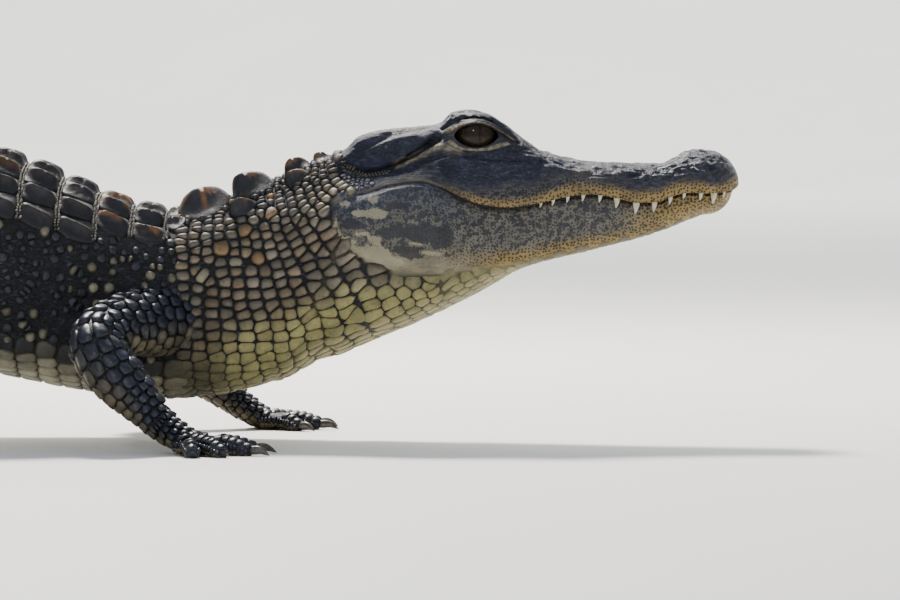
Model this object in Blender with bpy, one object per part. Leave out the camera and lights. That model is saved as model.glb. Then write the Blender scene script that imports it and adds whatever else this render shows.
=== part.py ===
"""A life-size model of a young American alligator, standing with its head raised.

Lengths are in millimetres until a mesh is made. "Station" is the distance
from the snout tip back along the body. A half section runs from 0 at the
middle of the back to 1 at the middle of the belly.
"""

import math
import random

import bmesh
import bpy
import numpy as np

# Driving dimensions, in millimetres
TOTAL_LENGTH = 1100.0
HEAD_END = 150.0  # back of the skull table
JOINT_GAP = 0.3  # between nodes that touch
BODY_CENTRE = (-523.4, 42.4)  # middle of the whole animal's box, seen from above
METRE = 0.001
FLAT_ENOUGH = math.radians(1.5)  # a face bent less than this stays whole until the end

# Snout
SNOUT_LEVEL = 98.0  # height of the snout tip
SNOUT_ROUND = (15.0, 11.0)  # how far back the tip rounds off, seen from above and from the side
CHIN_SETBACK = 2.5
LIP_STEP = 2.1  # how far the lower jaw lies inside the upper lip

# Head rails, from the middle of the skull to the middle of the throat: (station, side, height)
SKULL_MIDDLE = [
    (0, 0, 109.3), (12, 0, 110.2), (17, 0, 110.6), (20, 0, 110.0), (24.5, 0, 107.2), (31, 0, 105.3),
    (39, 0, 105.4), (57, 0, 106.2), (73, 0, 109.6), (84, 0, 113.2), (100, 0, 117.6), (127, 0, 118.2),
    (143.5, 0, 115.6), (148.5, 0, 111.5), (156, 0, 107.5),
]
BROW_AND_TABLE = [
    (0, 9, 107.8), (17, 10, 108.8), (31, 12.4, 104.4),
    (57, 15, 104.9), (73, 16, 108.6), (80, 16, 113.2),
    (88, 16, 119.8), (95, 16, 124.4), (102, 16, 125.8), (108.5, 16, 124.8), (113, 16.2, 120.6),
    (118, 16.6, 119), (136, 18.6, 116.8), (144, 19, 114.4), (148.5, 18.5, 109.8), (156, 18, 105.5),
]
CHEEK_RIDGE = [
    (0, 16, 103.6), (17, 16.8, 103.4), (31, 17.8, 99.8),
    (57, 21.8, 101.2), (73, 23.6, 105), (84, 25, 108.3),
    (102, 25.6, 109.6), (112, 25.2, 108.6), (127, 23.4, 105), (144, 22.8, 102.6), (152, 23.4, 101),
]
UPPER_LIP = [
    (0, 18.4, 94.8), (12, 18.9, 94.3), (20, 19.8, 94.5),
    (26, 19.3, 93.2), (32, 20, 90.9), (39, 21.7, 90.8),
    (46, 22.8, 92.3), (57, 24.2, 94), (65, 25.5, 93.2),
    (76, 27.4, 90.8), (88, 29.4, 89.2), (97, 30.8, 90.2),
    (105, 31.8, 93), (112, 32.8, 96.5), (121, 33.6, 99.2),
    (130, 34.2, 98.2), (141, 35, 95.2), (152, 35.4, 92.5),
]
JAW_SIDE = [
    (0, 16.8, 89.8), (12, 16.9, 89.8), (20, 18, 89), (28, 18.5, 86.5), (38, 20.2, 84.5), (57, 23, 83.5),
    (73, 25.8, 81), (84, 28, 79), (95, 30.8, 78), (105, 33.5, 79), (115, 36.2, 80.5), (130, 38.6, 81.5),
    (142, 39, 81.4), (152, 37.8, 80.5),
]
JAW_EDGE = [
    (0, 11.4, 86.6), (12, 11.5, 86.6), (20, 13, 84.8),
    (28, 14.2, 81.5), (38, 15.7, 78.3), (57, 18.8, 74),
    (73, 22, 70.5), (84, 24.5, 68.5), (105, 29, 65.8),
    (115, 31, 65), (130, 32.8, 65.3), (145, 34.6, 66.5),
    (152, 35.4, 66),
]
THROAT_SIDE = [
    (0, 4.8, 86.2), (12, 4.8, 86.2), (28, 6, 80.9), (57, 9, 73), (73, 11, 69.2), (84, 13, 65.5),
    (95, 16, 60.5), (105, 18.5, 56.5), (115, 20.5, 52.8),
    (127, 23, 49), (136, 25, 47), (152, 28.5, 43.5),
]
THROAT_MIDDLE = [
    (0, 0, 86.2), (12, 0, 86.2), (18, 0, 85), (28.4, 0, 80.8), (39, 0, 77.1), (62.6, 0, 71.8),
    (75.7, 0, 68.6), (83, 0, 66.5), (91, 0, 61.2), (108, 0, 52),
    (120.7, 0, 46.1), (142, 0, 37.4), (153, 0, 32.3),
]
LIP_RAIL = 3  # the rail that is the edge of the upper lip
RAIL_ANGLES = [0, 24, 52, 80, 104, 130, 156, 180]  # where each rail runs on behind the head
NECK_BLEND = (147.0, 172.0)  # stations over which the head's section turns into the neck's

# Neck, trunk and tail: (station, value)
BACK_HEIGHT = [
    (140, 110.5), (156, 106.6), (166, 103), (180, 98), (194, 92.6),
    (207, 88.2), (218, 86.4), (228, 88.6),
    (240, 93.2), (258, 100), (278, 107.5), (300, 114.6), (330, 122),
    (365, 127), (400, 127.5), (440, 124),
    (480, 117.5), (520, 109.5), (560, 99.5), (600, 85), (650, 64), (690, 51.5), (720, 46), (750, 43),
    (800, 39), (860, 34), (920, 28.5), (980, 22.5), (1040, 15.5), (1085, 8), (1100, 3.2),
]
BELLY_HEIGHT = [
    (140, 38.2), (159, 29.4), (175, 23), (195, 18), (215, 16.5),
    (240, 18.5), (270, 24), (300, 30), (340, 36.5),
    (380, 41), (420, 44.5), (460, 48), (500, 50.5), (530, 50), (560, 44.5), (600, 31.5), (650, 14.5),
    (690, 4.0), (720, -0.6), (745, -1.6), (1000, -1.2), (1100, -0.6),
]
HALF_WIDTH = [
    (140, 37.5), (160, 36.5), (175, 35.5), (200, 38.5), (222, 42),
    (250, 47), (300, 55), (350, 59), (400, 58),
    (450, 52), (500, 44), (530, 38.5), (560, 33.5), (600, 29), (700, 20.5), (800, 14), (900, 9.4),
    (1000, 5.8), (1070, 3.2), (1100, 1.4),
]
HEADING = [  # degrees that the body turns to its left, seen from above
    (0, 0), (270, 0), (360, 5), (470, 7), (560, -6), (640, -8),
    (740, 12), (860, 34), (960, 40), (1050, 26),
    (1100, 16),
]
WIDEST_AT = 0.45  # height of the widest level, as a share of the depth
UPPER_FULLNESS = 2.3  # superellipse power of the back
LOWER_FULLNESS = 2.7  # and of the belly

# Face
EYE_STATION = 99.6
EYE_SIDE = 15.6
EYE_HEIGHT = 116.0
EYE_RADIUS = 8.2
LID_COVER = 1.0  # thickness of the lids over the eyeball
LID_OPENING = (8.0, 4.5)  # half width and half height
JAW_PAD = (118.0, 82.0, 35.0, 17.5)  # jaw muscle: middle station, height, half length, half height
JAW_PAD_RISE = 1.7
EAR_FLAP = (131.5, 110.2, 17.0, 5.6)
EAR_FLAP_SLOPE = 0.33
EAR_FLAP_RISE = 1.5
EAR_SLIT = (182.0, 330.0, 2.4, 0.9)  # first and last degree round the flap, depth and half height
NOSTRIL = (13.6, 4.8, 110.6)  # station, side and height of its middle
NOSTRIL_SIZE = (2.3, 1.0, 1.7)
NOSTRIL_MOUND = (4.5, 3.2)  # its length and width
NOSTRIL_RISE = 0.9
TEETH = [  # station, visible length
    (10.2, 3.9), (15.1, 2.7), (21.4, 2.3), (26.6, 2.9), (32.6, 3.6),
    (39.5, 4.2), (46.8, 3.7), (53.1, 2.7),
    (59.5, 2.6), (65.3, 2.3), (70.8, 2.2), (75.4, 1.9),
]
TOOTH_RADIUS = 1.05
TOOTH_ROOT = 1.6

# Nodes along the body: name, first station, last station, rings
BODY_NODES = [
    ("neck", HEAD_END, 211.5, 9),
    ("torso", 211.5, 470.0, 18),
    ("hips", 470.0, 545.0, 7),
    ("tail_base", 545.0, 690.0, 11),
    ("tail_middle", 690.0, 840.0, 11),
    ("tail_rear", 840.0, 985.0, 10),
    ("tail_tip", 985.0, 1100.0, 8),
]
BODY_HALF_POINTS = 11
TAIL_HALF_POINTS = 9
HEAD_HALF_POINTS = 14
JAW_HALF_POINTS = 10

# Scutes: plates of bone and horn that stand up from the skin of the neck, back and tail
SCUTE_ROOT = 2.6  # how deep their roots go into the body
SCUTE_EDGE = 0.5  # height of their edges over the skin
SCUTE_SIDES = 4
NUCHAL_SIDES = 8
NECK_SCUTES = [  # station, distance from the middle of the back along the skin, length, width, height
    (158.0, 6.0, 7.0, 8.0, 2.6), (166.6, 7.0, 9.5, 9.5, 4.2), (167.4, 16.4, 8.0, 7.0, 3.0),
    (184.5, 9.6, 15.8, 15.6, 5.8), (187.5, 22.6, 9.0, 8.5, 3.2), (200.6, 11.6, 19.0, 19.4, 6.4),
]
BACK_ROWS = [  # node, first and last edge, rows, length of the last row over the first
    ("torso", 216.0, 470.0, 16, 1.48),
    ("hips", 470.0, 545.0, 4, 0.9),
]
BACK_COLUMNS = [  # distance from the middle, width and keel height, where the body's half width is 50
    (6.9, 12.7, 3.4), (20.3, 12.7, 3.4), (33.2, 11.6, 2.7),
]
COLUMN_SCALE = (0.8, 1.15)
ROW_FILL = 0.94  # share of a row's length that its scutes take
TAIL_ROWS = [  # node, first and last edge, rows of crest blades
    ("tail_base", 545.0, 690.0, 10),
    ("tail_middle", 690.0, 840.0, 12),
    ("tail_rear", 840.0, 985.0, 13),
    ("tail_tip", 985.0, 1094.0, 12),
]
CREST_HEIGHT = [(545, 3.6), (600, 5), (700, 7), (790, 8.5), (815, 9.5), (900, 8.5), (1000, 6), (1095, 2)]
CREST_SPREAD = [(545, 10), (620, 9), (700, 6.5), (780, 3.6), (806, 2.4)]
CREST_JOINS = 806.0  # the two crests are one behind this station
SCUTE_SEED = 7

# Legs: joints are (station, distance from the middle line, height), on the side of the sign
FRONT_SIZES = {
    "names": ("upper_arm", "forearm", "hand"),
    "root": 15.0, "upper": 12.0, "bend": 9.6, "lower": 9.2, "ankle": 6.2,
}
HIND_SIZES = {
    "names": ("thigh", "shank", "foot"),
    "root": 22.0, "upper": 18.0, "bend": 12.5, "lower": 12.0, "ankle": 7.8,
}
FRONT_FOOT = {
    "palm": (9.5, 4.6), "angles": (-62, -30, 0, 28, 56), "lengths": (14, 18, 20, 18, 14),
    "clawed": (0, 1, 2), "toe": (3.3, 2.1), "web": 0.35,
}
HIND_FOOT = {
    "palm": (11.0, 5.4), "angles": (-26, -7, 13, 36), "lengths": (27, 33, 32, 25), "clawed": (0, 1, 2),
    "toe": (3.7, 2.4), "web": 0.6,
}
LEGS = [  # name, side, root, bend, ankle, ball of the foot, degrees the foot turns out
    ("front_right", -1, (212, 24, 52), (243, 68, 43), (218, 76, 13.5), (203, 79, 3.7), 24),
    ("front_left", 1, (211, 24, 52), (234, 67, 44), (198, 74, 14), (183, 77, 3.7), 20),
    ("hind_right", -1, (500, 18, 84), (468, 68, 70), (503, 77, 19), (474, 84, 4.4), 22),
    ("hind_left", 1, (502, 18, 84), (482, 68, 68), (527, 75, 19), (498, 81, 4.4), 26),
]
LIMB_SIDES = 10
RING_CLEARANCE = 0.4
TOE_SIDES = 6
TOE_ROOT = 4.0  # how far a toe starts inside the palm
KNUCKLE_SPREAD = 0.7
KNUCKLE_RISE = 0.6
SOLE_FLAT = 0.3  # how much of each toe the floor takes off
WEB_THICKNESS = 1.3
WEB_HEIGHT = 1.0
CLAW_LENGTH = 6.5
CLAW_RADIUS = 1.7

SKIN_DARK = (0.035, 0.040, 0.045, 1)
SKIN_PALE = (0.42, 0.38, 0.22, 1)
EYE_BROWN = (0.10, 0.07, 0.03, 1)
CLAW_HORN = (0.05, 0.045, 0.04, 1)


def through(keys):
    """A smooth curve through (position, value, ...) keys that never overshoots them."""
    table = np.array(keys, float)
    at, values = table[:, 0], table[:, 1:]
    step = np.diff(at)[:, None]
    rise = np.diff(values, axis=0) / step
    slope = np.zeros_like(values)
    slope[0], slope[-1] = rise[0], rise[-1]
    before, after = rise[:-1], rise[1:]
    steady = before * after > 0
    weight_a, weight_b = 2 * step[1:] + step[:-1], step[1:] + 2 * step[:-1]
    safe_before, safe_after = np.where(steady, before, 1), np.where(steady, after, 1)
    mean = (weight_a + weight_b) / (weight_a / safe_before + weight_b / safe_after)
    slope[1:-1] = np.where(steady, mean, 0)

    def value(position):
        position = np.clip(np.asarray(position, float), at[0], at[-1])
        i = np.clip(np.searchsorted(at, position, side="right") - 1, 0, len(at) - 2)
        width = (at[i + 1] - at[i])[..., None]
        t = ((position - at[i]) / (at[i + 1] - at[i]))[..., None]
        found = (
            values[i] * (1 + 2 * t) * (1 - t) ** 2
            + slope[i] * width * t * (1 - t) ** 2
            + values[i + 1] * t * t * (3 - 2 * t)
            - slope[i + 1] * width * t * t * (1 - t)
        )
        return found[..., 0] if values.shape[1] == 1 else found

    return value


def ease(x, low, high):
    """0 below low, 1 above high, and a smooth step between."""
    t = np.clip((np.asarray(x, float) - low) / (high - low), 0, 1)
    return t * t * (3 - 2 * t)


def quarter_round(t):
    """A quarter circle's rise from 0 at t = 0 to 1 at t = 1."""
    t = np.clip(t, 0, 1)
    return np.sqrt(np.maximum(1 - (1 - t) ** 2, 0))


RAILS = [
    through(keys)
    for keys in (
        SKULL_MIDDLE, BROW_AND_TABLE, CHEEK_RIDGE, UPPER_LIP, JAW_SIDE, JAW_EDGE, THROAT_SIDE, THROAT_MIDDLE,
    )
]
back_height, belly_height, half_width = through(BACK_HEIGHT), through(BELLY_HEIGHT), through(HALF_WIDTH)
LAST_RAIL = len(RAILS) - 1
LIP_AT = LIP_RAIL / LAST_RAIL


def spine():
    """Stations, places seen from above and headings of the body's middle line."""
    stations = np.linspace(0, TOTAL_LENGTH, 1101)
    heading = np.radians(through(HEADING)(stations))
    step = stations[1] - stations[0]
    x = -np.concatenate([[0], np.cumsum((np.cos(heading[1:]) + np.cos(heading[:-1])) / 2 * step)])
    y = np.concatenate([[0], np.cumsum((np.sin(heading[1:]) + np.sin(heading[:-1])) / 2 * step)])
    return stations, x, y, heading


SPINE = spine()


def placed(station, side, height):
    """Points in the row frame, in millimetres, from station, distance to the left and height."""
    station, side, height = np.broadcast_arrays(*(np.asarray(a, float) for a in (station, side, height)))
    stations, xs, ys, headings = SPINE
    x, y = np.interp(station, stations, xs), np.interp(station, stations, ys)
    heading = np.interp(station, stations, headings)
    x, y = x + side * np.sin(heading), y + side * np.cos(heading)
    return np.stack([x - BODY_CENTRE[0], y - BODY_CENTRE[1], height], axis=-1)


def head_rails(station):
    """The eight rails at each station, with the snout's round end."""
    rails = np.stack([rail(station) for rail in RAILS], axis=-2)
    upper_y, upper_z = quarter_round(station / SNOUT_ROUND[0]), quarter_round(station / SNOUT_ROUND[1])
    chin = np.maximum(station - CHIN_SETBACK, 0)
    lower_y, lower_z = quarter_round(chin / SNOUT_ROUND[0]), quarter_round(chin / SNOUT_ROUND[1])
    upper, lower = slice(0, LIP_RAIL + 1), slice(LIP_RAIL + 1, None)
    drop = (rails[..., lower, 1] - rails[..., LIP_RAIL, 1][..., None]) * lower_z[..., None]
    rails[..., upper, 0] *= upper_y[..., None]
    rails[..., upper, 1] = SNOUT_LEVEL + (rails[..., upper, 1] - SNOUT_LEVEL) * upper_z[..., None]
    rails[..., lower, 0] *= lower_y[..., None]
    rails[..., lower, 1] = rails[..., LIP_RAIL, 1][..., None] + drop
    return rails


def catmull_rom(a, b, c, d, t):
    """A smooth curve from b at t = 0 to c at t = 1."""
    return 0.5 * (2 * b + (c - a) * t + (2 * a - 5 * b + 4 * c - d) * t**2 + (3 * b - a - 3 * c + d) * t**3)


def head_section(station, around):
    """Side and height of the head's surface: a curve through the rails at each station."""
    rails = head_rails(station)
    mirrored_first = rails[..., 1:2, :] * [-1, 1]
    mirrored_last = rails[..., -2:-1, :] * [-1, 1]
    rails = np.concatenate([mirrored_first, rails, mirrored_last], axis=-2)
    position = np.clip(around, 0, 1) * LAST_RAIL
    i = np.minimum(position.astype(int), LAST_RAIL - 1)
    t = (position - i)[..., None]

    def pick(offset):
        return np.take_along_axis(rails, (i + offset)[..., None, None].repeat(2, -1), axis=-2)[..., 0, :]

    return catmull_rom(*(pick(k) for k in range(4)), t)


def body_section(station, around):
    """Side and height of the neck, trunk and tail: a superellipse between back and belly."""
    angle = np.radians(np.interp(around, np.linspace(0, 1, len(RAIL_ANGLES)), RAIL_ANGLES))
    back, belly, wide = back_height(station), belly_height(station), half_width(station)
    level = belly + WIDEST_AT * (back - belly)
    upper = np.cos(angle) >= 0
    power = 2 / np.where(upper, UPPER_FULLNESS, LOWER_FULLNESS)
    side = wide * np.abs(np.sin(angle)) ** power
    reach = np.where(upper, back - level, belly - level)
    height = level + reach * np.abs(np.cos(angle)) ** power
    return np.stack([side, height], axis=-1)


def face_relief(station, side, height):
    """How far the head's features stand out sideways from the plain section."""
    middle, level, long, high = JAW_PAD
    behind = np.hypot(np.maximum(station - middle, 0) / long, (height - level) / high)
    pad = 1 - ease(behind, 0.86, 1.04)
    lip = RAILS[LIP_RAIL](station)[..., 1]
    below_lip = 1 - ease(height, lip - 1, lip + 2)
    out = JAW_PAD_RISE * pad * below_lip * ease(station, 92, 118)
    middle, level, long, high = EAR_FLAP
    along, across = station - middle, height - level + EAR_FLAP_SLOPE * (station - middle)
    flap = 1 - ease(np.hypot(along / long, across / high), 0.72, 1.0)
    out = out + EAR_FLAP_RISE * flap * (side > 0)
    return out


def lid_bulge(station, around, side, height):
    """The side distance with the lids' round cover over the eyeball, outside the brow's crest."""
    reach = EYE_RADIUS + LID_COVER
    off = (station - EYE_STATION) ** 2 + (height - EYE_HEIGHT) ** 2
    ball = EYE_SIDE + np.sqrt(np.maximum(reach**2 - off, 0))
    close = (1 - ease(np.sqrt(off), 0.9 * reach, reach)) * ease(around * LAST_RAIL, 1.0, 1.3)
    return np.maximum(side, side + (ball - side) * close)


def half_section(station, around):
    """Side and height of the skin of one half, for arrays of stations and places around."""
    station, around = np.broadcast_arrays(np.asarray(station, float), np.asarray(around, float))
    head, body = head_section(station, around), body_section(station, around)
    side, height = head[..., 0], head[..., 1]
    middle, out, _ = NOSTRIL
    long, wide = NOSTRIL_MOUND
    mound = np.exp(-(((station - middle) / long) ** 2) - ((side - out) / wide) ** 2) * ease(height, 104, 108)
    height = height + NOSTRIL_RISE * mound
    side = lid_bulge(station, around, side + face_relief(station, side, height), height)
    head = np.stack([side, height], axis=-1)
    neck = ease(station, *NECK_BLEND)[..., None]
    skin = head * (1 - neck) + body * neck
    skin[..., 1] = np.maximum(skin[..., 1], 0)
    return skin


def new_object(name, points, faces, colour, roughness=0.45):
    """A mesh object, from points in millimetres."""
    mesh = bpy.data.meshes.new(name)
    corners = [tuple(int(i) for i in face) for face in faces]
    mesh.from_pydata([tuple(p) for p in np.asarray(points) * METRE], [], corners)
    mesh.validate()
    bm = bmesh.new()
    bm.from_mesh(mesh)
    bmesh.ops.connect_verts_nonplanar(bm, angle_limit=FLAT_ENOUGH, faces=bm.faces)
    bmesh.ops.recalc_face_normals(bm, faces=bm.faces)
    if bm.calc_volume(signed=True) < 0:
        bmesh.ops.reverse_faces(bm, faces=bm.faces)
    bm.to_mesh(mesh)
    bm.free()
    obj = bpy.data.objects.new(name, mesh)
    bpy.context.scene.collection.objects.link(obj)
    material = bpy.data.materials.get(name) or bpy.data.materials.new(name)
    material.use_nodes = True
    shader = material.node_tree.nodes["Principled BSDF"]
    shader.inputs["Base Color"].default_value = colour
    shader.inputs["Roughness"].default_value = roughness
    shader.inputs["Metallic"].default_value = 0.0
    mesh.materials.append(material)
    return obj


def loft(rings):
    """Points and faces of a closed skin over rings with equal numbers of points."""
    count = len(rings[0])
    points = [p for ring in rings for p in ring]
    faces = [list(range(count)), list(range((len(rings) - 1) * count, len(rings) * count))]
    for i in range(len(rings) - 1):
        for j in range(count):
            k = (j + 1) % count
            faces.append([i * count + j, i * count + k, (i + 1) * count + k, (i + 1) * count + j])
    return points, faces


def body_ring(station, first, last, half_points, inset=0.0, swell=0.0):
    """A closed ring of the body's skin between two places around, both sides."""
    around = np.linspace(first, last, half_points)
    half = half_section(np.full(half_points, station), around)
    side, height = half[:, 0].copy(), half[:, 1].copy()
    if inset:
        near_lip = 1 - ease(around, first, first + 0.16)
        side = np.maximum(side - inset * near_lip * ease(station, 2, 12), 0.3 * side)
        height[0] -= JOINT_GAP
    if swell:
        step = np.gradient(half, axis=0)
        out = np.stack([-step[:, 1], step[:, 0]], axis=1) / np.hypot(step[:, 0], step[:, 1])[:, None]
        side, height = side + out[:, 0] * swell, height + out[:, 1] * swell
    side[np.isclose(around, 0)] = 0
    side[np.isclose(around, 1)] = 0
    left = placed(station, side, height)
    right = placed(station, -side, height)
    inner = [k for k in range(half_points) if side[k] != 0]
    return list(left) + [right[k] for k in reversed(inner)]


def fused(obj, pieces):
    """Joins closed pieces to an object with one Boolean and keeps the largest closed surface."""
    group = bpy.data.collections.new(obj.name + "_pieces")
    bpy.context.scene.collection.children.link(group)
    for piece in pieces:
        bpy.context.scene.collection.objects.unlink(piece)
        group.objects.link(piece)
    apply_boolean(obj, "UNION", collection=group)
    for piece in pieces:
        bpy.data.objects.remove(piece)
    bpy.data.collections.remove(group)
    return largest_body(obj)


def apply_boolean(obj, operation, cutter=None, collection=None):
    """One Boolean modifier, applied."""
    modifier = obj.modifiers.new(operation.lower(), "BOOLEAN")
    modifier.operation = operation
    modifier.solver = "MANIFOLD"
    if collection:
        modifier.operand_type = "COLLECTION"
        modifier.collection = collection
    else:
        modifier.object = cutter
    bpy.context.view_layer.update()
    graph = bpy.context.evaluated_depsgraph_get()
    mesh = bpy.data.meshes.new_from_object(obj.evaluated_get(graph))
    obj.modifiers.clear()
    obj.data = mesh


def cut(obj, cutter):
    """Cuts one closed object from another and removes the cutter."""
    apply_boolean(obj, "DIFFERENCE", cutter=cutter)
    bpy.data.objects.remove(cutter)
    return largest_body(obj)


def largest_body(obj):
    """Keeps only the closed surface that holds the most."""
    bm = bmesh.new()
    bm.from_mesh(obj.data)
    left = set(bm.verts)
    bodies = []
    while left:
        queue = [left.pop()]
        body = set(queue)
        while queue:
            for edge in queue.pop().link_edges:
                for vert in edge.verts:
                    if vert not in body:
                        body.add(vert)
                        queue.append(vert)
        left -= body
        bodies.append(body)

    def volume(body):
        faces = {face for vert in body for face in vert.link_faces}
        return sum(f.verts[0].co.dot(f.normal) * f.calc_area() / 3 for f in faces)

    bodies.sort(key=volume)
    bmesh.ops.delete(bm, geom=[v for body in bodies[:-1] for v in body], context="VERTS")
    bm.to_mesh(obj.data)
    bm.free()
    return obj


def body_nodes():
    """Neck, trunk and tail, each a closed length of the skin."""
    made = {}
    for name, first, last, count in BODY_NODES:
        stations = np.linspace(first + JOINT_GAP / 2, last - JOINT_GAP / 2, count)
        half_points = TAIL_HALF_POINTS if name.startswith("tail") else BODY_HALF_POINTS
        rings = [body_ring(s, 0, 1, half_points) for s in stations]
        made[name] = new_object(name, *loft(rings), SKIN_DARK)
    return made


def back_point(station, arc, height):
    """A point over the skin at a distance along it from the middle of the back, to the left."""
    around = np.linspace(0, 0.6, 121)
    half = half_section(np.full(len(around), station), around)
    along = np.concatenate([[0], np.cumsum(np.hypot(*np.diff(half, axis=0).T))])
    step = np.gradient(half, axis=0)
    columns = (half[:, 0], half[:, 1], -step[:, 1], step[:, 0])
    side, level, out, up = (np.interp(abs(arc), along, column) for column in columns)
    size = math.hypot(out, up)
    hand = 1 if arc >= 0 else -1
    return placed(station, hand * (side + out / size * height), level + up / size * height)


def scute(station, arc, long, wide, height, sides=SCUTE_SIDES):
    """A keeled plate that follows the skin, highest towards its rear edge."""
    outline = []
    for k in range(sides):
        a = 2 * math.pi * (k + 0.5) / sides
        square = max(abs(math.cos(a)), abs(math.sin(a))) ** (0.85 if sides == SCUTE_SIDES else 0.6)
        outline.append((math.cos(a) / square, math.sin(a) / square))
    rings = [(-SCUTE_ROOT, 0.94), (SCUTE_EDGE, 1.0)]
    points = [
        back_point(station + u * size * long / 2, arc + v * size * wide / 2, level)
        for level, size in rings
        for u, v in outline
    ]
    points.append(back_point(station - 0.30 * long, arc, 0.5 * height))
    points.append(back_point(station + 0.24 * long, arc, height))
    front, rear = 2 * sides, 2 * sides + 1
    faces = [list(range(sides))]
    for k in range(sides):
        n = (k + 1) % sides
        faces.append([k, n, sides + n, sides + k])
        near, far = (front if outline[i][0] < 0 else rear for i in (k, n))
        faces.append([sides + k, sides + n, far] if near == far else [sides + k, sides + n, far, near])
    return new_object("scute", points, faces, SKIN_DARK)


def crest_blade(station, arc, long, height):
    """A thin upright blade of the tail's crest, swept back."""
    wide = 0.9 + 0.1 * float(half_width(station))
    root = min(SCUTE_ROOT, 0.35 * float(back_height(station) - belly_height(station)))
    points = []
    for level, size in ((-root, 1.0), (0.25 * height, 0.85)):
        for u, v in ((-0.5, -0.4), (-0.5, 0.4), (0.5, 0.9), (0.5, -0.9)):
            points.append(back_point(station + u * size * long, arc + v * size * wide, level))
    points.append(back_point(station + 0.05 * long, arc, 0.8 * height))
    points.append(back_point(station + 0.38 * long, arc, height))
    faces = [(0, 1, 2, 3), (4, 5, 8), (5, 6, 9, 8), (6, 7, 9), (7, 4, 8, 9)]
    faces += [(k, (k + 1) % 4, 4 + (k + 1) % 4, 4 + k) for k in range(4)]
    return new_object("blade", points, faces, SKIN_DARK)


def row_edges(first, last, rows, growth=1.0):
    """Stations of the edges of rows whose length grows evenly."""
    lengths = np.linspace(1, growth, rows)
    return first + (last - first) * np.concatenate([[0], np.cumsum(lengths)]) / lengths.sum()


def add_scutes(made):
    """Nuchals, rows of back scutes and the tail's crests, each joined to its own length of the body."""
    draw = random.Random(SCUTE_SEED)
    plates = [
        scute(station, hand * arc, long, wide, height * draw.uniform(0.94, 1.06), NUCHAL_SIDES)
        for station, arc, long, wide, height in NECK_SCUTES
        for hand in (-1, 1)
    ]
    fused(made["neck"], plates)
    for node, first, last, rows, growth in BACK_ROWS:
        edges = row_edges(first, last, rows, growth)
        plates = []
        for start, end in zip(edges[:-1], edges[1:]):
            middle = (start + end) / 2
            scale = float(np.clip(half_width(middle) / 50, *COLUMN_SCALE))
            long = ROW_FILL * (end - start)
            for arc, wide, height in BACK_COLUMNS:
                for hand in (-1, 1):
                    keel = height * scale * draw.uniform(0.88, 1.1)
                    plates.append(scute(middle, hand * arc * scale, long, wide * scale, keel))
        fused(made[node], plates)
    crest_height, crest_spread = through(CREST_HEIGHT), through(CREST_SPREAD)
    for node, first, last, rows in TAIL_ROWS:
        edges = row_edges(first, last, rows)
        blades = []
        for start, end in zip(edges[:-1], edges[1:]):
            middle = (start + end) / 2
            long = ROW_FILL * (end - start)
            spread = float(crest_spread(middle))
            for arc in (-spread, spread) if middle < CREST_JOINS else (0.0,):
                height = float(crest_height(middle)) * draw.uniform(0.92, 1.06)
                blades.append(crest_blade(middle, arc, long, height))
        fused(made[node], blades)


def head_stations(first):
    """Stations close together at the snout tip and round the eyes."""
    tip = first + np.array([0.25, 0.9, 2.2, 4.2, 7.0, 10.5])
    snout, eyes_and_ears = np.linspace(14.5, 76, 12), np.linspace(80, 118, 12)
    rest = np.concatenate([snout, eyes_and_ears, np.linspace(122.5, 145.5, 6)])
    return np.concatenate([tip, rest[rest > tip[-1] + 1], [HEAD_END - JOINT_GAP / 2]])


def head_node():
    """The skull and upper jaw, down to the edge of the lip."""
    rings = [body_ring(s, 0, LIP_AT, HEAD_HALF_POINTS) for s in head_stations(0)]
    return new_object("head", *loft(rings), SKIN_DARK)


def lower_jaw_node():
    """The lower jaw and throat, which shut just inside the upper lip."""
    rings = [body_ring(s, LIP_AT, 1, JAW_HALF_POINTS, inset=LIP_STEP) for s in head_stations(CHIN_SETBACK)]
    return new_object("lower_jaw", *loft(rings), SKIN_PALE)


def unit(vector):
    """The vector at a length of 1."""
    return vector / np.linalg.norm(vector)


def limb_path(joints, count=60):
    """Evenly spaced points on a smooth curve through joints, and the direction at each."""
    joints = np.array(joints, float)
    ends = np.concatenate([[2 * joints[0] - joints[1]], joints, [2 * joints[-1] - joints[-2]]])
    dense = []
    for i in range(len(joints) - 1):
        for t in np.linspace(0, 1, 24, endpoint=False):
            dense.append(catmull_rom(*ends[i : i + 4], t))
    dense = np.array(dense + [joints[-1]])
    along = np.concatenate([[0], np.cumsum(np.linalg.norm(np.diff(dense, axis=0), axis=1))])
    at = np.linspace(0, along[-1], count)
    points = np.stack([np.interp(at, along, dense[:, k]) for k in range(3)], axis=1)
    directions = np.gradient(points, axis=0)
    return at, points, directions / np.linalg.norm(directions, axis=1)[:, None]


def limb_rings(path, sizes, first, last, count, up, sides=LIMB_SIDES):
    """Rings of a limb between two distances along its path, from (distance, half width, half height)."""
    at, points, directions = path
    size = through(sizes)
    rings = []
    for distance in np.linspace(first, last, count):
        centre = np.array([np.interp(distance, at, points[:, k]) for k in range(3)])
        forward = unit(np.array([np.interp(distance, at, directions[:, k]) for k in range(3)]))
        across = unit(np.cross(forward, up))
        over = np.cross(across, forward)
        wide, high = size(distance)
        turns = np.linspace(0, 2 * math.pi, sides, endpoint=False)
        rings.append([centre + across * wide * math.cos(a) + over * high * math.sin(a) for a in turns])
    return rings


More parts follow.
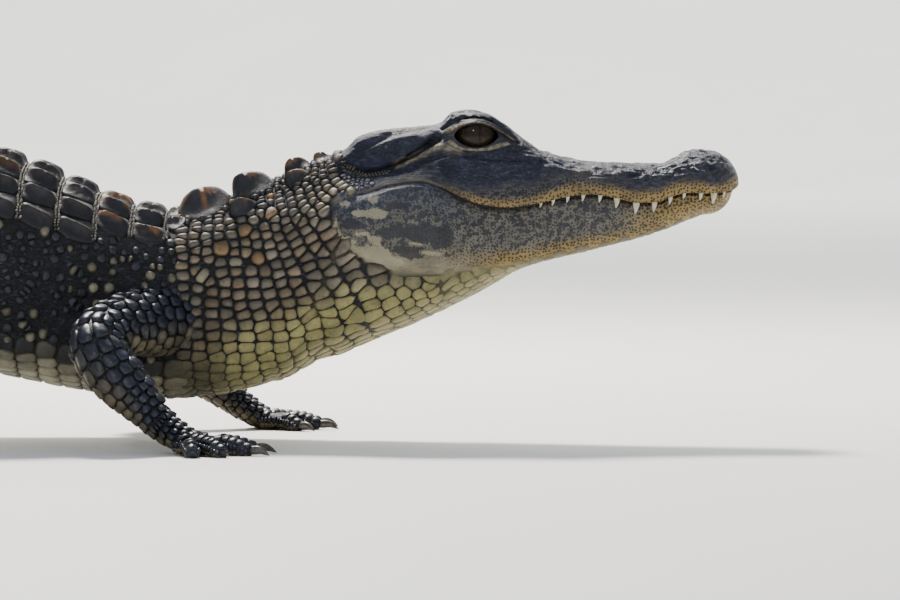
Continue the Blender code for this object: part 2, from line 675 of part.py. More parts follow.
def clear_of_joint(rings, path, distance, side):
    """Moves ring points that cross a joint's plane back to their own side, more for each ring."""
    at, points, directions = path
    middle = np.array([np.interp(distance, at, points[:, k]) for k in range(3)])
    way = unit(np.array([np.interp(distance, at, directions[:, k]) for k in range(3)])) * side
    ordered = rings if side > 0 else rings[::-1]
    for i, ring in enumerate(ordered):
        least = JOINT_GAP / 2 + RING_CLEARANCE * i
        for k, point in enumerate(ring):
            short = least - float((point - middle) @ way)
            if short > 0:
                ring[k] = point + way * short
    return rings


def leg_joints(leg):
    """The root, bend, ankle and ball of a leg, in the row frame in millimetres."""
    _, hand, *joints, _ = leg
    return [placed(s, hand * side, height) for s, side, height in joints]


def toe_direction(leg, angle):
    """Level direction of a toe that is turned from the foot's own direction."""
    name, hand, *joints, turn_out = leg
    ball, ankle = placed(joints[3][0], 0, 0), placed(joints[2][0], 0, 0)
    ahead = math.atan2(ball[1] - ankle[1], ball[0] - ankle[0])
    facing = ahead + hand * math.radians(turn_out + angle)
    return np.array([math.cos(facing), math.sin(facing), 0])


def toe_paths(leg, foot):
    """Each toe's path from inside the ball of the foot to the root of its claw."""
    ball = leg_joints(leg)[3]
    ahead = toe_direction(leg, 0)
    across = np.array([ahead[1], -ahead[0], 0]) * leg[1] * -1
    paths = []
    thick, thin = foot["toe"]
    for angle, length in zip(foot["angles"], foot["lengths"]):
        way = toe_direction(leg, angle)
        knuckle = ball + across * math.sin(math.radians(angle)) * foot["palm"][0] * KNUCKLE_SPREAD
        start = knuckle - ahead * TOE_ROOT
        middle = knuckle + way * 0.5 * length
        end = knuckle + way * (TOE_ROOT + length)
        start[2], middle[2] = ball[2], thick + KNUCKLE_RISE
        end[2] = thin * math.sin(math.pi / 3) - SOLE_FLAT
        paths.append(limb_path([start, middle, end], 20))
    return paths


def web(name, path_a, path_b, share, thick, lowest):
    """A thin flat membrane between two toes."""
    points = []
    for level in (lowest, lowest + WEB_THICKNESS):
        for path, other in ((path_a, path_b), (path_b, path_a)):
            for part in (0.12, share):
                k = int(part * (len(path[1]) - 1))
                p = path[1][k] + 0.12 * unit(path[1][k] - other[1][k]) * thick
                p[2] = level
                points.append(p)
    faces = [(0, 1, 3, 2), (4, 6, 7, 5), (0, 4, 5, 1), (2, 3, 7, 6), (0, 2, 6, 4), (1, 5, 7, 3)]
    return new_object(name, points, faces, SKIN_DARK)


def claw(name, path, toe_radius):
    """A curved horn cone that starts just off the end of its toe."""
    tip, way = path[1][-1], path[2][-1]
    lean = abs(way[2])
    way = unit(np.array([way[0], way[1], 0]))
    start = tip + way * (JOINT_GAP + lean * toe_radius)
    middle = start + way * CLAW_LENGTH * 0.5 + np.array([0, 0, 0.3])
    end = start + way * CLAW_LENGTH
    start[2] = middle[2] = CLAW_RADIUS + 0.35
    end[2] = 0.7
    waist = 0.6 * CLAW_RADIUS
    sizes = [(0, CLAW_RADIUS, CLAW_RADIUS), (0.6 * CLAW_LENGTH, waist, waist), (CLAW_LENGTH, 0.2, 0.2)]
    curve = limb_path([start, middle, end], 12)
    rings = limb_rings(curve, sizes, 0, curve[0][-1], 4, np.array([0, 0, 1.0]), 5)
    return new_object(name, *loft(rings), CLAW_HORN, 0.35)


def floor_cutter():
    """A block under the floor, which gives the feet their flats."""
    bpy.ops.mesh.primitive_cube_add(size=1, location=(0, 0, -0.05))
    block = bpy.context.object
    block.scale = (3, 3, 0.1)
    bpy.ops.object.transform_apply(location=True, scale=True)
    return block


def trunk_stations(middle, reach=90):
    """The trunk's own rings near a leg, so that a cutter has the trunk's facets."""
    found = []
    for _, first, last, count in BODY_NODES:
        stations = np.linspace(first + JOINT_GAP / 2, last - JOINT_GAP / 2, count)
        found += [s for s in stations if abs(s - middle) < reach]
    return sorted(found)


def leg_nodes(leg, sizes, foot):
    """One leg: upper and lower length, foot with toes and webs, and claws."""
    name, hand = leg[0], leg[1]
    root, bend, ankle, ball = leg_joints(leg)
    beyond = ball + toe_direction(leg, 0) * TOE_ROOT
    path = limb_path([root, bend, ankle, ball, beyond], 90)
    reach = path[0][-1]
    nearest = [np.argmin(np.linalg.norm(path[1] - joint, axis=1)) for joint in (bend, ankle)]
    along = [float(path[0][k]) for k in nearest]
    palm_wide, palm_high = foot["palm"]
    profile = [
        (0, sizes["root"], sizes["root"]), (along[0] * 0.55, sizes["upper"], sizes["upper"]),
        (along[0], sizes["bend"], sizes["bend"]),
        (along[0] * 0.6 + along[1] * 0.4, sizes["lower"], sizes["lower"] * 1.05),
        (along[1], sizes["ankle"] * 1.05, sizes["ankle"]),
        (along[1] * 0.4 + reach * 0.6, palm_wide * 0.92, palm_high),
        (reach - TOE_ROOT, palm_wide, palm_high * 0.9), (reach, palm_wide * 0.86, palm_high * 0.7),
    ]
    up = np.array([0.35, 0.0, 1.0]) if "front" in name else np.array([0.25, 0.0, 1.0])
    gap = JOINT_GAP / 2
    rings = clear_of_joint(limb_rings(path, profile, 0, along[0] - gap, 6, up), path, along[0], -1)
    upper = new_object(f"{name}_{sizes['names'][0]}", *loft(rings), SKIN_DARK)
    stations = trunk_stations(leg[2][0])
    rings = [body_ring(s, 0, 1, BODY_HALF_POINTS, swell=JOINT_GAP) for s in stations]
    cut(upper, new_object("clearance", *loft(rings), SKIN_DARK))
    rings = limb_rings(path, profile, along[0] + gap, along[1] - gap, 6, up)
    clear_of_joint(rings, path, along[0], 1)
    clear_of_joint(rings, path, along[1], -1)
    new_object(f"{name}_{sizes['names'][1]}", *loft(rings), SKIN_DARK)
    rings = clear_of_joint(limb_rings(path, profile, along[1] + gap, reach, 6, up), path, along[1], 1)
    palm = new_object(f"{name}_{sizes['names'][2]}", *loft(rings), SKIN_DARK)
    paths = toe_paths(leg, foot)
    pieces = []
    thick, thin = foot["toe"]
    for k, toe in enumerate(paths):
        long = toe[0][-1]
        shape = [(0, thick, thick), (0.7 * long, thick * 0.85, thick * 0.85), (long, thin, thin)]
        rings = limb_rings(toe, shape, 0, long, 4, np.array([0, 0, 1.0]), TOE_SIDES)
        pieces.append(new_object(f"toe{k}", *loft(rings), SKIN_DARK))
    for k in range(len(paths) - 1):
        pieces.append(web(f"web{k}", paths[k], paths[k + 1], foot["web"], thick, WEB_HEIGHT + 0.07 * k))
    fused(palm, pieces)
    cut(palm, floor_cutter())
    for k in foot["clawed"]:
        claw(f"{name}_claw_{k + 1}", paths[k], thin)


def ball_object(name, centre, radii, colour, segments=14, rings=10, roughness=0.1):
    """A closed ball with a radius for each of length, width and height."""
    bm = bmesh.new()
    bmesh.ops.create_uvsphere(bm, u_segments=segments, v_segments=rings, radius=1.0)
    points = [tuple(np.array(v.co) * radii + centre) for v in bm.verts]
    faces = [[v.index for v in f.verts] for f in bm.faces]
    bm.free()
    return new_object(name, points, faces, colour, roughness)


def eye_cutters(hand):
    """The round socket and the almond opening of one eye."""
    centre = placed(EYE_STATION, hand * EYE_SIDE, EYE_HEIGHT)
    socket = ball_object("socket", centre, [EYE_RADIUS + JOINT_GAP] * 3, SKIN_DARK)
    wide, high = LID_OPENING
    near, far = 10.0, 30.0
    rings = []
    for out in (near, far):
        ring = []
        for k in range(12):
            a = 2 * math.pi * k / 12
            up = high * math.sin(a) * abs(math.sin(a)) ** 0.2
            ring.append(placed(EYE_STATION + wide * math.cos(a), hand * out, EYE_HEIGHT + up))
        rings.append(ring)
    return new_object("opening", *loft(rings), SKIN_DARK), socket


def ear_cutter(hand):
    """A wedge along the lower edge of the ear flap."""
    middle, level, long, high = EAR_FLAP
    first, last, depth, open_half = EAR_SLIT
    around = np.linspace(0.14, LIP_AT, 60)
    rings = []
    for share in np.linspace(0, 1, 8):
        turn = math.radians(first + (last - first) * share)
        station = middle + long * math.cos(turn)
        height = level - EAR_FLAP_SLOPE * (station - middle) + high * math.sin(turn)
        half = half_section(np.full(len(around), station), around)
        side = float(np.interp(-height, -half[:, 1], half[:, 0]))
        wide = 0.25 + open_half * math.sin(math.pi * share)
        deep = 0.4 + depth * math.sin(math.pi * share)
        outer, inner = side + 4, side - deep
        corners = ((outer, height - 1.5 * wide), (outer, height + wide), (inner, height + 0.3 * wide))
        rings.append([placed(station, hand * out, up) for out, up in corners])
    return new_object("ear", *loft(rings), SKIN_DARK)


def finish_head(head):
    """Cuts the eye sockets, ears and nostrils, and adds the teeth."""
    for hand in (-1, 1):
        for cutter in eye_cutters(hand):
            cut(head, cutter)
        cut(head, ear_cutter(hand))
        station, side, height = NOSTRIL
        middle = placed(station, hand * side, height + 0.6)
        cut(head, ball_object("nostril", middle, NOSTRIL_SIZE, SKIN_DARK, 8, 6))
    teeth = []
    for station, long in TEETH:
        for hand in (-1, 1):
            rail = head_rails(np.array([station]))[0, LIP_RAIL]
            root = placed(station, hand * (rail[0] - TOOTH_RADIUS), rail[1] + TOOTH_ROOT)
            tip = placed(station, hand * (rail[0] - TOOTH_RADIUS + 0.5), rail[1] - long)
            curve = limb_path([root, (root + tip) / 2, tip], 8)
            length = curve[0][-1]
            sizes = [(0, TOOTH_RADIUS, TOOTH_RADIUS), (length, 0.15, 0.15)]
            rings = limb_rings(curve, sizes, 0, length, 2, np.array([1.0, 0, 0]), 5)
            teeth.append(new_object("tooth", *loft(rings), SKIN_PALE))
    fused(head, teeth)


def eyes():
    """Both eyeballs, in their sockets."""
    for name, hand in (("eye_right", -1), ("eye_left", 1)):
        ball_object(name, placed(EYE_STATION, hand * EYE_SIDE, EYE_HEIGHT), [EYE_RADIUS] * 3, EYE_BROWN)


def triangulate_all():
    """Splits every face into triangles."""
    for obj in bpy.data.objects:
        bm = bmesh.new()
        bm.from_mesh(obj.data)
        bmesh.ops.triangulate(bm, faces=bm.faces)
        bm.to_mesh(obj.data)
        bm.free()


def clear_scene():
    """Removes what the file opened with."""
    for obj in list(bpy.data.objects):
        bpy.data.objects.remove(obj)


def main():
    """Models the whole animal."""
    clear_scene()
    finish_head(head_node())
    lower_jaw_node()
    add_scutes(body_nodes())
    eyes()
    for leg in LEGS:
        front = leg[0].startswith("front")
        leg_nodes(leg, FRONT_SIZES if front else HIND_SIZES, FRONT_FOOT if front else HIND_FOOT)
    triangulate_all()


main()
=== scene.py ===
"""Dresses the frame of a life-size young American alligator: skin, scales, scutes, face and stage.

Lengths in the tables are in millimetres. "Station" is the distance from the snout tip back along
the body. "Around" runs from 0 at the middle of the back to 1 at the middle of the belly, and "arc"
is the distance over the skin from the middle of the back, below 0 on the animal's right.
"""

import math
from functools import lru_cache

import bmesh
import bpy
import numpy as np
from bpy.props import FloatProperty, FloatVectorProperty, IntProperty, PointerProperty
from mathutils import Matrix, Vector
from mathutils.bvhtree import BVHTree
from mathutils.kdtree import KDTree


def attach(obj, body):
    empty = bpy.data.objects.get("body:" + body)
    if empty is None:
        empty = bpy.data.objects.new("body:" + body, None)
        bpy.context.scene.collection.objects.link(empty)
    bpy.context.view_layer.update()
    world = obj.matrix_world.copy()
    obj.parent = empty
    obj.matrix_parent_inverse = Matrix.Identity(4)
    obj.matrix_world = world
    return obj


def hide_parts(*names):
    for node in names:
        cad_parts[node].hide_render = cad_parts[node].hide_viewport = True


bl_info = {
    "name": "Young alligator",
    "version": (1, 0, 0),
    "blender": (4, 5, 0),
    "location": "3D View > Sidebar > Alligator",
    "description": "Builds the skin, scales, face and stage of a life-size young alligator",
    "category": "Add Mesh",
}

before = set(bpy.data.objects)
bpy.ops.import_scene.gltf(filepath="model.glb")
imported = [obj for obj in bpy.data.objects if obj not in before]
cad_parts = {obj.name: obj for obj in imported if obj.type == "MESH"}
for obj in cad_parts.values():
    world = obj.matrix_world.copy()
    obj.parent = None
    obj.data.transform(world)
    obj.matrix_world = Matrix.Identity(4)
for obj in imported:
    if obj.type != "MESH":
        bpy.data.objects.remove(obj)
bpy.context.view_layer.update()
MM = 0.001

# The frame's driving dimensions, as in the part's source
TOTAL_LENGTH = 1100.0
HEAD_END = 150.0
BODY_CENTRE = (-523.4, 42.4)
SNOUT_LEVEL = 98.0
SNOUT_ROUND = (15.0, 11.0)
CHIN_SETBACK = 2.5
LIP_STEP = 2.1

# Head rails, from the middle of the skull to the middle of the throat: (station, side, height)
SKULL_MIDDLE = [
    (0, 0, 109.3), (12, 0, 110.2), (17, 0, 110.6), (20, 0, 110.0), (24.5, 0, 107.2), (31, 0, 105.3),
    (39, 0, 105.4), (57, 0, 106.2), (73, 0, 109.6), (84, 0, 113.2), (100, 0, 117.6), (127, 0, 118.2),
    (143.5, 0, 115.6), (148.5, 0, 111.5), (156, 0, 107.5),
]
BROW_AND_TABLE = [
    (0, 9, 107.8), (17, 10, 108.8), (31, 12.4, 104.4),
    (57, 15, 104.9), (73, 16, 108.6), (80, 16, 113.2),
    (88, 16, 119.8), (95, 16, 124.4), (102, 16, 125.8), (108.5, 16, 124.8), (113, 16.2, 120.6),
    (118, 16.6, 119), (136, 18.6, 116.8), (144, 19, 114.4), (148.5, 18.5, 109.8), (156, 18, 105.5),
]
CHEEK_RIDGE = [
    (0, 16, 103.6), (17, 16.8, 103.4), (31, 17.8, 99.8),
    (57, 21.8, 101.2), (73, 23.6, 105), (84, 25, 108.3),
    (102, 25.6, 109.6), (112, 25.2, 108.6), (127, 23.4, 105), (144, 22.8, 102.6), (152, 23.4, 101),
]
UPPER_LIP = [
    (0, 18.4, 94.8), (12, 18.9, 94.3), (20, 19.8, 94.5),
    (26, 19.3, 93.2), (32, 20, 90.9), (39, 21.7, 90.8),
    (46, 22.8, 92.3), (57, 24.2, 94), (65, 25.5, 93.2),
    (76, 27.4, 90.8), (88, 29.4, 89.2), (97, 30.8, 90.2),
    (105, 31.8, 93), (112, 32.8, 96.5), (121, 33.6, 99.2),
    (130, 34.2, 98.2), (141, 35, 95.2), (152, 35.4, 92.5),
]
JAW_SIDE = [
    (0, 16.8, 89.8), (12, 16.9, 89.8), (20, 18, 89), (28, 18.5, 86.5), (38, 20.2, 84.5), (57, 23, 83.5),
    (73, 25.8, 81), (84, 28, 79), (95, 30.8, 78), (105, 33.5, 79), (115, 36.2, 80.5), (130, 38.6, 81.5),
    (142, 39, 81.4), (152, 37.8, 80.5),
]
JAW_EDGE = [
    (0, 11.4, 86.6), (12, 11.5, 86.6), (20, 13, 84.8),
    (28, 14.2, 81.5), (38, 15.7, 78.3), (57, 18.8, 74),
    (73, 22, 70.5), (84, 24.5, 68.5), (105, 29, 65.8),
    (115, 31, 65), (130, 32.8, 65.3), (145, 34.6, 66.5),
    (152, 35.4, 66),
]
THROAT_SIDE = [
    (0, 4.8, 86.2), (12, 4.8, 86.2), (28, 6, 80.9), (57, 9, 73), (73, 11, 69.2), (84, 13, 65.5),
    (95, 16, 60.5), (105, 18.5, 56.5), (115, 20.5, 52.8),
    (127, 23, 49), (136, 25, 47), (152, 28.5, 43.5),
]
THROAT_MIDDLE = [
    (0, 0, 86.2), (12, 0, 86.2), (18, 0, 85), (28.4, 0, 80.8), (39, 0, 77.1), (62.6, 0, 71.8),
    (75.7, 0, 68.6), (83, 0, 66.5), (91, 0, 61.2), (108, 0, 52),
    (120.7, 0, 46.1), (142, 0, 37.4), (153, 0, 32.3),
]
LIP_RAIL = 3
RAIL_ANGLES = [0, 24, 52, 80, 104, 130, 156, 180]
NECK_BLEND = (147.0, 172.0)

# Neck, trunk and tail: (station, value)
BACK_HEIGHT = [
    (140, 110.5), (156, 106.6), (166, 103), (180, 98), (194, 92.6),
    (207, 88.2), (218, 86.4), (228, 88.6),
    (240, 93.2), (258, 100), (278, 107.5), (300, 114.6), (330, 122),
    (365, 127), (400, 127.5), (440, 124),
    (480, 117.5), (520, 109.5), (560, 99.5), (600, 85), (650, 64), (690, 51.5), (720, 46), (750, 43),
    (800, 39), (860, 34), (920, 28.5), (980, 22.5), (1040, 15.5), (1085, 8), (1100, 3.2),
]
BELLY_HEIGHT = [
    (140, 38.2), (159, 29.4), (175, 23), (195, 18), (215, 16.5),
    (240, 18.5), (270, 24), (300, 30), (340, 36.5),
    (380, 41), (420, 44.5), (460, 48), (500, 50.5), (530, 50), (560, 44.5), (600, 31.5), (650, 14.5),
    (690, 4.0), (720, -0.6), (745, -1.6), (1000, -1.2), (1100, -0.6),
]
HALF_WIDTH = [
    (140, 37.5), (160, 36.5), (175, 35.5), (200, 38.5), (222, 42),
    (250, 47), (300, 55), (350, 59), (400, 58),
    (450, 52), (500, 44), (530, 38.5), (560, 33.5), (600, 29), (700, 20.5), (800, 14), (900, 9.4),
    (1000, 5.8), (1070, 3.2), (1100, 1.4),
]
HEADING = [
    (0, 0), (270, 0), (360, 5), (470, 7), (560, -6), (640, -8),
    (740, 12), (860, 34), (960, 40), (1050, 26),
    (1100, 16),
]
WIDEST_AT = 0.45
UPPER_FULLNESS = 2.3
LOWER_FULLNESS = 2.7

# Face
EYE_STATION = 99.6
EYE_SIDE = 15.6
EYE_HEIGHT = 116.0
EYE_RADIUS = 8.2
LID_COVER = 1.0
LID_OPENING = (8.3, 4.4)
JAW_PAD = (118.0, 82.0, 35.0, 17.5)
JAW_PAD_RISE = 1.7
EAR_FLAP = (131.5, 110.2, 17.0, 5.6)
EAR_FLAP_SLOPE = 0.33
EAR_FLAP_RISE = 1.5
EAR_SLIT = (182.0, 330.0, 2.6, 1.0)
NOSTRIL = (13.6, 4.8, 110.6)
NOSTRIL_MOUND = (4.5, 3.2)
NOSTRIL_RISE = 0.3
TEETH = [
    (6.2, 2.0), (10.2, 3.9), (15.1, 2.7), (21.4, 2.3), (26.6, 2.9), (32.6, 3.6),
    (39.5, 4.2), (46.8, 3.7), (53.1, 2.7),
    (59.5, 2.6), (65.3, 2.3), (70.8, 2.2), (75.4, 1.9),
]

# Lines on the face in a side view: (station, height)
BROW_GROOVE = [
    (112.4, 118.6), (108.6, 121.3), (105, 122.7), (101, 123.3), (96.8, 122.9), (93, 121.6), (89.4, 119.2),
    (86.4, 116.6), (83.4, 113.6),
]
UPPER_LID = [
    (112.1, 117.0), (108.9, 119.4), (105, 121.0), (100.6, 121.7), (96.2, 121.0), (92.9, 119.6),
    (89.6, 117.2), (86.3, 115.4), (84.4, 113.8),
]
LOWER_LID = [
    (111.0, 113.4), (107.8, 111.3), (105, 110.4), (99.5, 110.0), (94.1, 110.3), (89.6, 111.6), (86.2, 112.6),
]
CHEEK_CREASE = [
    (122.5, 104.4), (119.3, 106.1), (116, 107.3), (108.9, 109.2), (101.7, 108.4), (94, 107.4),
    (85.8, 106.6), (77.6, 106.2),
]
EAR_EDGE = [
    (149.6, 107.3), (148.9, 105.4), (146.3, 103.9), (140.6, 102.6), (132.4, 103.9), (128.3, 106.1),
    (122.6, 109.9), (116.5, 114.0),
]
JAW_LOWEST = [
    (60, 73.3), (84, 68.8), (96, 67.0), (105, 65.4), (113, 64.6), (124, 64.6), (132.4, 66), (140.6, 69.4),
    (148.9, 75.8), (153.2, 83),
]
JAW_REAR = 153.5
TAN_ABOVE_LIP = [
    (0, 4.2), (12, 4.0), (20, 4.6), (40, 4.6), (60, 4.8), (85, 3.8), (100, 2.6), (110, 1.5), (124, 0.8), (141, 0.5),
]
THROAT_LEVEL = [(90, 70), (130, 62), (146, 57), (167, 51), (190, 42), (215, 30)]
ODD_SCALES = [  # large or bright single scales of the neck: station, height, length, width, colour
    (194.6, 74.4, 7.7, 4.6, "umber"), (186.3, 80.9, 5.4, 4.6, "umber"), (176.5, 87.3, 6.3, 5.2, "umber"),
    (177.0, 93.8, 3.4, 3.0, "rust"), (189.4, 69.0, 3.6, 3.8, "cream"), (201.6, 63.9, 4.6, 5.6, "cream"),
    (181.0, 70.5, 4.0, 4.6, "umber"),
]
NECK_SWEEP = [(155, 0.020), (163, 0.018), (176, 0.009), (192, 0.004), (206, 0.001)]  # station, pull forward
SWEEP_REACH = 55.0
EAR_SLOT = [(114.2, 115.2), (119.4, 112.0), (125.5, 108.2)]
EAR_FOLD = [(113.0, 112.2), (119.3, 109.5), (125, 107.0), (129.5, 104.9)]
JAW_MARKS = [  # station, height, half length, half height, and 1 for dark or -1 for pale
    (119.5, 79.9, 10.0, 3.1, 1), (124.5, 72.4, 7.5, 3.0, 1), (112.5, 77.0, 4.5, 3.5, 1), (133.0, 79.6, 5.0, 2.0, 1),
    (146.0, 83.0, 3.2, 2.0, 1), (129.0, 90.0, 5.0, 1.6, 1), (123.0, 75.4, 3.6, 0.9, -1), (116.5, 72.4, 4.4, 0.7, -1),
    (139.5, 72.6, 7.6, 2.9, -1), (133.0, 69.0, 7.0, 2.8, -1), (147.6, 76.6, 3.2, 1.9, -1),
    (142.7, 79.7, 2.7, 0.9, -1), (143.4, 87.3, 2.6, 1.5, -1), (136.6, 87.0, 4.2, 1.9, -1),
    (137.4, 77.6, 2.7, 1.6, -1), (138.2, 92.6, 2.4, 1.6, -0.8), (148.6, 90.7, 2.3, 1.3, -0.8),
]

# Scutes and crests, as in the part's source
NECK_SCUTES = [
    (158.0, 6.0, 7.0, 8.0, 2.6), (166.6, 7.0, 9.5, 9.5, 4.2), (167.4, 16.4, 8.0, 7.0, 3.0),
    (184.5, 9.6, 15.8, 15.6, 5.8), (187.5, 22.6, 9.0, 8.5, 3.2), (200.6, 11.6, 19.0, 19.4, 6.4),
]
BACK_ROWS = [(216.0, 470.0, 16, 1.48), (470.0, 545.0, 4, 0.9)]
BACK_COLUMNS = [(6.9, 12.7, 3.4), (20.3, 12.7, 3.4), (33.2, 11.6, 2.7)]
OUTER_COLUMNS = [(44.4, 9.0, 1.9), (53.4, 7.0, 1.5)]  # smaller ones that thin out towards the ends
COLUMN_SCALE = (0.8, 1.15)
TAIL_ROWS = [(545.0, 690.0, 10), (690.0, 840.0, 12), (840.0, 985.0, 13), (985.0, 1094.0, 12)]
CREST_HEIGHT = [(545, 3.6), (600, 5), (700, 7), (790, 8.5), (815, 9.5), (900, 8.5), (1000, 6), (1095, 2)]
CREST_SPREAD = [(545, 10), (620, 9), (700, 6.5), (780, 3.6), (806, 2.4)]
CREST_JOINS = 806.0

# Legs, as in the part's source
FRONT_SIZES = {"root": 15.0, "upper": 12.0, "bend": 9.6, "lower": 9.2, "ankle": 6.2}
HIND_SIZES = {"root": 22.0, "upper": 18.0, "bend": 12.5, "lower": 12.0, "ankle": 7.8}
FRONT_FOOT = {
    "palm": (9.5, 4.6), "angles": (-62, -30, 0, 28, 56), "lengths": (14, 18, 20, 18, 14),
    "clawed": (0, 1, 2), "toe": (3.3, 2.1), "web": 0.35,
}
HIND_FOOT = {
    "palm": (11.0, 5.4), "angles": (-26, -7, 13, 36), "lengths": (27, 33, 32, 25), "clawed": (0, 1, 2),
    "toe": (3.7, 2.4), "web": 0.6,
}
LEGS = [  # name, side, root, bend, ankle, ball of the foot, degrees the foot turns out
    ("front_right", -1, (212, 24, 48.5), (239, 66.5, 41), (218, 76, 13.5), (203, 79, 3.7), 24),
    ("front_left", 1, (211, 24, 52), (234, 67, 44), (198, 74, 14), (183, 77, 3.7), 20),
    ("hind_right", -1, (500, 18, 84), (468, 68, 70), (503, 77, 19), (474, 84, 4.4), 22),
    ("hind_left", 1, (502, 18, 84), (482, 68, 68), (527, 75, 19), (498, 81, 4.4), 26),
]
TOE_ROOT = 4.0
KNUCKLE_SPREAD = 0.7
KNUCKLE_RISE = 0.6
SOLE_FLAT = 0.3
CLAW_LENGTH = 6.5
CLAW_RADIUS = 1.7
CLAW_GAP = 0.3
TOOTH_ROOT = 1.2
FLOOR_CLEARANCE = 0.05

# How fine the meshes are
HEAD_STATIONS = [(0.02, 12, 26), (12, 30, 30), (30, 84, 84), (84, 117, 70), (117, 152, 54)]
BODY_STATIONS = [(152, 240, 50), (240, 560, 110), (560, 1099.6, 140)]
HEAD_COLUMNS = [(0, 1, 26), (1, 2, 34), (2, 2.965, 22), (2.965, 3.06, 4), (3.06, 5, 20), (5, 7, 14)]
SHEET_STEP = 1.0
SHEET_HALF_COLUMNS = 150
LIMB_SIDES = 30
LIMB_RINGS = 46
TOE_SIDES = 14
TOE_RINGS = 13
NOISE_PRIMES = np.array([73856093, 19349663, 83492791], np.int64)
BAKE_PATCH = 0.0015  # half the width of a scale's patch on the bake map


def through(keys):
    """A smooth curve through (position, value, ...) keys that never overshoots them."""
    table = np.array(keys, float)
    at, values = table[:, 0], table[:, 1:]
    step = np.diff(at)[:, None]
    rise = np.diff(values, axis=0) / step
    slope = np.zeros_like(values)
    slope[0], slope[-1] = rise[0], rise[-1]
    before, after = rise[:-1], rise[1:]
    steady = before * after > 0
    weight_a, weight_b = 2 * step[1:] + step[:-1], step[1:] + 2 * step[:-1]
    safe_before, safe_after = np.where(steady, before, 1), np.where(steady, after, 1)
    mean = (weight_a + weight_b) / (weight_a / safe_before + weight_b / safe_after)
    slope[1:-1] = np.where(steady, mean, 0)

    def value(position):
        position = np.clip(np.asarray(position, float), at[0], at[-1])
        i = np.clip(np.searchsorted(at, position, side="right") - 1, 0, len(at) - 2)
        width = (at[i + 1] - at[i])[..., None]
        t = ((position - at[i]) / (at[i + 1] - at[i]))[..., None]
        found = (
            values[i] * (1 + 2 * t) * (1 - t) ** 2
            + slope[i] * width * t * (1 - t) ** 2
            + values[i + 1] * t * t * (3 - 2 * t)
            - slope[i + 1] * width * t * t * (1 - t)
        )
        return found[..., 0] if values.shape[1] == 1 else found

    return value


def ease(x, low, high):
    """0 below low, 1 above high, and a smooth step between."""
    t = np.clip((np.asarray(x, float) - low) / (high - low), 0, 1)
    return t * t * (3 - 2 * t)


def bump(x, width):
    """A smooth hump, 1 at 0 and almost gone two widths away."""
    return np.exp(-((x / width) ** 2))


def blend(a, b, share):
    """From a at share 0 to b at share 1, for colours too."""
    share = np.asarray(share, float)
    return np.asarray(a) * (1 - share[..., None]) + np.asarray(b) * share[..., None]


def quarter_round(t):
    """A quarter circle's rise from 0 at t = 0 to 1 at t = 1."""
    t = np.clip(t, 0, 1)
    return np.sqrt(np.maximum(1 - (1 - t) ** 2, 0))


def unit(vector):
    """The vector, or each of them, at a length of 1."""
    vector = np.asarray(vector, float)
    return vector / np.maximum(np.linalg.norm(vector, axis=-1, keepdims=True), 1e-9)


def noise(points, size, seed=0):
    """Smooth noise from -1 to 1 with lumps about size across, for points of two or three numbers."""
    place = np.asarray(points, float) / size + 37.7 * (seed + 1)
    cell = np.floor(place).astype(np.int64)
    part = place - cell
    part = part**3 * (part * (6 * part - 15) + 10)
    count = place.shape[-1]
    total = np.zeros(place.shape[:-1])
    for corner in np.ndindex(*(2,) * count):
        mixed = ((cell + corner) * NOISE_PRIMES[:count]).sum(-1) & 0xFFFFFFFF
        mixed = ((mixed ^ (mixed >> 15)) * 2246822519) & 0xFFFFFFFF
        mixed = ((mixed ^ (mixed >> 13)) * 3266489917) & 0xFFFFFFFF
        weight = np.prod(np.where(corner, part, 1 - part), axis=-1)
        total += weight * ((mixed ^ (mixed >> 16)) / 0x7FFFFFFF - 1)
    return total


RAILS = [
    through(keys)
    for keys in (
        SKULL_MIDDLE, BROW_AND_TABLE, CHEEK_RIDGE, UPPER_LIP, JAW_SIDE, JAW_EDGE, THROAT_SIDE, THROAT_MIDDLE,
    )
]
back_height, belly_height, half_width = through(BACK_HEIGHT), through(BELLY_HEIGHT), through(HALF_WIDTH)
jaw_lowest, tan_above_lip = through(JAW_LOWEST), through(TAN_ABOVE_LIP)
throat_level = through(THROAT_LEVEL)
LAST_RAIL = len(RAILS) - 1
LIP_AT = LIP_RAIL / LAST_RAIL


def spine():
    """Stations, places seen from above and headings of the body's middle line."""
    stations = np.linspace(0, TOTAL_LENGTH, 1101)
    heading = np.radians(through(HEADING)(stations))
    step = stations[1] - stations[0]
    x = -np.concatenate([[0], np.cumsum((np.cos(heading[1:]) + np.cos(heading[:-1])) / 2 * step)])
    y = np.concatenate([[0], np.cumsum((np.sin(heading[1:]) + np.sin(heading[:-1])) / 2 * step)])
    return stations, x, y, heading


SPINE = spine()


def placed(station, side, height):
    """Points in the row frame, in millimetres, from station, distance to the left and height."""
    station, side, height = np.broadcast_arrays(*(np.asarray(a, float) for a in (station, side, height)))
    stations, xs, ys, headings = SPINE
    x, y = np.interp(station, stations, xs), np.interp(station, stations, ys)
    heading = np.interp(station, stations, headings)
    x, y = x + side * np.sin(heading), y + side * np.cos(heading)
    x = x + np.where(station < 0, -station, 0)
    return np.stack([x - BODY_CENTRE[0], y - BODY_CENTRE[1], height], axis=-1)


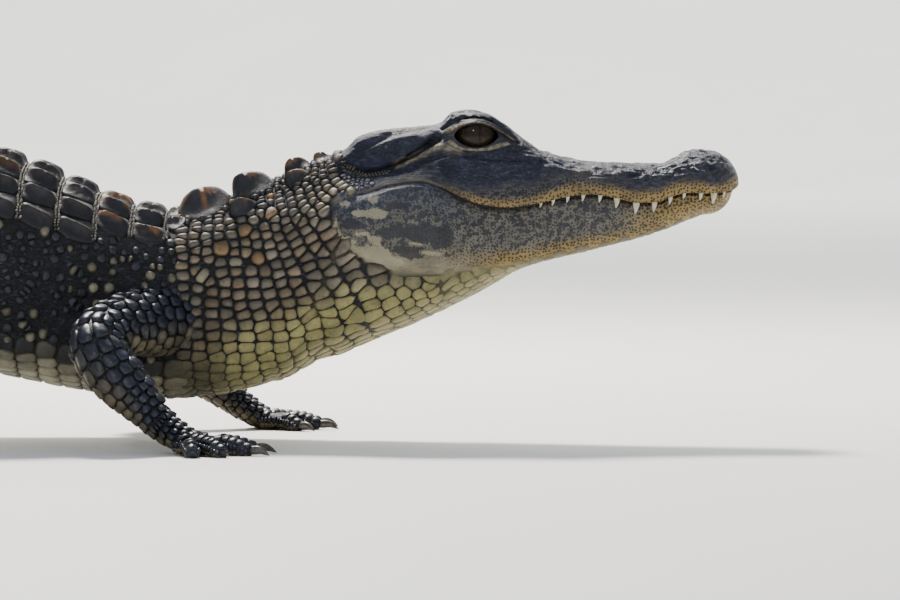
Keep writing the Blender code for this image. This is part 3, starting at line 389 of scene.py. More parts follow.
def head_rails(station):
    """The eight rails at each station, with the snout's round end."""
    rails = np.stack([rail(station) for rail in RAILS], axis=-2)
    upper_y, upper_z = quarter_round(station / SNOUT_ROUND[0]), quarter_round(station / SNOUT_ROUND[1])
    chin = np.maximum(station - CHIN_SETBACK, 0)
    lower_y = np.maximum(quarter_round(chin / SNOUT_ROUND[0]), 0.4 * upper_y)
    lower_z = np.maximum(quarter_round(chin / SNOUT_ROUND[1]), 0.05 * upper_z)
    upper, lower = slice(0, LIP_RAIL + 1), slice(LIP_RAIL + 1, None)
    drop = (rails[..., lower, 1] - rails[..., LIP_RAIL, 1][..., None]) * lower_z[..., None]
    rails[..., upper, 0] *= upper_y[..., None]
    rails[..., upper, 1] = SNOUT_LEVEL + (rails[..., upper, 1] - SNOUT_LEVEL) * upper_z[..., None]
    rails[..., lower, 0] *= lower_y[..., None]
    rails[..., lower, 1] = rails[..., LIP_RAIL, 1][..., None] + drop
    return rails


def catmull_rom(a, b, c, d, t):
    """A smooth curve from b at t = 0 to c at t = 1."""
    return 0.5 * (2 * b + (c - a) * t + (2 * a - 5 * b + 4 * c - d) * t**2 + (3 * b - a - 3 * c + d) * t**3)


def head_section(station, around):
    """Side and height of the head's surface: a curve through the rails at each station."""
    rails = head_rails(station)
    rails = np.concatenate([rails[..., 1:2, :] * [-1, 1], rails, rails[..., -2:-1, :] * [-1, 1]], axis=-2)
    position = np.clip(around, 0, 1) * LAST_RAIL
    i = np.minimum(position.astype(int), LAST_RAIL - 1)
    t = (position - i)[..., None]

    def pick(offset):
        return np.take_along_axis(rails, (i + offset)[..., None, None].repeat(2, -1), axis=-2)[..., 0, :]

    return catmull_rom(*(pick(k) for k in range(4)), t)


def body_section(station, around):
    """Side and height of the neck, trunk and tail: a superellipse between back and belly."""
    angle = np.radians(np.interp(around, np.linspace(0, 1, len(RAIL_ANGLES)), RAIL_ANGLES))
    back, belly, wide = back_height(station), belly_height(station), half_width(station)
    level = belly + WIDEST_AT * (back - belly)
    upper = np.cos(angle) >= 0
    power = 2 / np.where(upper, UPPER_FULLNESS, LOWER_FULLNESS)
    side = wide * np.abs(np.sin(angle)) ** power
    reach = np.where(upper, back - level, belly - level)
    height = level + reach * np.abs(np.cos(angle)) ** power
    return np.stack([side, height], axis=-1)


def face_relief(station, side, height):
    """How far the head's features stand out sideways from the plain section."""
    middle, level, long, high = JAW_PAD
    behind = np.hypot(np.maximum(station - middle, 0) / long, (height - level) / high)
    pad = 1 - ease(behind, 0.86, 1.04)
    lip = RAILS[LIP_RAIL](station)[..., 1]
    below_lip = 1 - ease(height, lip - 1, lip + 2)
    out = JAW_PAD_RISE * pad * below_lip * ease(station, 92, 118)
    middle, level, long, high = EAR_FLAP
    along, across = station - middle, height - level + EAR_FLAP_SLOPE * (station - middle)
    flap = 1 - ease(np.hypot(along / long, across / high), 0.72, 1.0)
    return out + EAR_FLAP_RISE * flap * (side > 0)


def lid_bulge(station, around, side, height):
    """The side distance with the lids' round cover over the eyeball, outside the brow's crest."""
    reach = EYE_RADIUS + LID_COVER
    off = (station - EYE_STATION) ** 2 + (height - EYE_HEIGHT) ** 2
    ball = EYE_SIDE + np.sqrt(np.maximum(reach**2 - off, 0))
    close = (1 - ease(np.sqrt(off), 0.9 * reach, reach)) * ease(around * LAST_RAIL, 1.0, 1.3)
    return np.maximum(side, side + (ball - side) * close)


def half_section(station, around):
    """Side and height of the frame's skin on one half, for arrays of stations and places around."""
    station, around = np.broadcast_arrays(np.asarray(station, float), np.asarray(around, float))
    head, body = head_section(station, around), body_section(station, around)
    side, height = head[..., 0], head[..., 1]
    middle, out, _ = NOSTRIL
    long, wide = NOSTRIL_MOUND
    mound = np.exp(-(((station - middle) / long) ** 2) - ((side - out) / wide) ** 2) * ease(height, 104, 108)
    height = height + NOSTRIL_RISE * mound
    side = lid_bulge(station, around, side + face_relief(station, side, height), height)
    head = np.stack([side, height], axis=-1)
    neck = ease(station, *NECK_BLEND)[..., None]
    skin = head * (1 - neck) + body * neck
    skin[..., 1] = np.maximum(skin[..., 1], 0)
    return skin


def line_distance(station, height, line):
    """Distance in a side view to a line through (station, height) points."""
    corners = np.array(line, float)
    best = np.full(np.shape(station), 1e9)
    for start, end in zip(corners[:-1], corners[1:]):
        way = end - start
        share = np.clip(((station - start[0]) * way[0] + (height - start[1]) * way[1]) / (way @ way), 0, 1)
        off = np.hypot(station - start[0] - share * way[0], height - start[1] - share * way[1])
        best = np.minimum(best, off)
    return best


def inside_jaw(station, height):
    """How far a place in a side view is inside the rear and lower margin of the lower jaw."""
    return np.minimum(height - jaw_lowest(station), JAW_REAR - station)


def face_folds(station, around, side, height, hand, roughness):
    """Rise of the skin over the frame's plain head: rough bone, folds round the eye and ear, creases."""
    rail = around * LAST_RAIL
    turned = np.stack([station * 0.5, side * hand + 60 * hand, height], axis=-1)
    facing_out = ease(rail, 0.7, 0.95) * (1 - ease(rail, 2.6, 3.0))
    near_eye = (1 - ease(np.hypot((station - EYE_STATION) / 20, (height - 116) / 13), 0.8, 1.0)) * facing_out
    top = (1 - ease(rail, 1.9, 2.7)) * ease(station, 1, 9) * (1 - ease(station, 146, 153))
    snout = 1 - ease(station, 76, 92)
    pits = 0.35 - 1.3 * np.abs(noise(turned, 2.9, 2)) + 0.9 * noise(turned, 1.7) + 0.6 * noise(turned, 0.95, 1)
    out = roughness * pits * top * (0.4 + 0.7 * snout) * (1 - 0.8 * near_eye)
    cheek = ease(rail, 1.7, 2.3) * (1 - ease(rail, 4.6, 5.2)) * ease(station, 8, 16)
    out = out + (0.2 * noise(turned, 1.5, 3) + 0.16 * noise(turned * [0.4, 1, 1], 0.9, 9)) * cheek
    tip = (1 - ease(station, 10, 16)) * ease(rail, 0.9, 1.4) * (1 - ease(rail, 2.6, 2.9))
    out = out + 0.2 * np.sin((height + station * 0.9) * 2.2 + 2.2 * noise(turned, 2.5, 4)) * tip
    groove = line_distance(station, height, BROW_GROOVE)
    out = out - 1.1 * bump(groove, 0.6) * facing_out
    upper_fold = line_distance(station, height - 2.1, BROW_GROOVE[1:7])
    out = out - 0.35 * bump(upper_fold, 0.45) * facing_out
    corner = np.hypot((station - 98.4) / 14.0, (height - 115.4) / 4.6)
    out = out - 0.75 * (1 - ease(corner, 0.75, 1.05)) * facing_out
    lower = np.interp(-station, [-s for s, _ in LOWER_LID], [z for _, z in LOWER_LID])
    spanned = ease(station, 85, 89) * (1 - ease(station, 109, 114)) * facing_out
    for drop, depth in ((1.9, 0.4), (3.0, 0.25)):
        out = out - depth * bump(height - lower + drop + 0.3 * noise(turned, 3, 5), 0.35) * spanned
    out = out - 1.1 * bump(np.hypot((station - 83.8) / 3.4, (height - 110.6) / 2.0), 1) * facing_out
    knobs = bump(np.hypot((station - 108.6) / 4.0, (height - 122.2) / 2.4), 1)
    out = out + 0.4 * noise(turned * [2, 1, 1], 0.95, 13) * knobs
    crease = np.interp(-station, [-s for s, _ in CHEEK_CREASE], [z for _, z in CHEEK_CREASE])
    spanned = ease(station, 75, 82) * (1 - ease(station, 119, 124)) * facing_out
    out = out - 0.9 * bump(height - crease, 0.6) * spanned + 0.7 * bump(height - crease + 1.9, 1.2) * spanned
    flap = line_distance(station, height + 0.4, EAR_EDGE)
    under = 1 - ease(rail, 2.9, 3.1)
    out = out - 1.0 * bump(flap, 0.7) * facing_out * under
    out = out - 2.3 * bump(ear_slot(station, height), 0.8) * facing_out
    fold = line_distance(station, height, EAR_FOLD)
    out = out + (0.75 + 0.35 * np.sin(station * 2.7)) * bump(fold, 1.0) * facing_out
    rear_folds = bump(line_distance(station, height + 2.6, EAR_EDGE[2:6]), 0.8)
    out = out + 0.4 * rear_folds * facing_out * under
    table_rim = bump(rail - 0.93, 0.16) * ease(station, 112, 120) * (1 - ease(station, 142, 149))
    out = out + 0.45 * table_rim
    rails = head_rails(station)
    up = height - rails[..., LIP_RAIL, 1]
    for at, long in TEETH:
        out = out + 0.14 * long * bump(station - at, 2.0) * bump(up - 3.0, 2.2) * (rail < 3)
    inside = inside_jaw(station, height)
    low = ease(rail, 3.2, 3.5) * ease(station, 92, 110)
    out = out - 0.95 * bump(inside + 0.9, 0.9) * low + 0.35 * bump(inside - 2.2, 1.8) * low
    flesh = ease(rail, 3.3, 3.6) * (1 - ease(rail, 4.7, 5.1)) * ease(station, 104, 114)
    plates = np.abs(noise(turned * [1.6, 1, 1], 3.4, 10))
    return out - 0.3 * (1 - ease(plates, 0.03, 0.16)) * flesh * (inside > 0.5)


def body_folds(station, around, side, height, hand, depth):
    """Rise of the skin of neck, trunk and tail: folds at the shoulder, on the flanks and between whorls."""
    turned = np.stack([station, 1.0 * side * hand, height], axis=-1)
    flank = ease(around, 0.3, 0.42) * (1 - ease(around, 0.72, 0.86))
    ridged = 1 - 2 * np.abs(noise(turned * [1, 0.25, 0.22], 5.2, 6))
    trunk = ease(station, 206, 232) * (1 - ease(station, 520, 560))
    out = depth * (ridged - 0.3) * flank * trunk
    curved = station - 0.35 * np.maximum(height - 60, 0) + 2.5 * noise(turned, 24, 7)
    neck = ease(station, 158, 170) * (1 - ease(station, 208, 222)) * ease(around, 0.25, 0.4)
    for at in (176, 190, 203, 212):
        out = out - 0.8 * depth * bump(curved - at, 1.5) * neck
    out = out + 0.6 * depth * noise(turned, 11, 8) * ease(station, 150, 165) * (1 - ease(station, 560, 640))
    for first, last, rows in TAIL_ROWS:
        phase = (station - first) / (last - first) * rows
        notch = bump((phase - np.round(phase)) * (last - first) / rows, 1.2)
        out = out - 0.45 * depth * notch * (station >= first) * (station < last)
    return out


def skin_points(stations, arounds, hand, sizes):
    """The skin's points on one side for grids of station and around, in the row frame in millimetres."""
    half = half_section(stations, arounds)
    side, height = half[..., 0], half[..., 1]
    straight = np.stack([-stations, side, height], axis=-1)
    normal = unit(np.cross(np.gradient(straight, axis=1), np.gradient(straight, axis=0)))
    normal[:, 0, 1] = normal[:, -1, 1] = 0
    normal = unit(normal)
    on_head = 1 - ease(stations, 148, 156)
    out = on_head * face_folds(stations, arounds, side, height, hand, sizes["roughness"])
    out = out + (1 - on_head) * body_folds(stations, arounds, side, height, hand, sizes["fold_depth"])
    out = out - sizes["coat_depth"] * ease(stations, 146, 158) * (1 - 0.5 * ease(stations, 960, 1090))
    middle = 1 - ease(side, 0.0, 1.2)
    out = out * (1 - middle * (around_lip(arounds) < 0))
    out = out * (1 - bump(around_lip(arounds) * 7, 0.22) * on_head)
    moved = straight + normal * out[..., None]
    side, height = moved[..., 1], moved[..., 2]
    side, height = close_mouth(stations, arounds, side, height)
    side[:, 0] = side[:, -1] = 0
    height = np.maximum(height, FLOOR_CLEARANCE)
    return placed(-moved[..., 0], hand * np.maximum(side, 0), height)


def around_lip(around):
    """How far a place around is below the edge of the upper lip."""
    return np.asarray(around) - LIP_AT


def close_mouth(station, around, side, height):
    """Sets the lower jaw inside the upper lip, with a dark groove between them that ends as a fold."""
    below = around_lip(around)
    open_part = 1 - ease(station, 108, 116)
    fold = 1 - ease(station, 138, 149)
    start = ease(station, 1, 9)
    inset = LIP_STEP * start * (0.25 * fold + 0.75 * open_part)
    near_lip = 1 - ease(below, 0.0, 0.16)
    side = side - np.where(below > 0.0005, inset * near_lip, 0)
    groove = (below > 0.0005) * (below < 0.0095)
    side = side - groove * start * fold * (0.5 + 1.0 * open_part)
    under = (below > 0.0005) * (below < 0.0045)
    height = height + under * start * fold * (0.1 + 0.6 * open_part)
    return side, height


def head_columns():
    """Places around for the head's fine rings, close together at the eye and at the lip."""
    parts = [np.linspace(first, last, count, endpoint=False) for first, last, count in HEAD_COLUMNS]
    parts[3] = LIP_RAIL + np.array([-0.03, 0.0, 0.028, 0.056])
    return np.concatenate(parts + [[LAST_RAIL]]) / LAST_RAIL


def skin_rings(sizes):
    """Rings of the whole body's skin, with the place around and station of each point."""
    columns = head_columns()
    stations = np.concatenate([np.linspace(a, b, n, endpoint=False) for a, b, n in HEAD_STATIONS])
    grid_s, grid_a = np.meshgrid(stations, columns, indexing="ij")
    head = [skin_points(grid_s, grid_a, hand, sizes) for hand in (1, -1)]
    stations = np.concatenate([np.linspace(a, b, n) for a, b, n in BODY_STATIONS])
    stations = np.unique(stations)
    coarse = columns[::2]
    level = np.linspace(0, 1, len(coarse))
    share = ease(stations, 152, 195)[:, None]
    body_a = coarse[None, :] * (1 - share) + level[None, :] * share
    body_s = np.broadcast_to(stations[:, None], body_a.shape)
    body = [skin_points(body_s, body_a, hand, sizes) for hand in (1, -1)]
    return (grid_s, grid_a, head), (body_s, body_a, body)


def closed_rings(both_sides):
    """Joins the left and right halves of each ring into one closed ring."""
    left, right = both_sides
    return np.concatenate([left, right[:, -2:0:-1]], axis=1)


def ring_faces(rows, count, start=0):
    """Quads between rows of closed rings of the same number of points."""
    i, j = np.meshgrid(np.arange(rows - 1), np.arange(count), indexing="ij")
    k = (j + 1) % count
    quads = np.stack([i * count + j, i * count + k, (i + 1) * count + k, (i + 1) * count + j], axis=-1)
    return quads.reshape(-1, 4) + start


def body_mesh(sizes):
    """Points, faces, stations, places around and hands of the skin from snout to tail tip."""
    (head_s, head_a, head), (body_s, body_a, body) = skin_rings(sizes)
    head_ring, body_ring = closed_rings(head), closed_rings(body)
    fine, coarse = head_ring.shape[1], body_ring.shape[1]
    points = np.concatenate([head_ring.reshape(-1, 3), body_ring.reshape(-1, 3)])
    start = len(head_ring) * fine
    faces = ring_faces(len(head_ring), fine).tolist()
    faces += ring_faces(len(body_ring), coarse, start).tolist()
    last = start - fine
    for k in range(coarse):
        n = (k + 1) % coarse
        faces.append([last + 2 * k, last + 2 * k + 1, start + k])
        faces.append([last + 2 * k + 1, last + (2 * k + 2) % fine, start + n, start + k])
    faces.append(list(range(fine)))
    faces.append(list(range(len(points) - coarse, len(points))))
    station = np.concatenate([ring_values(head_s), ring_values(body_s)])
    around = np.concatenate([ring_values(head_a), ring_values(body_a)])
    hands = np.concatenate([ring_hands(head_s.shape), ring_hands(body_s.shape)])
    return points, faces, station, around, hands


def ring_values(half):
    """The values of a half grid for every point of its closed rings."""
    return np.concatenate([half, half[:, -2:0:-1]], axis=1).reshape(-1)


def ring_hands(shape):
    """1 for the points of closed rings on the left, -1 on the right."""
    rows, columns = shape
    ring = np.concatenate([np.ones(columns), -np.ones(columns - 2)])
    return np.tile(ring, rows)


class Sheet:
    """A stretch of skin read by distances along it and round it from its ridge, in millimetres."""

    def __init__(self, along, points, half_girth, bake_box, bake_along=None):
        self.along, self.points, self.half_girth = along, points, half_girth
        self.bake_box = bake_box
        self.bake_along = bake_along or ([along[0], along[-1]], [0, 1])
        normals = unit(np.cross(np.gradient(points, axis=1), np.gradient(points, axis=0)))
        outward = ((points - points.mean(axis=1, keepdims=True)) * normals).sum()
        self.normals = normals if outward > 0 else -normals
        seam = unit(self.normals[:, 0] + self.normals[:, -1])
        self.normals[:, 0] = self.normals[:, -1] = seam

    def girth(self, along):
        """Half the distance round the skin."""
        return np.interp(along, self.along, self.half_girth)

    def share(self, along, arc):
        """Place across the sheet, 0 at one side of the seam and 1 at the other."""
        across = (arc / self.girth(along) + 1) / 2
        return across - np.floor(across)

    def at(self, along, arc, height=0.0):
        """Points at a height over the skin."""
        row = np.interp(along, self.along, np.arange(len(self.along)))
        i = np.clip(row.astype(int), 0, len(self.along) - 2)
        columns = self.points.shape[1]
        column = self.share(along, arc) * (columns - 1)
        j = np.clip(column.astype(int), 0, columns - 2)
        a, b = (row - i)[..., None], (column - j)[..., None]

        def mixed(grid):
            near = grid[i, j] * (1 - b) + grid[i, j + 1] * b
            far = grid[i + 1, j] * (1 - b) + grid[i + 1, j + 1] * b
            return near * (1 - a) + far * a

        return mixed(self.points) + unit(mixed(self.normals)) * np.asarray(height)[..., None]

    def bake_place(self, along, arc):
        """Place on the bake map, from an unwrap of this skin's own shape."""
        low_u, low_v, high_u, high_v = self.bake_box
        u = low_u + (high_u - low_u) * np.interp(along, *self.bake_along)
        v = low_v + (high_v - low_v) * self.share(along, arc)
        return np.stack([u, v], axis=-1)


BODY_BAKE = ((0.01, 0.27, 0.99, 0.99), ([0, 152, 545, 1100], [0, 0.42, 0.78, 1]))


@lru_cache(maxsize=2)
def body_sheet(roughness, fold_depth, coat_depth):
    """The whole body's skin as a sheet, its arc 0 along the middle of the back, and its arc table."""
    sizes = {"roughness": roughness, "fold_depth": fold_depth, "coat_depth": coat_depth}
    stations = np.arange(0.5, 1099.0, SHEET_STEP)
    columns = np.linspace(0, 1, SHEET_HALF_COLUMNS)
    grid_s, grid_a = np.meshgrid(stations, columns, indexing="ij")
    halves, arcs = [], None
    for hand in (-1, 1):
        points = skin_points(grid_s, grid_a, hand, sizes)
        plain = half_section(grid_s, grid_a)
        steps = np.hypot(*np.moveaxis(np.diff(plain, axis=1), -1, 0))
        arcs = np.concatenate([np.zeros((len(stations), 1)), np.cumsum(steps, axis=1)], axis=1)
        even = np.empty_like(points)
        for row in range(len(stations)):
            target = np.linspace(0, arcs[row, -1], SHEET_HALF_COLUMNS)
            for k in range(3):
                even[row, :, k] = np.interp(target, arcs[row], points[row, :, k])
        halves.append(even)
    points = np.concatenate([halves[0][:, :0:-1], halves[1]], axis=1)
    sheet = Sheet(stations, points, arcs[:, -1], *BODY_BAKE)
    sheet.arcs, sheet.columns = arcs, columns
    return sheet


def arc_of(sheet, station, around):
    """Distance over the skin from the middle of the back to a place around."""
    row = np.clip(np.round(np.interp(station, sheet.along, np.arange(len(sheet.along)))).astype(int), 0, None)
    column = np.asarray(around) * (len(sheet.columns) - 1)
    j = np.clip(column.astype(int), 0, len(sheet.columns) - 2)
    return sheet.arcs[row, j] * (1 - column + j) + sheet.arcs[row, j + 1] * (column - j)


def around_of(sheet, station, arc):
    """Place around at a distance over the skin from the middle of the back."""
    row = np.clip(np.round(np.interp(station, sheet.along, np.arange(len(sheet.along)))).astype(int), 0, None)
    flat = np.empty(len(row))
    for k, (r, a) in enumerate(zip(row, np.abs(arc))):
        flat[k] = np.interp(a, sheet.arcs[r], sheet.columns)
    return flat


def limb_path(joints, count=60):
    """Evenly spaced points on a smooth curve through joints, and the direction at each."""
    joints = np.array(joints, float)
    ends = np.concatenate([[2 * joints[0] - joints[1]], joints, [2 * joints[-1] - joints[-2]]])
    dense = [
        catmull_rom(*ends[i : i + 4], t)
        for i in range(len(joints) - 1)
        for t in np.linspace(0, 1, 24, endpoint=False)
    ]
    dense = np.array(dense + [joints[-1]])
    along = np.concatenate([[0], np.cumsum(np.linalg.norm(np.diff(dense, axis=0), axis=1))])
    at = np.linspace(0, along[-1], count)
    points = np.stack([np.interp(at, along, dense[:, k]) for k in range(3)], axis=1)
    return at, points, unit(np.gradient(points, axis=0))


def limb_rings(path, profile, distances, turns, up, muscle=None):
    """Rings of a limb at distances along its path, from (distance, half width, half height) keys."""
    at, points, directions = path
    size = through(profile)
    rings = []
    for distance in distances:
        centre = np.array([np.interp(distance, at, points[:, k]) for k in range(3)])
        forward = unit(np.array([np.interp(distance, at, directions[:, k]) for k in range(3)]))
        across = unit(np.cross(forward, up))
        over = np.cross(across, forward)
        wide, high = size(distance)
        swell = 1 + (muscle(distance, turns) if muscle else 0)
        ring = np.outer(np.cos(turns) * wide * swell, across) + np.outer(np.sin(turns) * high * swell, over)
        rings.append(centre + ring)
    return np.array(rings)


def leg_joints(leg):
    """The root, bend, ankle and ball of a leg, in the row frame in millimetres."""
    _, hand, *joints, _ = leg
    return [placed(s, hand * side, height) for s, side, height in joints]


def toe_direction(leg, angle):
    """Level direction of a toe that is turned from the foot's own direction."""
    _, hand, *joints, turn_out = leg
    ball, ankle = placed(joints[3][0], 0, 0), placed(joints[2][0], 0, 0)
    ahead = math.atan2(ball[1] - ankle[1], ball[0] - ankle[0])
    facing = ahead + hand * math.radians(turn_out + angle)
    return np.array([math.cos(facing), math.sin(facing), 0])


def toe_paths(leg, foot):
    """Each toe's path from inside the ball of the foot to the root of its claw."""
    ball = leg_joints(leg)[3]
    ahead = toe_direction(leg, 0)
    across = np.array([ahead[1], -ahead[0], 0]) * leg[1] * -1
    paths = []
    thick, thin = foot["toe"]
    for angle, length in zip(foot["angles"], foot["lengths"]):
        way = toe_direction(leg, angle)
        knuckle = ball + across * math.sin(math.radians(angle)) * foot["palm"][0] * KNUCKLE_SPREAD
        start, middle = knuckle - ahead * TOE_ROOT, knuckle + way * 0.5 * length
        end = knuckle + way * (TOE_ROOT + length)
        start[2], middle[2] = ball[2], thick + KNUCKLE_RISE
        end[2] = thin * math.sin(math.pi / 3) - SOLE_FLAT
        paths.append(limb_path([start, middle, end], 24))
    return paths


def leg_parts(leg):
    """The sizes, foot, path, joint distances and radius keys of a leg."""
    front = leg[0].startswith("front")
    sizes, foot = (FRONT_SIZES, FRONT_FOOT) if front else (HIND_SIZES, HIND_FOOT)
    root, bend, ankle, ball = leg_joints(leg)
    path = limb_path([root, bend, ankle, ball, ball + toe_direction(leg, 0) * TOE_ROOT], 90)
    reach = path[0][-1]
    nearest = [np.argmin(np.linalg.norm(path[1] - joint, axis=1)) for joint in (bend, ankle)]
    knee, heel = (float(path[0][k]) for k in nearest)
    wide, high = foot["palm"]
    profile = [
        (0, sizes["root"], sizes["root"]), (knee * 0.55, sizes["upper"], sizes["upper"]),
        (knee, sizes["bend"], sizes["bend"]),
        (knee * 0.6 + heel * 0.4, sizes["lower"], sizes["lower"] * 1.05),
        (heel, sizes["ankle"] * 1.05, sizes["ankle"]),
        (heel * 0.4 + reach * 0.6, wide * 0.92, high),
        (reach - TOE_ROOT, wide, high * 0.9), (reach, wide * 0.86, high * 0.7),
    ]
    up = np.array([0.35 if front else 0.25, 0.0, 1.0])
    return foot, path, (knee, heel), profile, up


LEG_BAKE_LOW, LEG_BAKE_HIGH, LEG_BAKE_WIDE = 0.02, 0.24, 0.24


@lru_cache(maxsize=8)
def leg_sheet(index, coat_depth):
    """One leg's skin as a sheet whose arc 0 runs along its upper side."""
    leg = LEGS[index]
    _, path, _, profile, up = leg_parts(leg)
    profile = [(at, wide - coat_depth, high - 0.8 * coat_depth) for at, wide, high in profile]
    distances = np.linspace(0, path[0][-1], 100)
    turns = math.pi / 2 - np.linspace(-math.pi, math.pi, 65)
    rings = limb_rings(path, profile, distances, turns, up, limb_muscle)
    rings[..., 2] = np.maximum(rings[..., 2], FLOOR_CLEARANCE)
    girth = np.linalg.norm(np.diff(rings, axis=1), axis=2).sum(axis=1) / 2
    low_u = 0.01 + 0.245 * index
    box = (low_u, LEG_BAKE_LOW, low_u + 0.16, LEG_BAKE_HIGH)
    return Sheet(distances, rings, girth, box)


def limb_muscle(distance, turns):
    """Slight swell of the muscles round a limb, as a share of its radius."""
    return 0.05 * np.sin(2 * turns + distance * 0.05) + 0.03 * np.sin(turns * 3 + distance * 0.11)


def toe_sheet(path, foot, leg_index, toe_index):
    """One toe's skin as a sheet whose arc 0 runs along its top."""
    low_u, low_v = 0.18 + 0.245 * leg_index, 0.03 + 0.04 * toe_index
    thick, thin = foot["toe"]
    long = path[0][-1]
    profile = [(0, thick, thick), (0.7 * long, thick * 0.85, thick * 0.85), (long, thin, thin)]
    distances = np.linspace(0, long, 30)
    turns = math.pi / 2 - np.linspace(-math.pi, math.pi, 29)
    rings = limb_rings(path, profile, distances, turns, np.array([0, 0, 1.0]), toe_joints(long))
    rings[..., 2] = np.maximum(rings[..., 2], FLOOR_CLEARANCE)
    girth = np.linalg.norm(np.diff(rings, axis=1), axis=2).sum(axis=1) / 2
    return Sheet(distances, rings, girth, (low_u, low_v, low_u + 0.065, low_v + 0.03))


def toe_joints(long):
    """The swell of a toe at its knuckles, as a share of its radius."""

    def swell(distance, turns):
        return 0.07 * math.cos(2 * math.pi * (distance / long * 2.6 + 0.1)) + 0 * turns

    return swell


def mesh_object(name, points, faces):
    """An object of a mesh given in millimetres, with faces of any number of corners."""
    mesh = bpy.data.meshes.new(name)
    mesh.from_pydata((np.asarray(points) * MM).tolist(), [], faces)
    obj = bpy.data.objects.new(name, mesh)
    bpy.context.scene.collection.objects.link(obj)
    return obj


def triangle_object(name, points, triangles, colours, marks, bake):
    """An object of triangles in millimetres, with its colours, marks and bake map for each point."""
    mesh = bpy.data.meshes.new(name)
    corners = np.asarray(triangles, np.int32)
    mesh.vertices.add(len(points))
    mesh.vertices.foreach_set("co", (np.asarray(points) * MM).astype(np.float32).ravel())
    mesh.loops.add(corners.size)
    mesh.loops.foreach_set("vertex_index", corners.ravel())
    mesh.polygons.add(len(corners))
    mesh.polygons.foreach_set("loop_start", np.arange(0, corners.size, 3, dtype=np.int32))
    mesh.update(calc_edges=True)
    mesh.validate()
    obj = bpy.data.objects.new(name, mesh)
    bpy.context.scene.collection.objects.link(obj)
    give_colours(mesh, colours, marks)
    loops = np.empty(len(mesh.loops), np.int32)
    mesh.loops.foreach_get("vertex_index", loops)
    layer = mesh.uv_layers.new(name="OFBake")
    layer.data.foreach_set("uv", np.asarray(bake, np.float32)[loops].ravel())
    mesh.shade_smooth()
    return obj


def give_colours(mesh, colours, marks):
    """Stores each point's colour and its marks: dots, blotches, gloss and roughness of the skin."""
    for name, values in (("tint", colours), ("marks", marks)):
        layer = mesh.attributes.new(name, "FLOAT_COLOR", "POINT")
        values = np.asarray(values, float)
        if values.shape[1] == 3:
            values = np.concatenate([values, np.ones((len(values), 1))], axis=1)
        layer.data.foreach_set("color", values.astype(np.float32).ravel())


def ear_slot(station, height):
    """Distance in a side view from the ear's opening, in shares of its half height there."""
    return line_distance(station, height, EAR_SLOT) / (0.3 + 1.5 * bump(station - 116.3, 6.5))


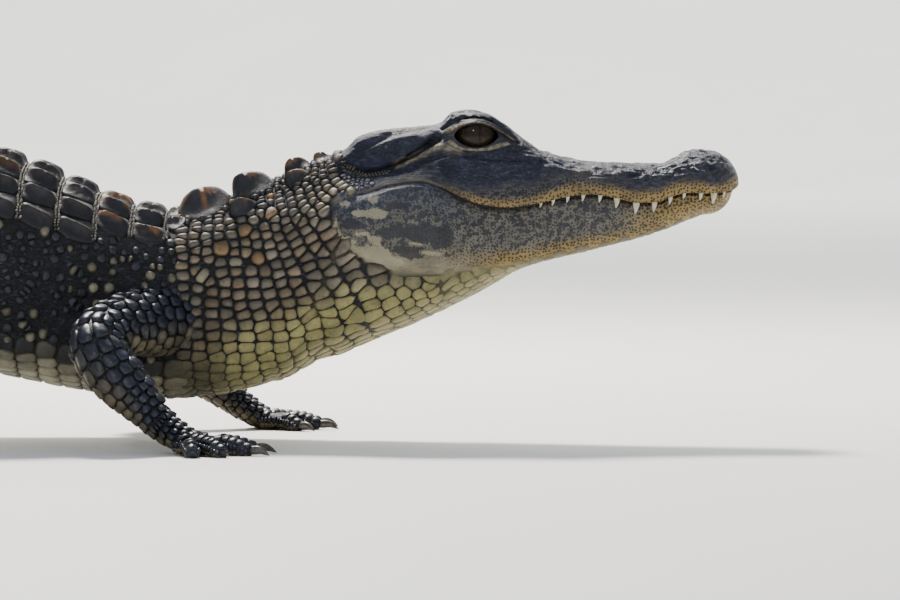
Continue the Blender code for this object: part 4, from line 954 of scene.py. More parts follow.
def face_colours(station, around, side, height, hand, colours):
    """Colours and marks of the head's skin, with its dark and pale patches as the colours' fourth value."""
    rail = around * LAST_RAIL
    turned = np.stack([station, side * hand + 60 * hand, height], axis=-1)
    drift = noise(turned, 4.5, 11) + 0.6 * noise(turned, 2.0, 12)
    rails = head_rails(station)
    lip, edge = rails[..., LIP_RAIL, 1], rails[..., 5, 1]
    up = height - lip
    upper = rail < LIP_RAIL + 0.002
    rise = tan_above_lip(station)
    ground = blend(colours["slate"], colours["slate_light"], 0.3 * ease(drift, -0.2, 1.2))
    olive = 1 - ease(up + 1.2 * drift, 0.9 * rise, 2.6 * rise + 1.0)
    olive = olive * (0.35 + 0.65 * ease(station, 36, 72)) * (1 - 0.6 * ease(station, 96, 110))
    ground = blend(ground, colours["jaw_grey"], 0.8 * olive)
    tan = (1 - ease(up + 0.7 * drift, 0.45 * rise, 1.25 * rise)) * upper
    ground = blend(ground, colours["tan"], 0.88 * tan * (1 - 0.9 * ease(station, 96, 118)))
    share = np.clip((lip - height) / np.maximum(lip - edge, 1), 0, 1.3)
    front = 1 - ease(station + 4 * drift, 24, 52)
    low = ease(share + 0.07 * drift, 0.66, 0.95)
    warm = np.clip(front + low * (1 - 0.7 * ease(station, 88, 116)), 0, 1)
    jaw = blend(colours["jaw_grey"], colours["tan"], warm)
    high_part = (1 - ease(share + 0.15 * drift, 0.1, 0.5)) * ease(station, 100, 116)
    jaw = blend(jaw, colours["slate_light"], 0.7 * high_part)
    jaw = blend(jaw, colours["cream"] * 0.6, 0.75 * low * ease(station, 86, 116))
    patch = np.zeros_like(station)
    for at, level, long, high, sign in JAW_MARKS:
        off = np.hypot((station - at) / long, (height - level) / high) + 0.12 * drift
        share = 1 - ease(off, 0.6, 1.35)
        patch = patch * (1 - share) + sign * share
    inside = inside_jaw(station, height)
    band = ease(inside, -0.5, 0.3) * (1 - ease(inside + 0.5 * drift, 1.4, 2.6))
    band = band * ease(station + 2 * drift, 128, 139) * (1 - ease(height, 84.0, 86))
    patch = (patch * (1 - band) - band) * (rail < 5.2) * ~upper * ease(inside, -0.6, 0.2)
    share = np.clip((lip - height) / np.maximum(lip - edge, 1), 0, 1.3)
    jaw = blend(jaw, colours["cream"], 0.9 * band)
    below = ease(-inside, 0.2, 1.0) * ease(rail, 4.3, 4.8)
    throat = np.clip(ease(rail, 4.8, 5.1) + below * ease(station, 84, 100), 0, 1)
    # Painted shade: under the jaw the throat's skin is painted dark brown, turning black further back.
    shaded = np.maximum(ease(rail, 5.05, 5.2), ease(-inside, 0.1, 0.7) * ease(station, 96, 112))
    jaw = blend(jaw, blend(colours["throat"] * 0.28, colours["black"], ease(station, 104, 122)), throat * shaded)
    ground = np.where(upper[..., None], ground, jaw)
    behind = ease(station, 149, 154) * (inside < 0.2)
    ground = blend(ground, colours["black"], behind * (1 - throat))
    yellow = bump(up - 0.2, 0.6) * ease(station, 100, 110) * (1 - ease(station + 4 * drift, 134, 145))
    ground = blend(ground, colours["jaw_grey"], (0.3 + 0.5 * ease(drift, -0.5, 0.5)) * yellow)
    facing = ease(rail, 0.7, 0.95) * (1 - ease(rail, 2.5, 2.9))
    corner = np.hypot((station - 98.6) / 13.6, (height - 115.7) / 5.0)
    ground = blend(ground, colours["lid_dark"], 0.9 * (1 - ease(corner, 0.8, 1.0)) * facing)
    lumps = 0.55 + 0.45 * ease(noise(turned, 1.3, 14), -0.3, 0.3)
    lid = bump(np.hypot((station - 109.6) / 2.4, (height - 111.2) / 1.5), 1)
    lid = lid + bump(np.hypot((station - 106.4) / 1.8, (height - 110.2) / 1.1), 1)
    lid = lid + bump(line_distance(station, height, EAR_FOLD), 1.3)
    ground = blend(ground, colours["lid_pale"], np.clip(1.1 * lid, 0, 0.95) * lumps * facing)
    # Painted shade: the brow groove, the line under the ear flap, the ear's opening, the hollow in front of the eye and
    # the cheek crease are painted near black.
    dark = bump(line_distance(station, height, BROW_GROOVE), 0.75)
    dark = dark + bump(line_distance(station, height + 0.4, EAR_EDGE), 0.75)
    dark = dark + 1.4 * bump(ear_slot(station, height), 0.9)
    dark = dark + 1.1 * bump(np.hypot((station - 83.8) / 3.6, (height - 110.6) / 2.2), 1)
    dark = dark + 0.8 * bump(line_distance(station, height - 0.9, CHEEK_CREASE[:6]), 0.6)
    ground = blend(ground, colours["black"], 0.92 * np.clip(dark, 0, 1) * facing)
    # Painted shade: the groove between the jaws is painted dark.
    groove = (around_lip(around) > 0.0002) * (around_lip(around) < 0.0085) * (1 - ease(station, 112, 145))
    ground = blend(ground, colours["mouth"], groove)
    dots = np.where(upper, ease(tan + 0.8 * olive, 0.3, 0.9), np.clip(warm + 0.15, 0, 1) * (1 - throat))
    dots = dots * (1 - ease(station, 106, 122)) * (1 - groove) * (1 - band)
    grey = (1 - front) * (1 - ease(share, 0.66, 0.95)) * (1 - throat) * (1 - 0.85 * band)
    fringe = ease(up + 0.4 * drift, 0.7 * rise, 1.4 * rise) * olive
    mottle = np.where(upper, 0.9 * fringe, grey + 0.35 * front * (share < 0.4))
    gloss = np.where(upper, (1 - 0.6 * tan) * (1 - 0.25 * ease(station, 88, 112)), 0.35)
    gloss = gloss - 1.1 * ease(station, 106, 116) * (1 - ease(height, 104.5, 108.5)) * upper
    gloss = gloss - 0.5 * ease(station, 132, 146) + 0.3 * (1 - ease(station, 70, 92)) * (1 - ease(rail, 1.2, 2.2))
    rough = np.where(upper, (1 - 0.9 * tan) * (1 - 0.2 * ease(station, 84, 96)), 0.3)
    rough = rough * (1 - 0.7 * ease(-np.hypot((station - 98.4) / 14, (height - 116) / 7), -1.1, -0.8) * facing)
    tint = np.concatenate([ground, 0.5 + 0.5 * patch[..., None]], axis=-1)
    return tint, np.stack([dots, mottle, gloss, rough], axis=-1)


def coat_colours(station, around, side, height, hand, colours):
    """Colours of the scales of neck, trunk and tail."""
    turned = np.stack([station, side * hand, height], axis=-1)
    drift = noise(turned, 14, 21) + 0.5 * noise(turned, 6, 22)
    low = ease(throat_level(station) - height + 1.6 * drift, -9, 11) * ease(around, 0.44, 0.56)
    low = np.maximum(low, ease(around, 0.72, 0.8))
    neck = blend(colours["taupe"], colours["throat"], low)
    neck = blend(neck, colours["granule"], 1 - ease(around + 0.03 * drift, 0.14, 0.34))
    # Painted shade: the lower scales at the base of the neck are painted darker olive.
    chest_shade = ease(station + 3 * drift, 186, 206) * ease(around, 0.4, 0.55)
    neck = blend(neck, colours["olive"], 0.75 * chest_shade)
    belly = ease(around + 0.025 * drift, 0.66, 0.8)
    trunk = blend(colours["flank"], colours["belly"], belly)
    bands = ease(np.sin(station * 2 * math.pi / 58.0) + 0.7 * drift, 0.35, 0.8)
    tail_side = ease(around, 0.12, 0.3) * (1 - ease(around, 0.85, 0.95))
    tail = blend(colours["flank"] * 1.3, colours["band"], 0.55 * bands * tail_side)
    tail = blend(tail, colours["belly"] * 0.75, ease(around + 0.05 * drift, 0.78, 0.92))
    coat = blend(neck, trunk, ease(station, 206, 222))
    return blend(coat, tail, ease(station, 520, 580))


def ground_colours(station, around, side, height, hand, colours):
    """Colours of the skin between the scales of neck, trunk and tail."""
    coat = coat_colours(station, around, side, height, hand, colours)
    low = ease(around, 0.6, 0.74)
    ground = blend(colours["black"] * np.ones_like(coat), colours["throat_crease"], low)
    belly = ease(around, 0.7, 0.82) * ease(station, 212, 240)
    ground = blend(ground, coat * 0.3, belly)
    # The skin between the back's rows of scutes is tinted pale: partly its own worn pale tone, partly painted glints.
    saddle = (1 - ease(around, 0.2, 0.34)) * ease(station, 214, 226) * (1 - ease(station, 540, 620))
    return blend(ground, colours["frost"], 0.22 * saddle)


def leg_colours(points, normals, colours, inner):
    """Colours of the scales of a leg, paler below and inside."""
    under = ease(-normals[..., 2], -0.15, 0.65)
    drift = noise(points, 7, 31)
    coat = blend(colours["leg"], colours["flank"], 0.4 * ease(drift, -0.5, 0.8))
    return blend(coat, colours["leg_under"], np.clip(0.8 * under + 0.35 * inner, 0, 1))


def palette(context):
    """The colours as arrays by name."""
    group = context.scene.alligator_colours
    return {name: np.array(getattr(group, name)) for name in group.__annotations__}


def skin_sizes(context):
    """The skin's sizes in millimetres."""
    group = context.scene.alligator_skin
    return {name: round(getattr(group, name) / MM, 6) for name in group.__annotations__}


def the_body_sheet(context):
    """The body's sheet for the scene's sizes."""
    sizes = skin_sizes(context)
    return body_sheet(sizes["roughness"], sizes["fold_depth"], sizes["coat_depth"])


def skin_tree():
    """A search tree of the finished skin, in millimetres."""
    skin = bpy.data.objects.get("skin")
    if skin is None:
        raise RuntimeError("The skin is built before its scales")
    points = np.empty(len(skin.data.vertices) * 3, np.float32)
    skin.data.vertices.foreach_get("co", points)
    points = (points.reshape(-1, 3) / MM).tolist()
    return BVHTree.FromPolygons(points, [tuple(p.vertices) for p in skin.data.polygons])


class Socket:
    """A node's output in a material. Arithmetic on it adds Math nodes."""

    def __init__(self, shading, socket):
        self.shading, self.socket = shading, socket

    def _math(self, operation, *values):
        inputs = dict(enumerate(values))
        return self.shading.node("ShaderNodeMath", {"operation": operation}, inputs)

    def __add__(self, other):
        return self._math("ADD", self, other)

    def __sub__(self, other):
        return self._math("SUBTRACT", self, other)

    def __rsub__(self, other):
        return self._math("SUBTRACT", other, self)

    def __mul__(self, other):
        return self._math("MULTIPLY", self, other)

    def __truediv__(self, other):
        return self._math("DIVIDE", self, other)

    def __pow__(self, other):
        return self._math("POWER", self, other)

    __radd__, __rmul__ = __add__, __mul__

    def step(self, low, high):
        """0 below low and 1 above high, with a smooth rise between."""
        settings = {"interpolation_type": "SMOOTHSTEP"}
        inputs = {"Value": self, "From Min": low, "From Max": high, "To Min": 0.0, "To Max": 1.0}
        return self.shading.node("ShaderNodeMapRange", settings, inputs)

    def size(self):
        """The value without its sign, from 0 up."""
        return self._math("ABSOLUTE", self)


class Shading:
    """The node tree of one material."""

    def __init__(self, name):
        self.material = bpy.data.materials.new(name)
        self.material.use_nodes = True
        self.tree = self.material.node_tree
        self.principled = self.tree.nodes["Principled BSDF"]

    def node(self, kind, settings=None, inputs=None, output=0):
        """Adds a node, sets its settings, then its inputs, and returns one of its outputs."""
        node = self.tree.nodes.new(kind)
        for key, value in (settings or {}).items():
            setattr(node, key, value)
        for key, value in (inputs or {}).items():
            self.feed(node.inputs[key], value)
        return Socket(self, node.outputs[output])

    def feed(self, socket, value):
        """Links a socket to a node's output, or sets its value."""
        if isinstance(value, Socket):
            self.tree.links.new(value.socket, socket)
        elif hasattr(value, "__len__") and socket.type == "RGBA":
            socket.default_value = [*(float(v) for v in value)][:3] + [1.0]
        else:
            socket.default_value = value

    def mix(self, factor, a, b, blend_type="MIX"):
        """A colour between two others."""
        settings = {"data_type": "RGBA", "blend_type": blend_type, "clamp_factor": True}
        return self.node("ShaderNodeMix", settings, {0: factor, 6: a, 7: b}, 2)

    def place(self):
        """The point's place in its object."""
        return self.node("ShaderNodeTexCoord", output="Object")

    def noise(self, place, millimetres, detail=3.0, roughness=0.55, distortion=0.0):
        """Noise with lumps of a size, from 0 to 1."""
        inputs = {
            "Vector": place, "Scale": 1 / (millimetres * MM), "Detail": detail, "Roughness": roughness,
            "Distortion": distortion,
        }
        return self.node("ShaderNodeTexNoise", None, inputs)

    def cells(self, place, millimetres, feature="F1", randomness=1.0):
        """Distance to the nearest of scattered points, or to the edge between them."""
        inputs = {"Vector": place, "Scale": 1 / (millimetres * MM), "Randomness": randomness}
        return self.node("ShaderNodeTexVoronoi", {"feature": feature}, inputs)

    def attribute(self, name, output="Color"):
        """A colour stored on the mesh."""
        settings = {"attribute_name": name, "attribute_type": "GEOMETRY"}
        return self.node("ShaderNodeAttribute", settings, output=output)

    def part(self, colour, channel):
        """Red, green or blue of a colour."""
        return self.node("ShaderNodeSeparateColor", None, {0: colour}, channel)

    def raised(self, height, millimetres, strength, normal=None):
        """A normal that follows a height of 0 to 1."""
        inputs = {"Height": height, "Distance": millimetres * MM, "Strength": strength}
        if normal is not None:
            inputs["Normal"] = normal
        return self.node("ShaderNodeBump", None, inputs)

    def finish(self, **inputs):
        """Feeds the Principled shader and returns the material."""
        for key, value in inputs.items():
            self.feed(self.principled.inputs[key.replace("_", " ").title()], value)
        return self.material


def hide_material(name, grain, shine):
    """Scales: the stored colours, broken up by mottling, pores and fine wrinkles."""
    s = Shading(name)
    place = s.place()
    tint, marks = s.attribute("tint"), s.attribute("marks")
    gloss, rough = s.part(marks, 2), s.attribute("marks", "Alpha")
    fine = s.noise(place, grain * 1.6, 4.0, 0.6)
    broad = s.noise(place, grain * 9, 3.0, 0.55)
    colour = s.mix(0.5, tint, s.mix(broad.step(0.3, 0.72), (0.5, 0.5, 0.52), (1.35, 1.32, 1.27)), "MULTIPLY")
    colour = s.mix(fine.step(0.5, 0.76) * 0.45, colour, (0.008, 0.008, 0.010))
    lumps = s.noise(place, grain * 1.3, 3.0, 0.6)
    skin = s.raised(lumps * (rough + 0.4), grain * 0.3, 0.55)
    pores = s.noise(place, grain * 0.4, 2.0, 0.6)
    normal = s.raised(pores, grain * 0.12, 0.35, skin)
    s.principled.inputs["Specular IOR Level"].default_value = 0.36
    return s.finish(base_color=colour, roughness=0.56 - gloss * shine + fine * 0.18, normal=normal)


def skin_material():
    """The skin: stored colours with dots, blotches and ragged patches, pale flecks and rough bone, with bluish specks
    painted as glints on the glossy skin and the flecks tinted with painted blue sheen.
    """
    s = Shading("alligator_skin")
    place = s.place()
    tint, marks = s.attribute("tint"), s.attribute("marks")
    dots, mottle, gloss, rough = *(s.part(marks, k) for k in range(3)), s.attribute("marks", "Alpha")
    streak = s.node("ShaderNodeVectorMath", {"operation": "MULTIPLY"}, {0: place, 1: (0.35, 1.0, 1.0)})
    broad = s.noise(place, 8, 3.0, 0.55)
    colour = s.mix(0.5, tint, s.mix(broad.step(0.3, 0.72), (0.5, 0.5, 0.52), (1.4, 1.36, 1.3)), "MULTIPLY")
    # Painted highlight: bluish specks on the glossy skin stand in for glints, and the pale flecks take the same bluish
    # colour, partly painted sky reflection.
    glint_speck = s.noise(place, 0.75, 3.0, 0.65).step(0.55, 0.66) * (gloss - 0.35).step(0.0, 0.5)
    fleck = s.noise(streak, 0.9, 4.0, 0.68).step(0.52, 0.66) * rough
    colour = s.mix(glint_speck * 0.38 + fleck * 0.5, colour, (0.090, 0.105, 0.170))
    dark = s.noise(streak, 1.5, 3.0, 0.6).step(0.48, 0.7)
    colour = s.mix(dark * (rough * 0.5 + 0.15), colour, (0.005, 0.006, 0.010))
    patch = s.attribute("tint", "Alpha") * 2 - 1
    ragged = s.noise(place, 1.5, 4.0, 0.65) * 1.8 - 0.9
    pale = (ragged - patch).step(0.34, 0.62)
    colour = s.mix(pale * 0.8, colour, s.mix(broad, (0.22, 0.19, 0.12), (0.42, 0.39, 0.27)))
    inputs = {"Vector": s.attribute("spread", "Vector"), "Scale": 1 / DOT_SPACING, "Randomness": 0.68}
    nearest = s.node("ShaderNodeTexVoronoi", {"voronoi_dimensions": "2D"}, inputs)
    reach = dots * 0.29 + mottle * 0.2
    spots = 1 - (nearest - reach).step(-0.05, 0.07)
    clear = 1 - pale * 0.8
    ink = s.mix(mottle, (0.020, 0.011, 0.005), (0.012, 0.014, 0.021))
    colour = s.mix(spots * (dots + mottle).step(0.05, 0.5) * clear * 0.92, colour, ink)
    blotch = (s.noise(place, 2.0, 2.5, 0.6) + mottle * 0.2).step(0.67, 0.78) * mottle.step(0.0, 0.3)
    blotch = (blotch + (ragged + patch).step(0.34, 0.62)).step(0.0, 1.0) * clear
    colour = s.mix(blotch * 0.82, colour, s.mix(broad, (0.006, 0.008, 0.014), (0.020, 0.024, 0.036)))
    ridges = 1 - (s.noise(streak, 1.2, 4.0, 0.62) - 0.5).size() * 5
    skin = s.raised(ridges.step(0.0, 1.0) * rough, 0.5, 1.0)
    lumps = s.noise(streak, 0.8, 3.0, 0.6)
    skin = s.raised(lumps, 0.25, 0.7, skin)
    pores = s.noise(place, 0.4, 2.0, 0.6)
    normal = s.raised(pores, 0.1, 0.4, skin)
    s.principled.inputs["Specular IOR Level"].default_value = 0.38
    return s.finish(base_color=colour, roughness=0.58 - gloss * 0.3 + pores * 0.16, normal=normal)


def finish_piece(obj, material):
    """Gives a piece its material and rides it on the body."""
    obj.data.materials.clear()
    obj.data.materials.append(material)
    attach(obj, "root")
    return obj


def join_solids(obj, pieces, operation):
    """One Boolean with several closed pieces, applied, with the pieces removed."""
    group = bpy.data.collections.new(obj.name + "_" + operation.lower())
    bpy.context.scene.collection.children.link(group)
    for piece in pieces:
        bpy.context.scene.collection.objects.unlink(piece)
        group.objects.link(piece)
    modifier = obj.modifiers.new(operation.lower(), "BOOLEAN")
    modifier.operation, modifier.solver = operation, "MANIFOLD"
    modifier.operand_type, modifier.collection = "COLLECTION", group
    bpy.context.view_layer.update()
    graph = bpy.context.evaluated_depsgraph_get()
    mesh = bpy.data.meshes.new_from_object(obj.evaluated_get(graph))
    obj.modifiers.clear()
    obj.data = mesh
    for piece in pieces:
        bpy.data.objects.remove(piece)
    bpy.data.collections.remove(group)


def outward(obj):
    """Turns a closed mesh's faces outwards."""
    bm = bmesh.new()
    bm.from_mesh(obj.data)
    bmesh.ops.recalc_face_normals(bm, faces=bm.faces)
    if bm.calc_volume(signed=True) < 0:
        bmesh.ops.reverse_faces(bm, faces=bm.faces)
    bm.to_mesh(obj.data)
    bm.free()
    return obj


def loft_object(name, rings):
    """A closed mesh over rings of equal numbers of points."""
    rings = np.asarray(rings)
    rows, count, _ = rings.shape
    faces = ring_faces(rows, count).tolist()
    faces += [list(range(count)), list(range((rows - 1) * count, rows * count))]
    return outward(mesh_object(name, rings.reshape(-1, 3), faces))


def leg_solids(index, coat_depth, sources):
    """The closed pieces of one leg's skin, with their points added to the sources."""
    leg = LEGS[index]
    foot, path, _, profile, up = leg_parts(leg)
    sheet = leg_sheet(index, coat_depth)
    distances = np.linspace(0, path[0][-1], LIMB_RINGS)
    shares = np.linspace(-1, 1, LIMB_SIDES, endpoint=False)
    grid_d, grid_f = np.meshgrid(distances, shares, indexing="ij")
    arcs = grid_f * sheet.girth(grid_d)
    points = sheet.at(grid_d, arcs)
    sources.append(("leg", index, points.reshape(-1, 3), sheet.bake_place(grid_d, arcs).reshape(-1, 2)))
    pieces = [loft_object("limb", points)]
    for k, toe in enumerate(toe_paths(leg, foot)):
        sheet = toe_sheet(toe, foot, index, k)
        distances = np.linspace(0, toe[0][-1], TOE_RINGS)
        shares = np.linspace(-1, 1, TOE_SIDES, endpoint=False)
        grid_d, grid_f = np.meshgrid(distances, shares, indexing="ij")
        arcs = grid_f * sheet.girth(grid_d)
        points = sheet.at(grid_d, arcs)
        points[-1] = points[-1] * 0.45 + points[-1].mean(axis=0) * 0.55
        points[-2] += unit(points[-2] - points[-2].mean(axis=0)) * 0.2
        sources.append(("toe", index, points.reshape(-1, 3), sheet.bake_place(grid_d, arcs).reshape(-1, 2)))
        pieces.append(loft_object("toe", points))
    paths = toe_paths(leg, foot)
    for k in range(len(paths) - 1):
        pieces.append(web_solid(paths[k], paths[k + 1], foot, 0.05 * k))
    return pieces


def web_solid(path_a, path_b, foot, lift):
    """A thin skin between two toes that hollows towards its free edge."""
    thick = foot["toe"][0]
    parts = np.linspace(0.08, 1, 7)
    rings = []
    for share in np.linspace(0, 1, 9):
        reach = foot["web"] * (1 - 0.45 * math.sin(math.pi * share))
        line = []
        for part in parts * reach:
            a = [np.interp(part * path_a[0][-1], path_a[0], path_a[1][:, k]) for k in range(3)]
            b = [np.interp(part * path_b[0][-1], path_b[0], path_b[1][:, k]) for k in range(3)]
            line.append(np.array(a) * (1 - share) + np.array(b) * share)
        line = np.array(line)
        level = 1.3 + lift + 0.25 * thick * (1 - parts) - 0.5 * math.sin(math.pi * share) * (1 - parts)
        top, bottom = line.copy(), line[::-1].copy()
        top[:, 2], bottom[:, 2] = level + 0.55, level[::-1] - 0.45
        rings.append(np.concatenate([top, bottom]))
    return loft_object("web", rings)


def eye_cutters(hand):
    """The round socket and the almond opening of one eye."""
    centre = placed(EYE_STATION, hand * EYE_SIDE, EYE_HEIGHT)
    bm = bmesh.new()
    bmesh.ops.create_uvsphere(bm, u_segments=40, v_segments=28, radius=EYE_RADIUS + 0.25)
    points = np.array([v.co for v in bm.verts]) + centre
    faces = [[v.index for v in f.verts] for f in bm.faces]
    bm.free()
    socket = outward(mesh_object("socket", points, faces))
    wide, high = LID_OPENING
    turns = np.linspace(0, 2 * math.pi, 48, endpoint=False)
    rise = high * np.sin(turns) * np.abs(np.sin(turns)) ** 0.25
    rings = [placed(EYE_STATION + wide * np.cos(turns), hand * out, EYE_HEIGHT + rise) for out in (10, 32)]
    return [loft_object("opening", rings), socket]


def ear_cutter(hand):
    """A wedge along the lower edge of the ear flap, deepest at its front."""
    middle, level, long, high = EAR_FLAP
    first, last, depth, open_half = EAR_SLIT
    around = np.linspace(0.14, LIP_AT, 90)
    rings = []
    for share in np.linspace(0, 1, 26):
        turn = math.radians(first + (last - first) * share)
        station = middle + long * math.cos(turn)
        height = level - EAR_FLAP_SLOPE * (station - middle) + high * math.sin(turn)
        half = half_section(np.full(len(around), station), around)
        side = float(np.interp(-height, -half[:, 1], half[:, 0]))
        swell = math.sin(math.pi * share) * (1.6 - 1.1 * share)
        wide, deep = 0.2 + open_half * swell, 0.5 + depth * swell
        outer, inner = side + 4, side - deep
        corners = ((outer, height - 1.3 * wide), (outer, height + 0.6 * wide), (inner, height + 0.2 * wide))
        rings.append([placed(station, hand * out, up) for out, up in corners])
    return loft_object("ear", rings)


def nostril_cutter(hand):
    """The crescent opening of one nostril."""
    station, side, height = NOSTRIL
    turns = np.linspace(0, 2 * math.pi, 14, endpoint=False)
    rings = []
    for share in np.linspace(-1, 1, 9):
        bend = 0.9 * (1 - share**2)
        radius = 0.75 * math.sqrt(max(1 - share**2, 0.04))
        centre = np.array([station + 2.3 * share, side + 0.5 + bend, height + 0.3 - 0.35 * share**2])
        ring = [
            placed(centre[0], hand * (centre[1] + radius * math.cos(t)), centre[2] + 1.9 * radius * math.sin(t))
            for t in turns
        ]
        rings.append(ring)
    return loft_object("nostril", rings)


def smooth_roots(obj, known, reach, rounds):
    """Softens the skin near the lines where pieces were joined."""
    bm = bmesh.new()
    bm.from_mesh(obj.data)
    tree = KDTree(len(known))
    for k, point in enumerate(known * MM):
        tree.insert(point, k)
    tree.balance()
    fresh = [v.co.copy() for v in bm.verts if tree.find(v.co)[2] > 2e-5]
    seam = KDTree(max(len(fresh), 1))
    for k, point in enumerate(fresh):
        seam.insert(point, k)
    seam.balance()
    near = [v for v in bm.verts if fresh and seam.find(v.co)[2] < reach * MM]
    for _ in range(rounds):
        bmesh.ops.smooth_vert(bm, verts=near, factor=0.5, use_axis_x=True, use_axis_y=True, use_axis_z=True)
    bm.to_mesh(obj.data)
    bm.free()
    return len(fresh)


def build_skin(context):
    """One skin from snout to tail tip with its four legs, and its colours and bake map."""
    sizes, colours = skin_sizes(context), palette(context)
    points, faces, station, around, hands = body_mesh(sizes)
    skin = outward(mesh_object("skin", points, faces))
    sheet = the_body_sheet(context)
    half = half_section(station, around)
    arcs = arc_of(sheet, station, around) * hands
    sources = [("body", 0, points, sheet.bake_place(station, arcs))]
    pieces = [piece for k in range(len(LEGS)) for piece in leg_solids(k, 0.7 * sizes["coat_depth"], sources)]
    join_solids(skin, pieces, "UNION")
    known = np.concatenate([source[2] for source in sources])
    smooth_roots(skin, known, 7.0, 10)
    cutters = [cutter for hand in (-1, 1) for cutter in eye_cutters(hand)]
    cutters += [ear_cutter(hand) for hand in (-1, 1)] + [nostril_cutter(hand) for hand in (-1, 1)]
    join_solids(skin, cutters, "DIFFERENCE")
    paint_skin(skin, sources, (station, around, half, hands), colours)
    return skin


def flat_arcs(station, around):
    """Distance over the plain head from the edge of the upper lip, for evenly spaced dots."""
    rails = np.stack([head_section(station, np.full_like(station, share)) for share in DOT_SHARES], axis=1)
    steps = np.linalg.norm(np.diff(rails, axis=1), axis=2)
    lengths = np.concatenate([np.zeros((len(station), 1)), np.cumsum(steps, axis=1)], axis=1)
    place = np.interp(around, DOT_SHARES, np.arange(len(DOT_SHARES)))
    i = np.clip(place.astype(int), 0, len(DOT_SHARES) - 2)
    row = np.arange(len(station))
    found = lengths[row, i] * (1 - place + i) + lengths[row, i + 1] * (place - i)
    at_lip = lengths[:, int(np.searchsorted(DOT_SHARES, LIP_AT))]
    return found - at_lip


DOT_SHARES = np.linspace(0, 1, 29)
DOT_SPACING = 1.3


def paint_skin(skin, sources, body, colours):
    """Carries colours, marks and the bake map from the skin's own grids to the joined mesh."""
    station, around, half, hands = body
    side, height = half[:, 0], half[:, 1]
    head_tint, head_marks = face_colours(station, around, side, height, hands, colours)
    ground = ground_colours(station, around, side, height, hands, colours)
    ground = np.concatenate([ground, np.full((len(ground), 1), 0.5)], axis=1)
    neck = ease(station, 152.5, 155.5)
    tints = [blend(head_tint, ground, neck)]
    marks = [blend(head_marks, np.array([0, 0, -0.5, 0.6]), neck)]
    for kind, _, points, _ in sources[1:]:
        base = colours["black"] if kind == "leg" else colours["leg"]
        tints.append(np.tile([*base, 0.5], (len(points), 1)))
        marks.append(np.tile([0, 0, 0.6, 0.7], (len(points), 1)))
    tints, marks = np.concatenate(tints), np.concatenate(marks)
    known = np.concatenate([source[2] for source in sources])
    bake = np.concatenate([source[3] for source in sources])
    owner = np.concatenate([np.full(len(source[2]), k) for k, source in enumerate(sources)])
    tree = KDTree(len(known))
    for k, point in enumerate(known * MM):
        tree.insert(point, k)
    tree.balance()
    mesh = skin.data
    found = [tree.find(v.co) for v in mesh.vertices]
    nearest = np.array([f[1] for f in found])
    deep = np.array([f[2] for f in found]) > 0.0009
    tint, mark = tints[nearest], marks[nearest]
    # Painted shade: the skin inside the openings cut for eyes, ears and nostrils is painted dark.
    flesh = np.array([v.co.x for v in mesh.vertices]) / MM + BODY_CENTRE[0] > -HEAD_END
    tint[deep & flesh] = [*colours["mouth"] * 0.4, 0.5]
    mark[deep & flesh] = [0, 0, 0.4, 0.2]
    mesh.materials.clear()
    give_colours(mesh, tint, mark)
    spread = np.zeros((len(known), 3))
    spread[: len(station), 0], spread[: len(station), 1] = station, flat_arcs(station, around) * hands
    layer = mesh.attributes.new("spread", "FLOAT_VECTOR", "POINT")
    layer.data.foreach_set("vector", spread[nearest].astype(np.float32).ravel())
    layer = mesh.uv_layers.new(name="OFBake")
    uv = np.empty((len(mesh.loops), 2), np.float32)
    for face in mesh.polygons:
        ids = nearest[list(face.vertices)]
        owners = owner[ids]
        main = np.bincount(owners).argmax()
        ids = np.where(owners == main, ids, ids[owners == main][0])
        spots = bake[ids]
        low, high = spots[:, 1].min(), spots[:, 1].max()
        if high - low > 0.1:
            spots = spots.copy()
            spots[spots[:, 1] < (low + high) / 2, 1] = high
        uv[list(face.loop_indices)] = spots
    layer.data.foreach_set("uv", uv.ravel())
    mesh.shade_smooth()


def local_frames(sheet, seeds):
    """For each seed, the matrix from steps along and round the skin to true millimetres on it."""
    along, arc, step = seeds[:, 0], seeds[:, 1], 1.5
    ahead = (sheet.at(along + step, arc) - sheet.at(along - step, arc)) / (2 * step)
    round_it = (sheet.at(along, arc + step) - sheet.at(along, arc - step)) / (2 * step)
    ahead = np.where(np.linalg.norm(ahead, axis=1)[:, None] < 0.3, ahead * 2, ahead)
    first = unit(ahead)
    second = unit(round_it - first * (round_it * first).sum(1)[:, None])
    rows = [[(way * axis).sum(1) for way in (ahead, round_it)] for axis in (first, second)]
    return np.moveaxis(np.array(rows), 2, 0)


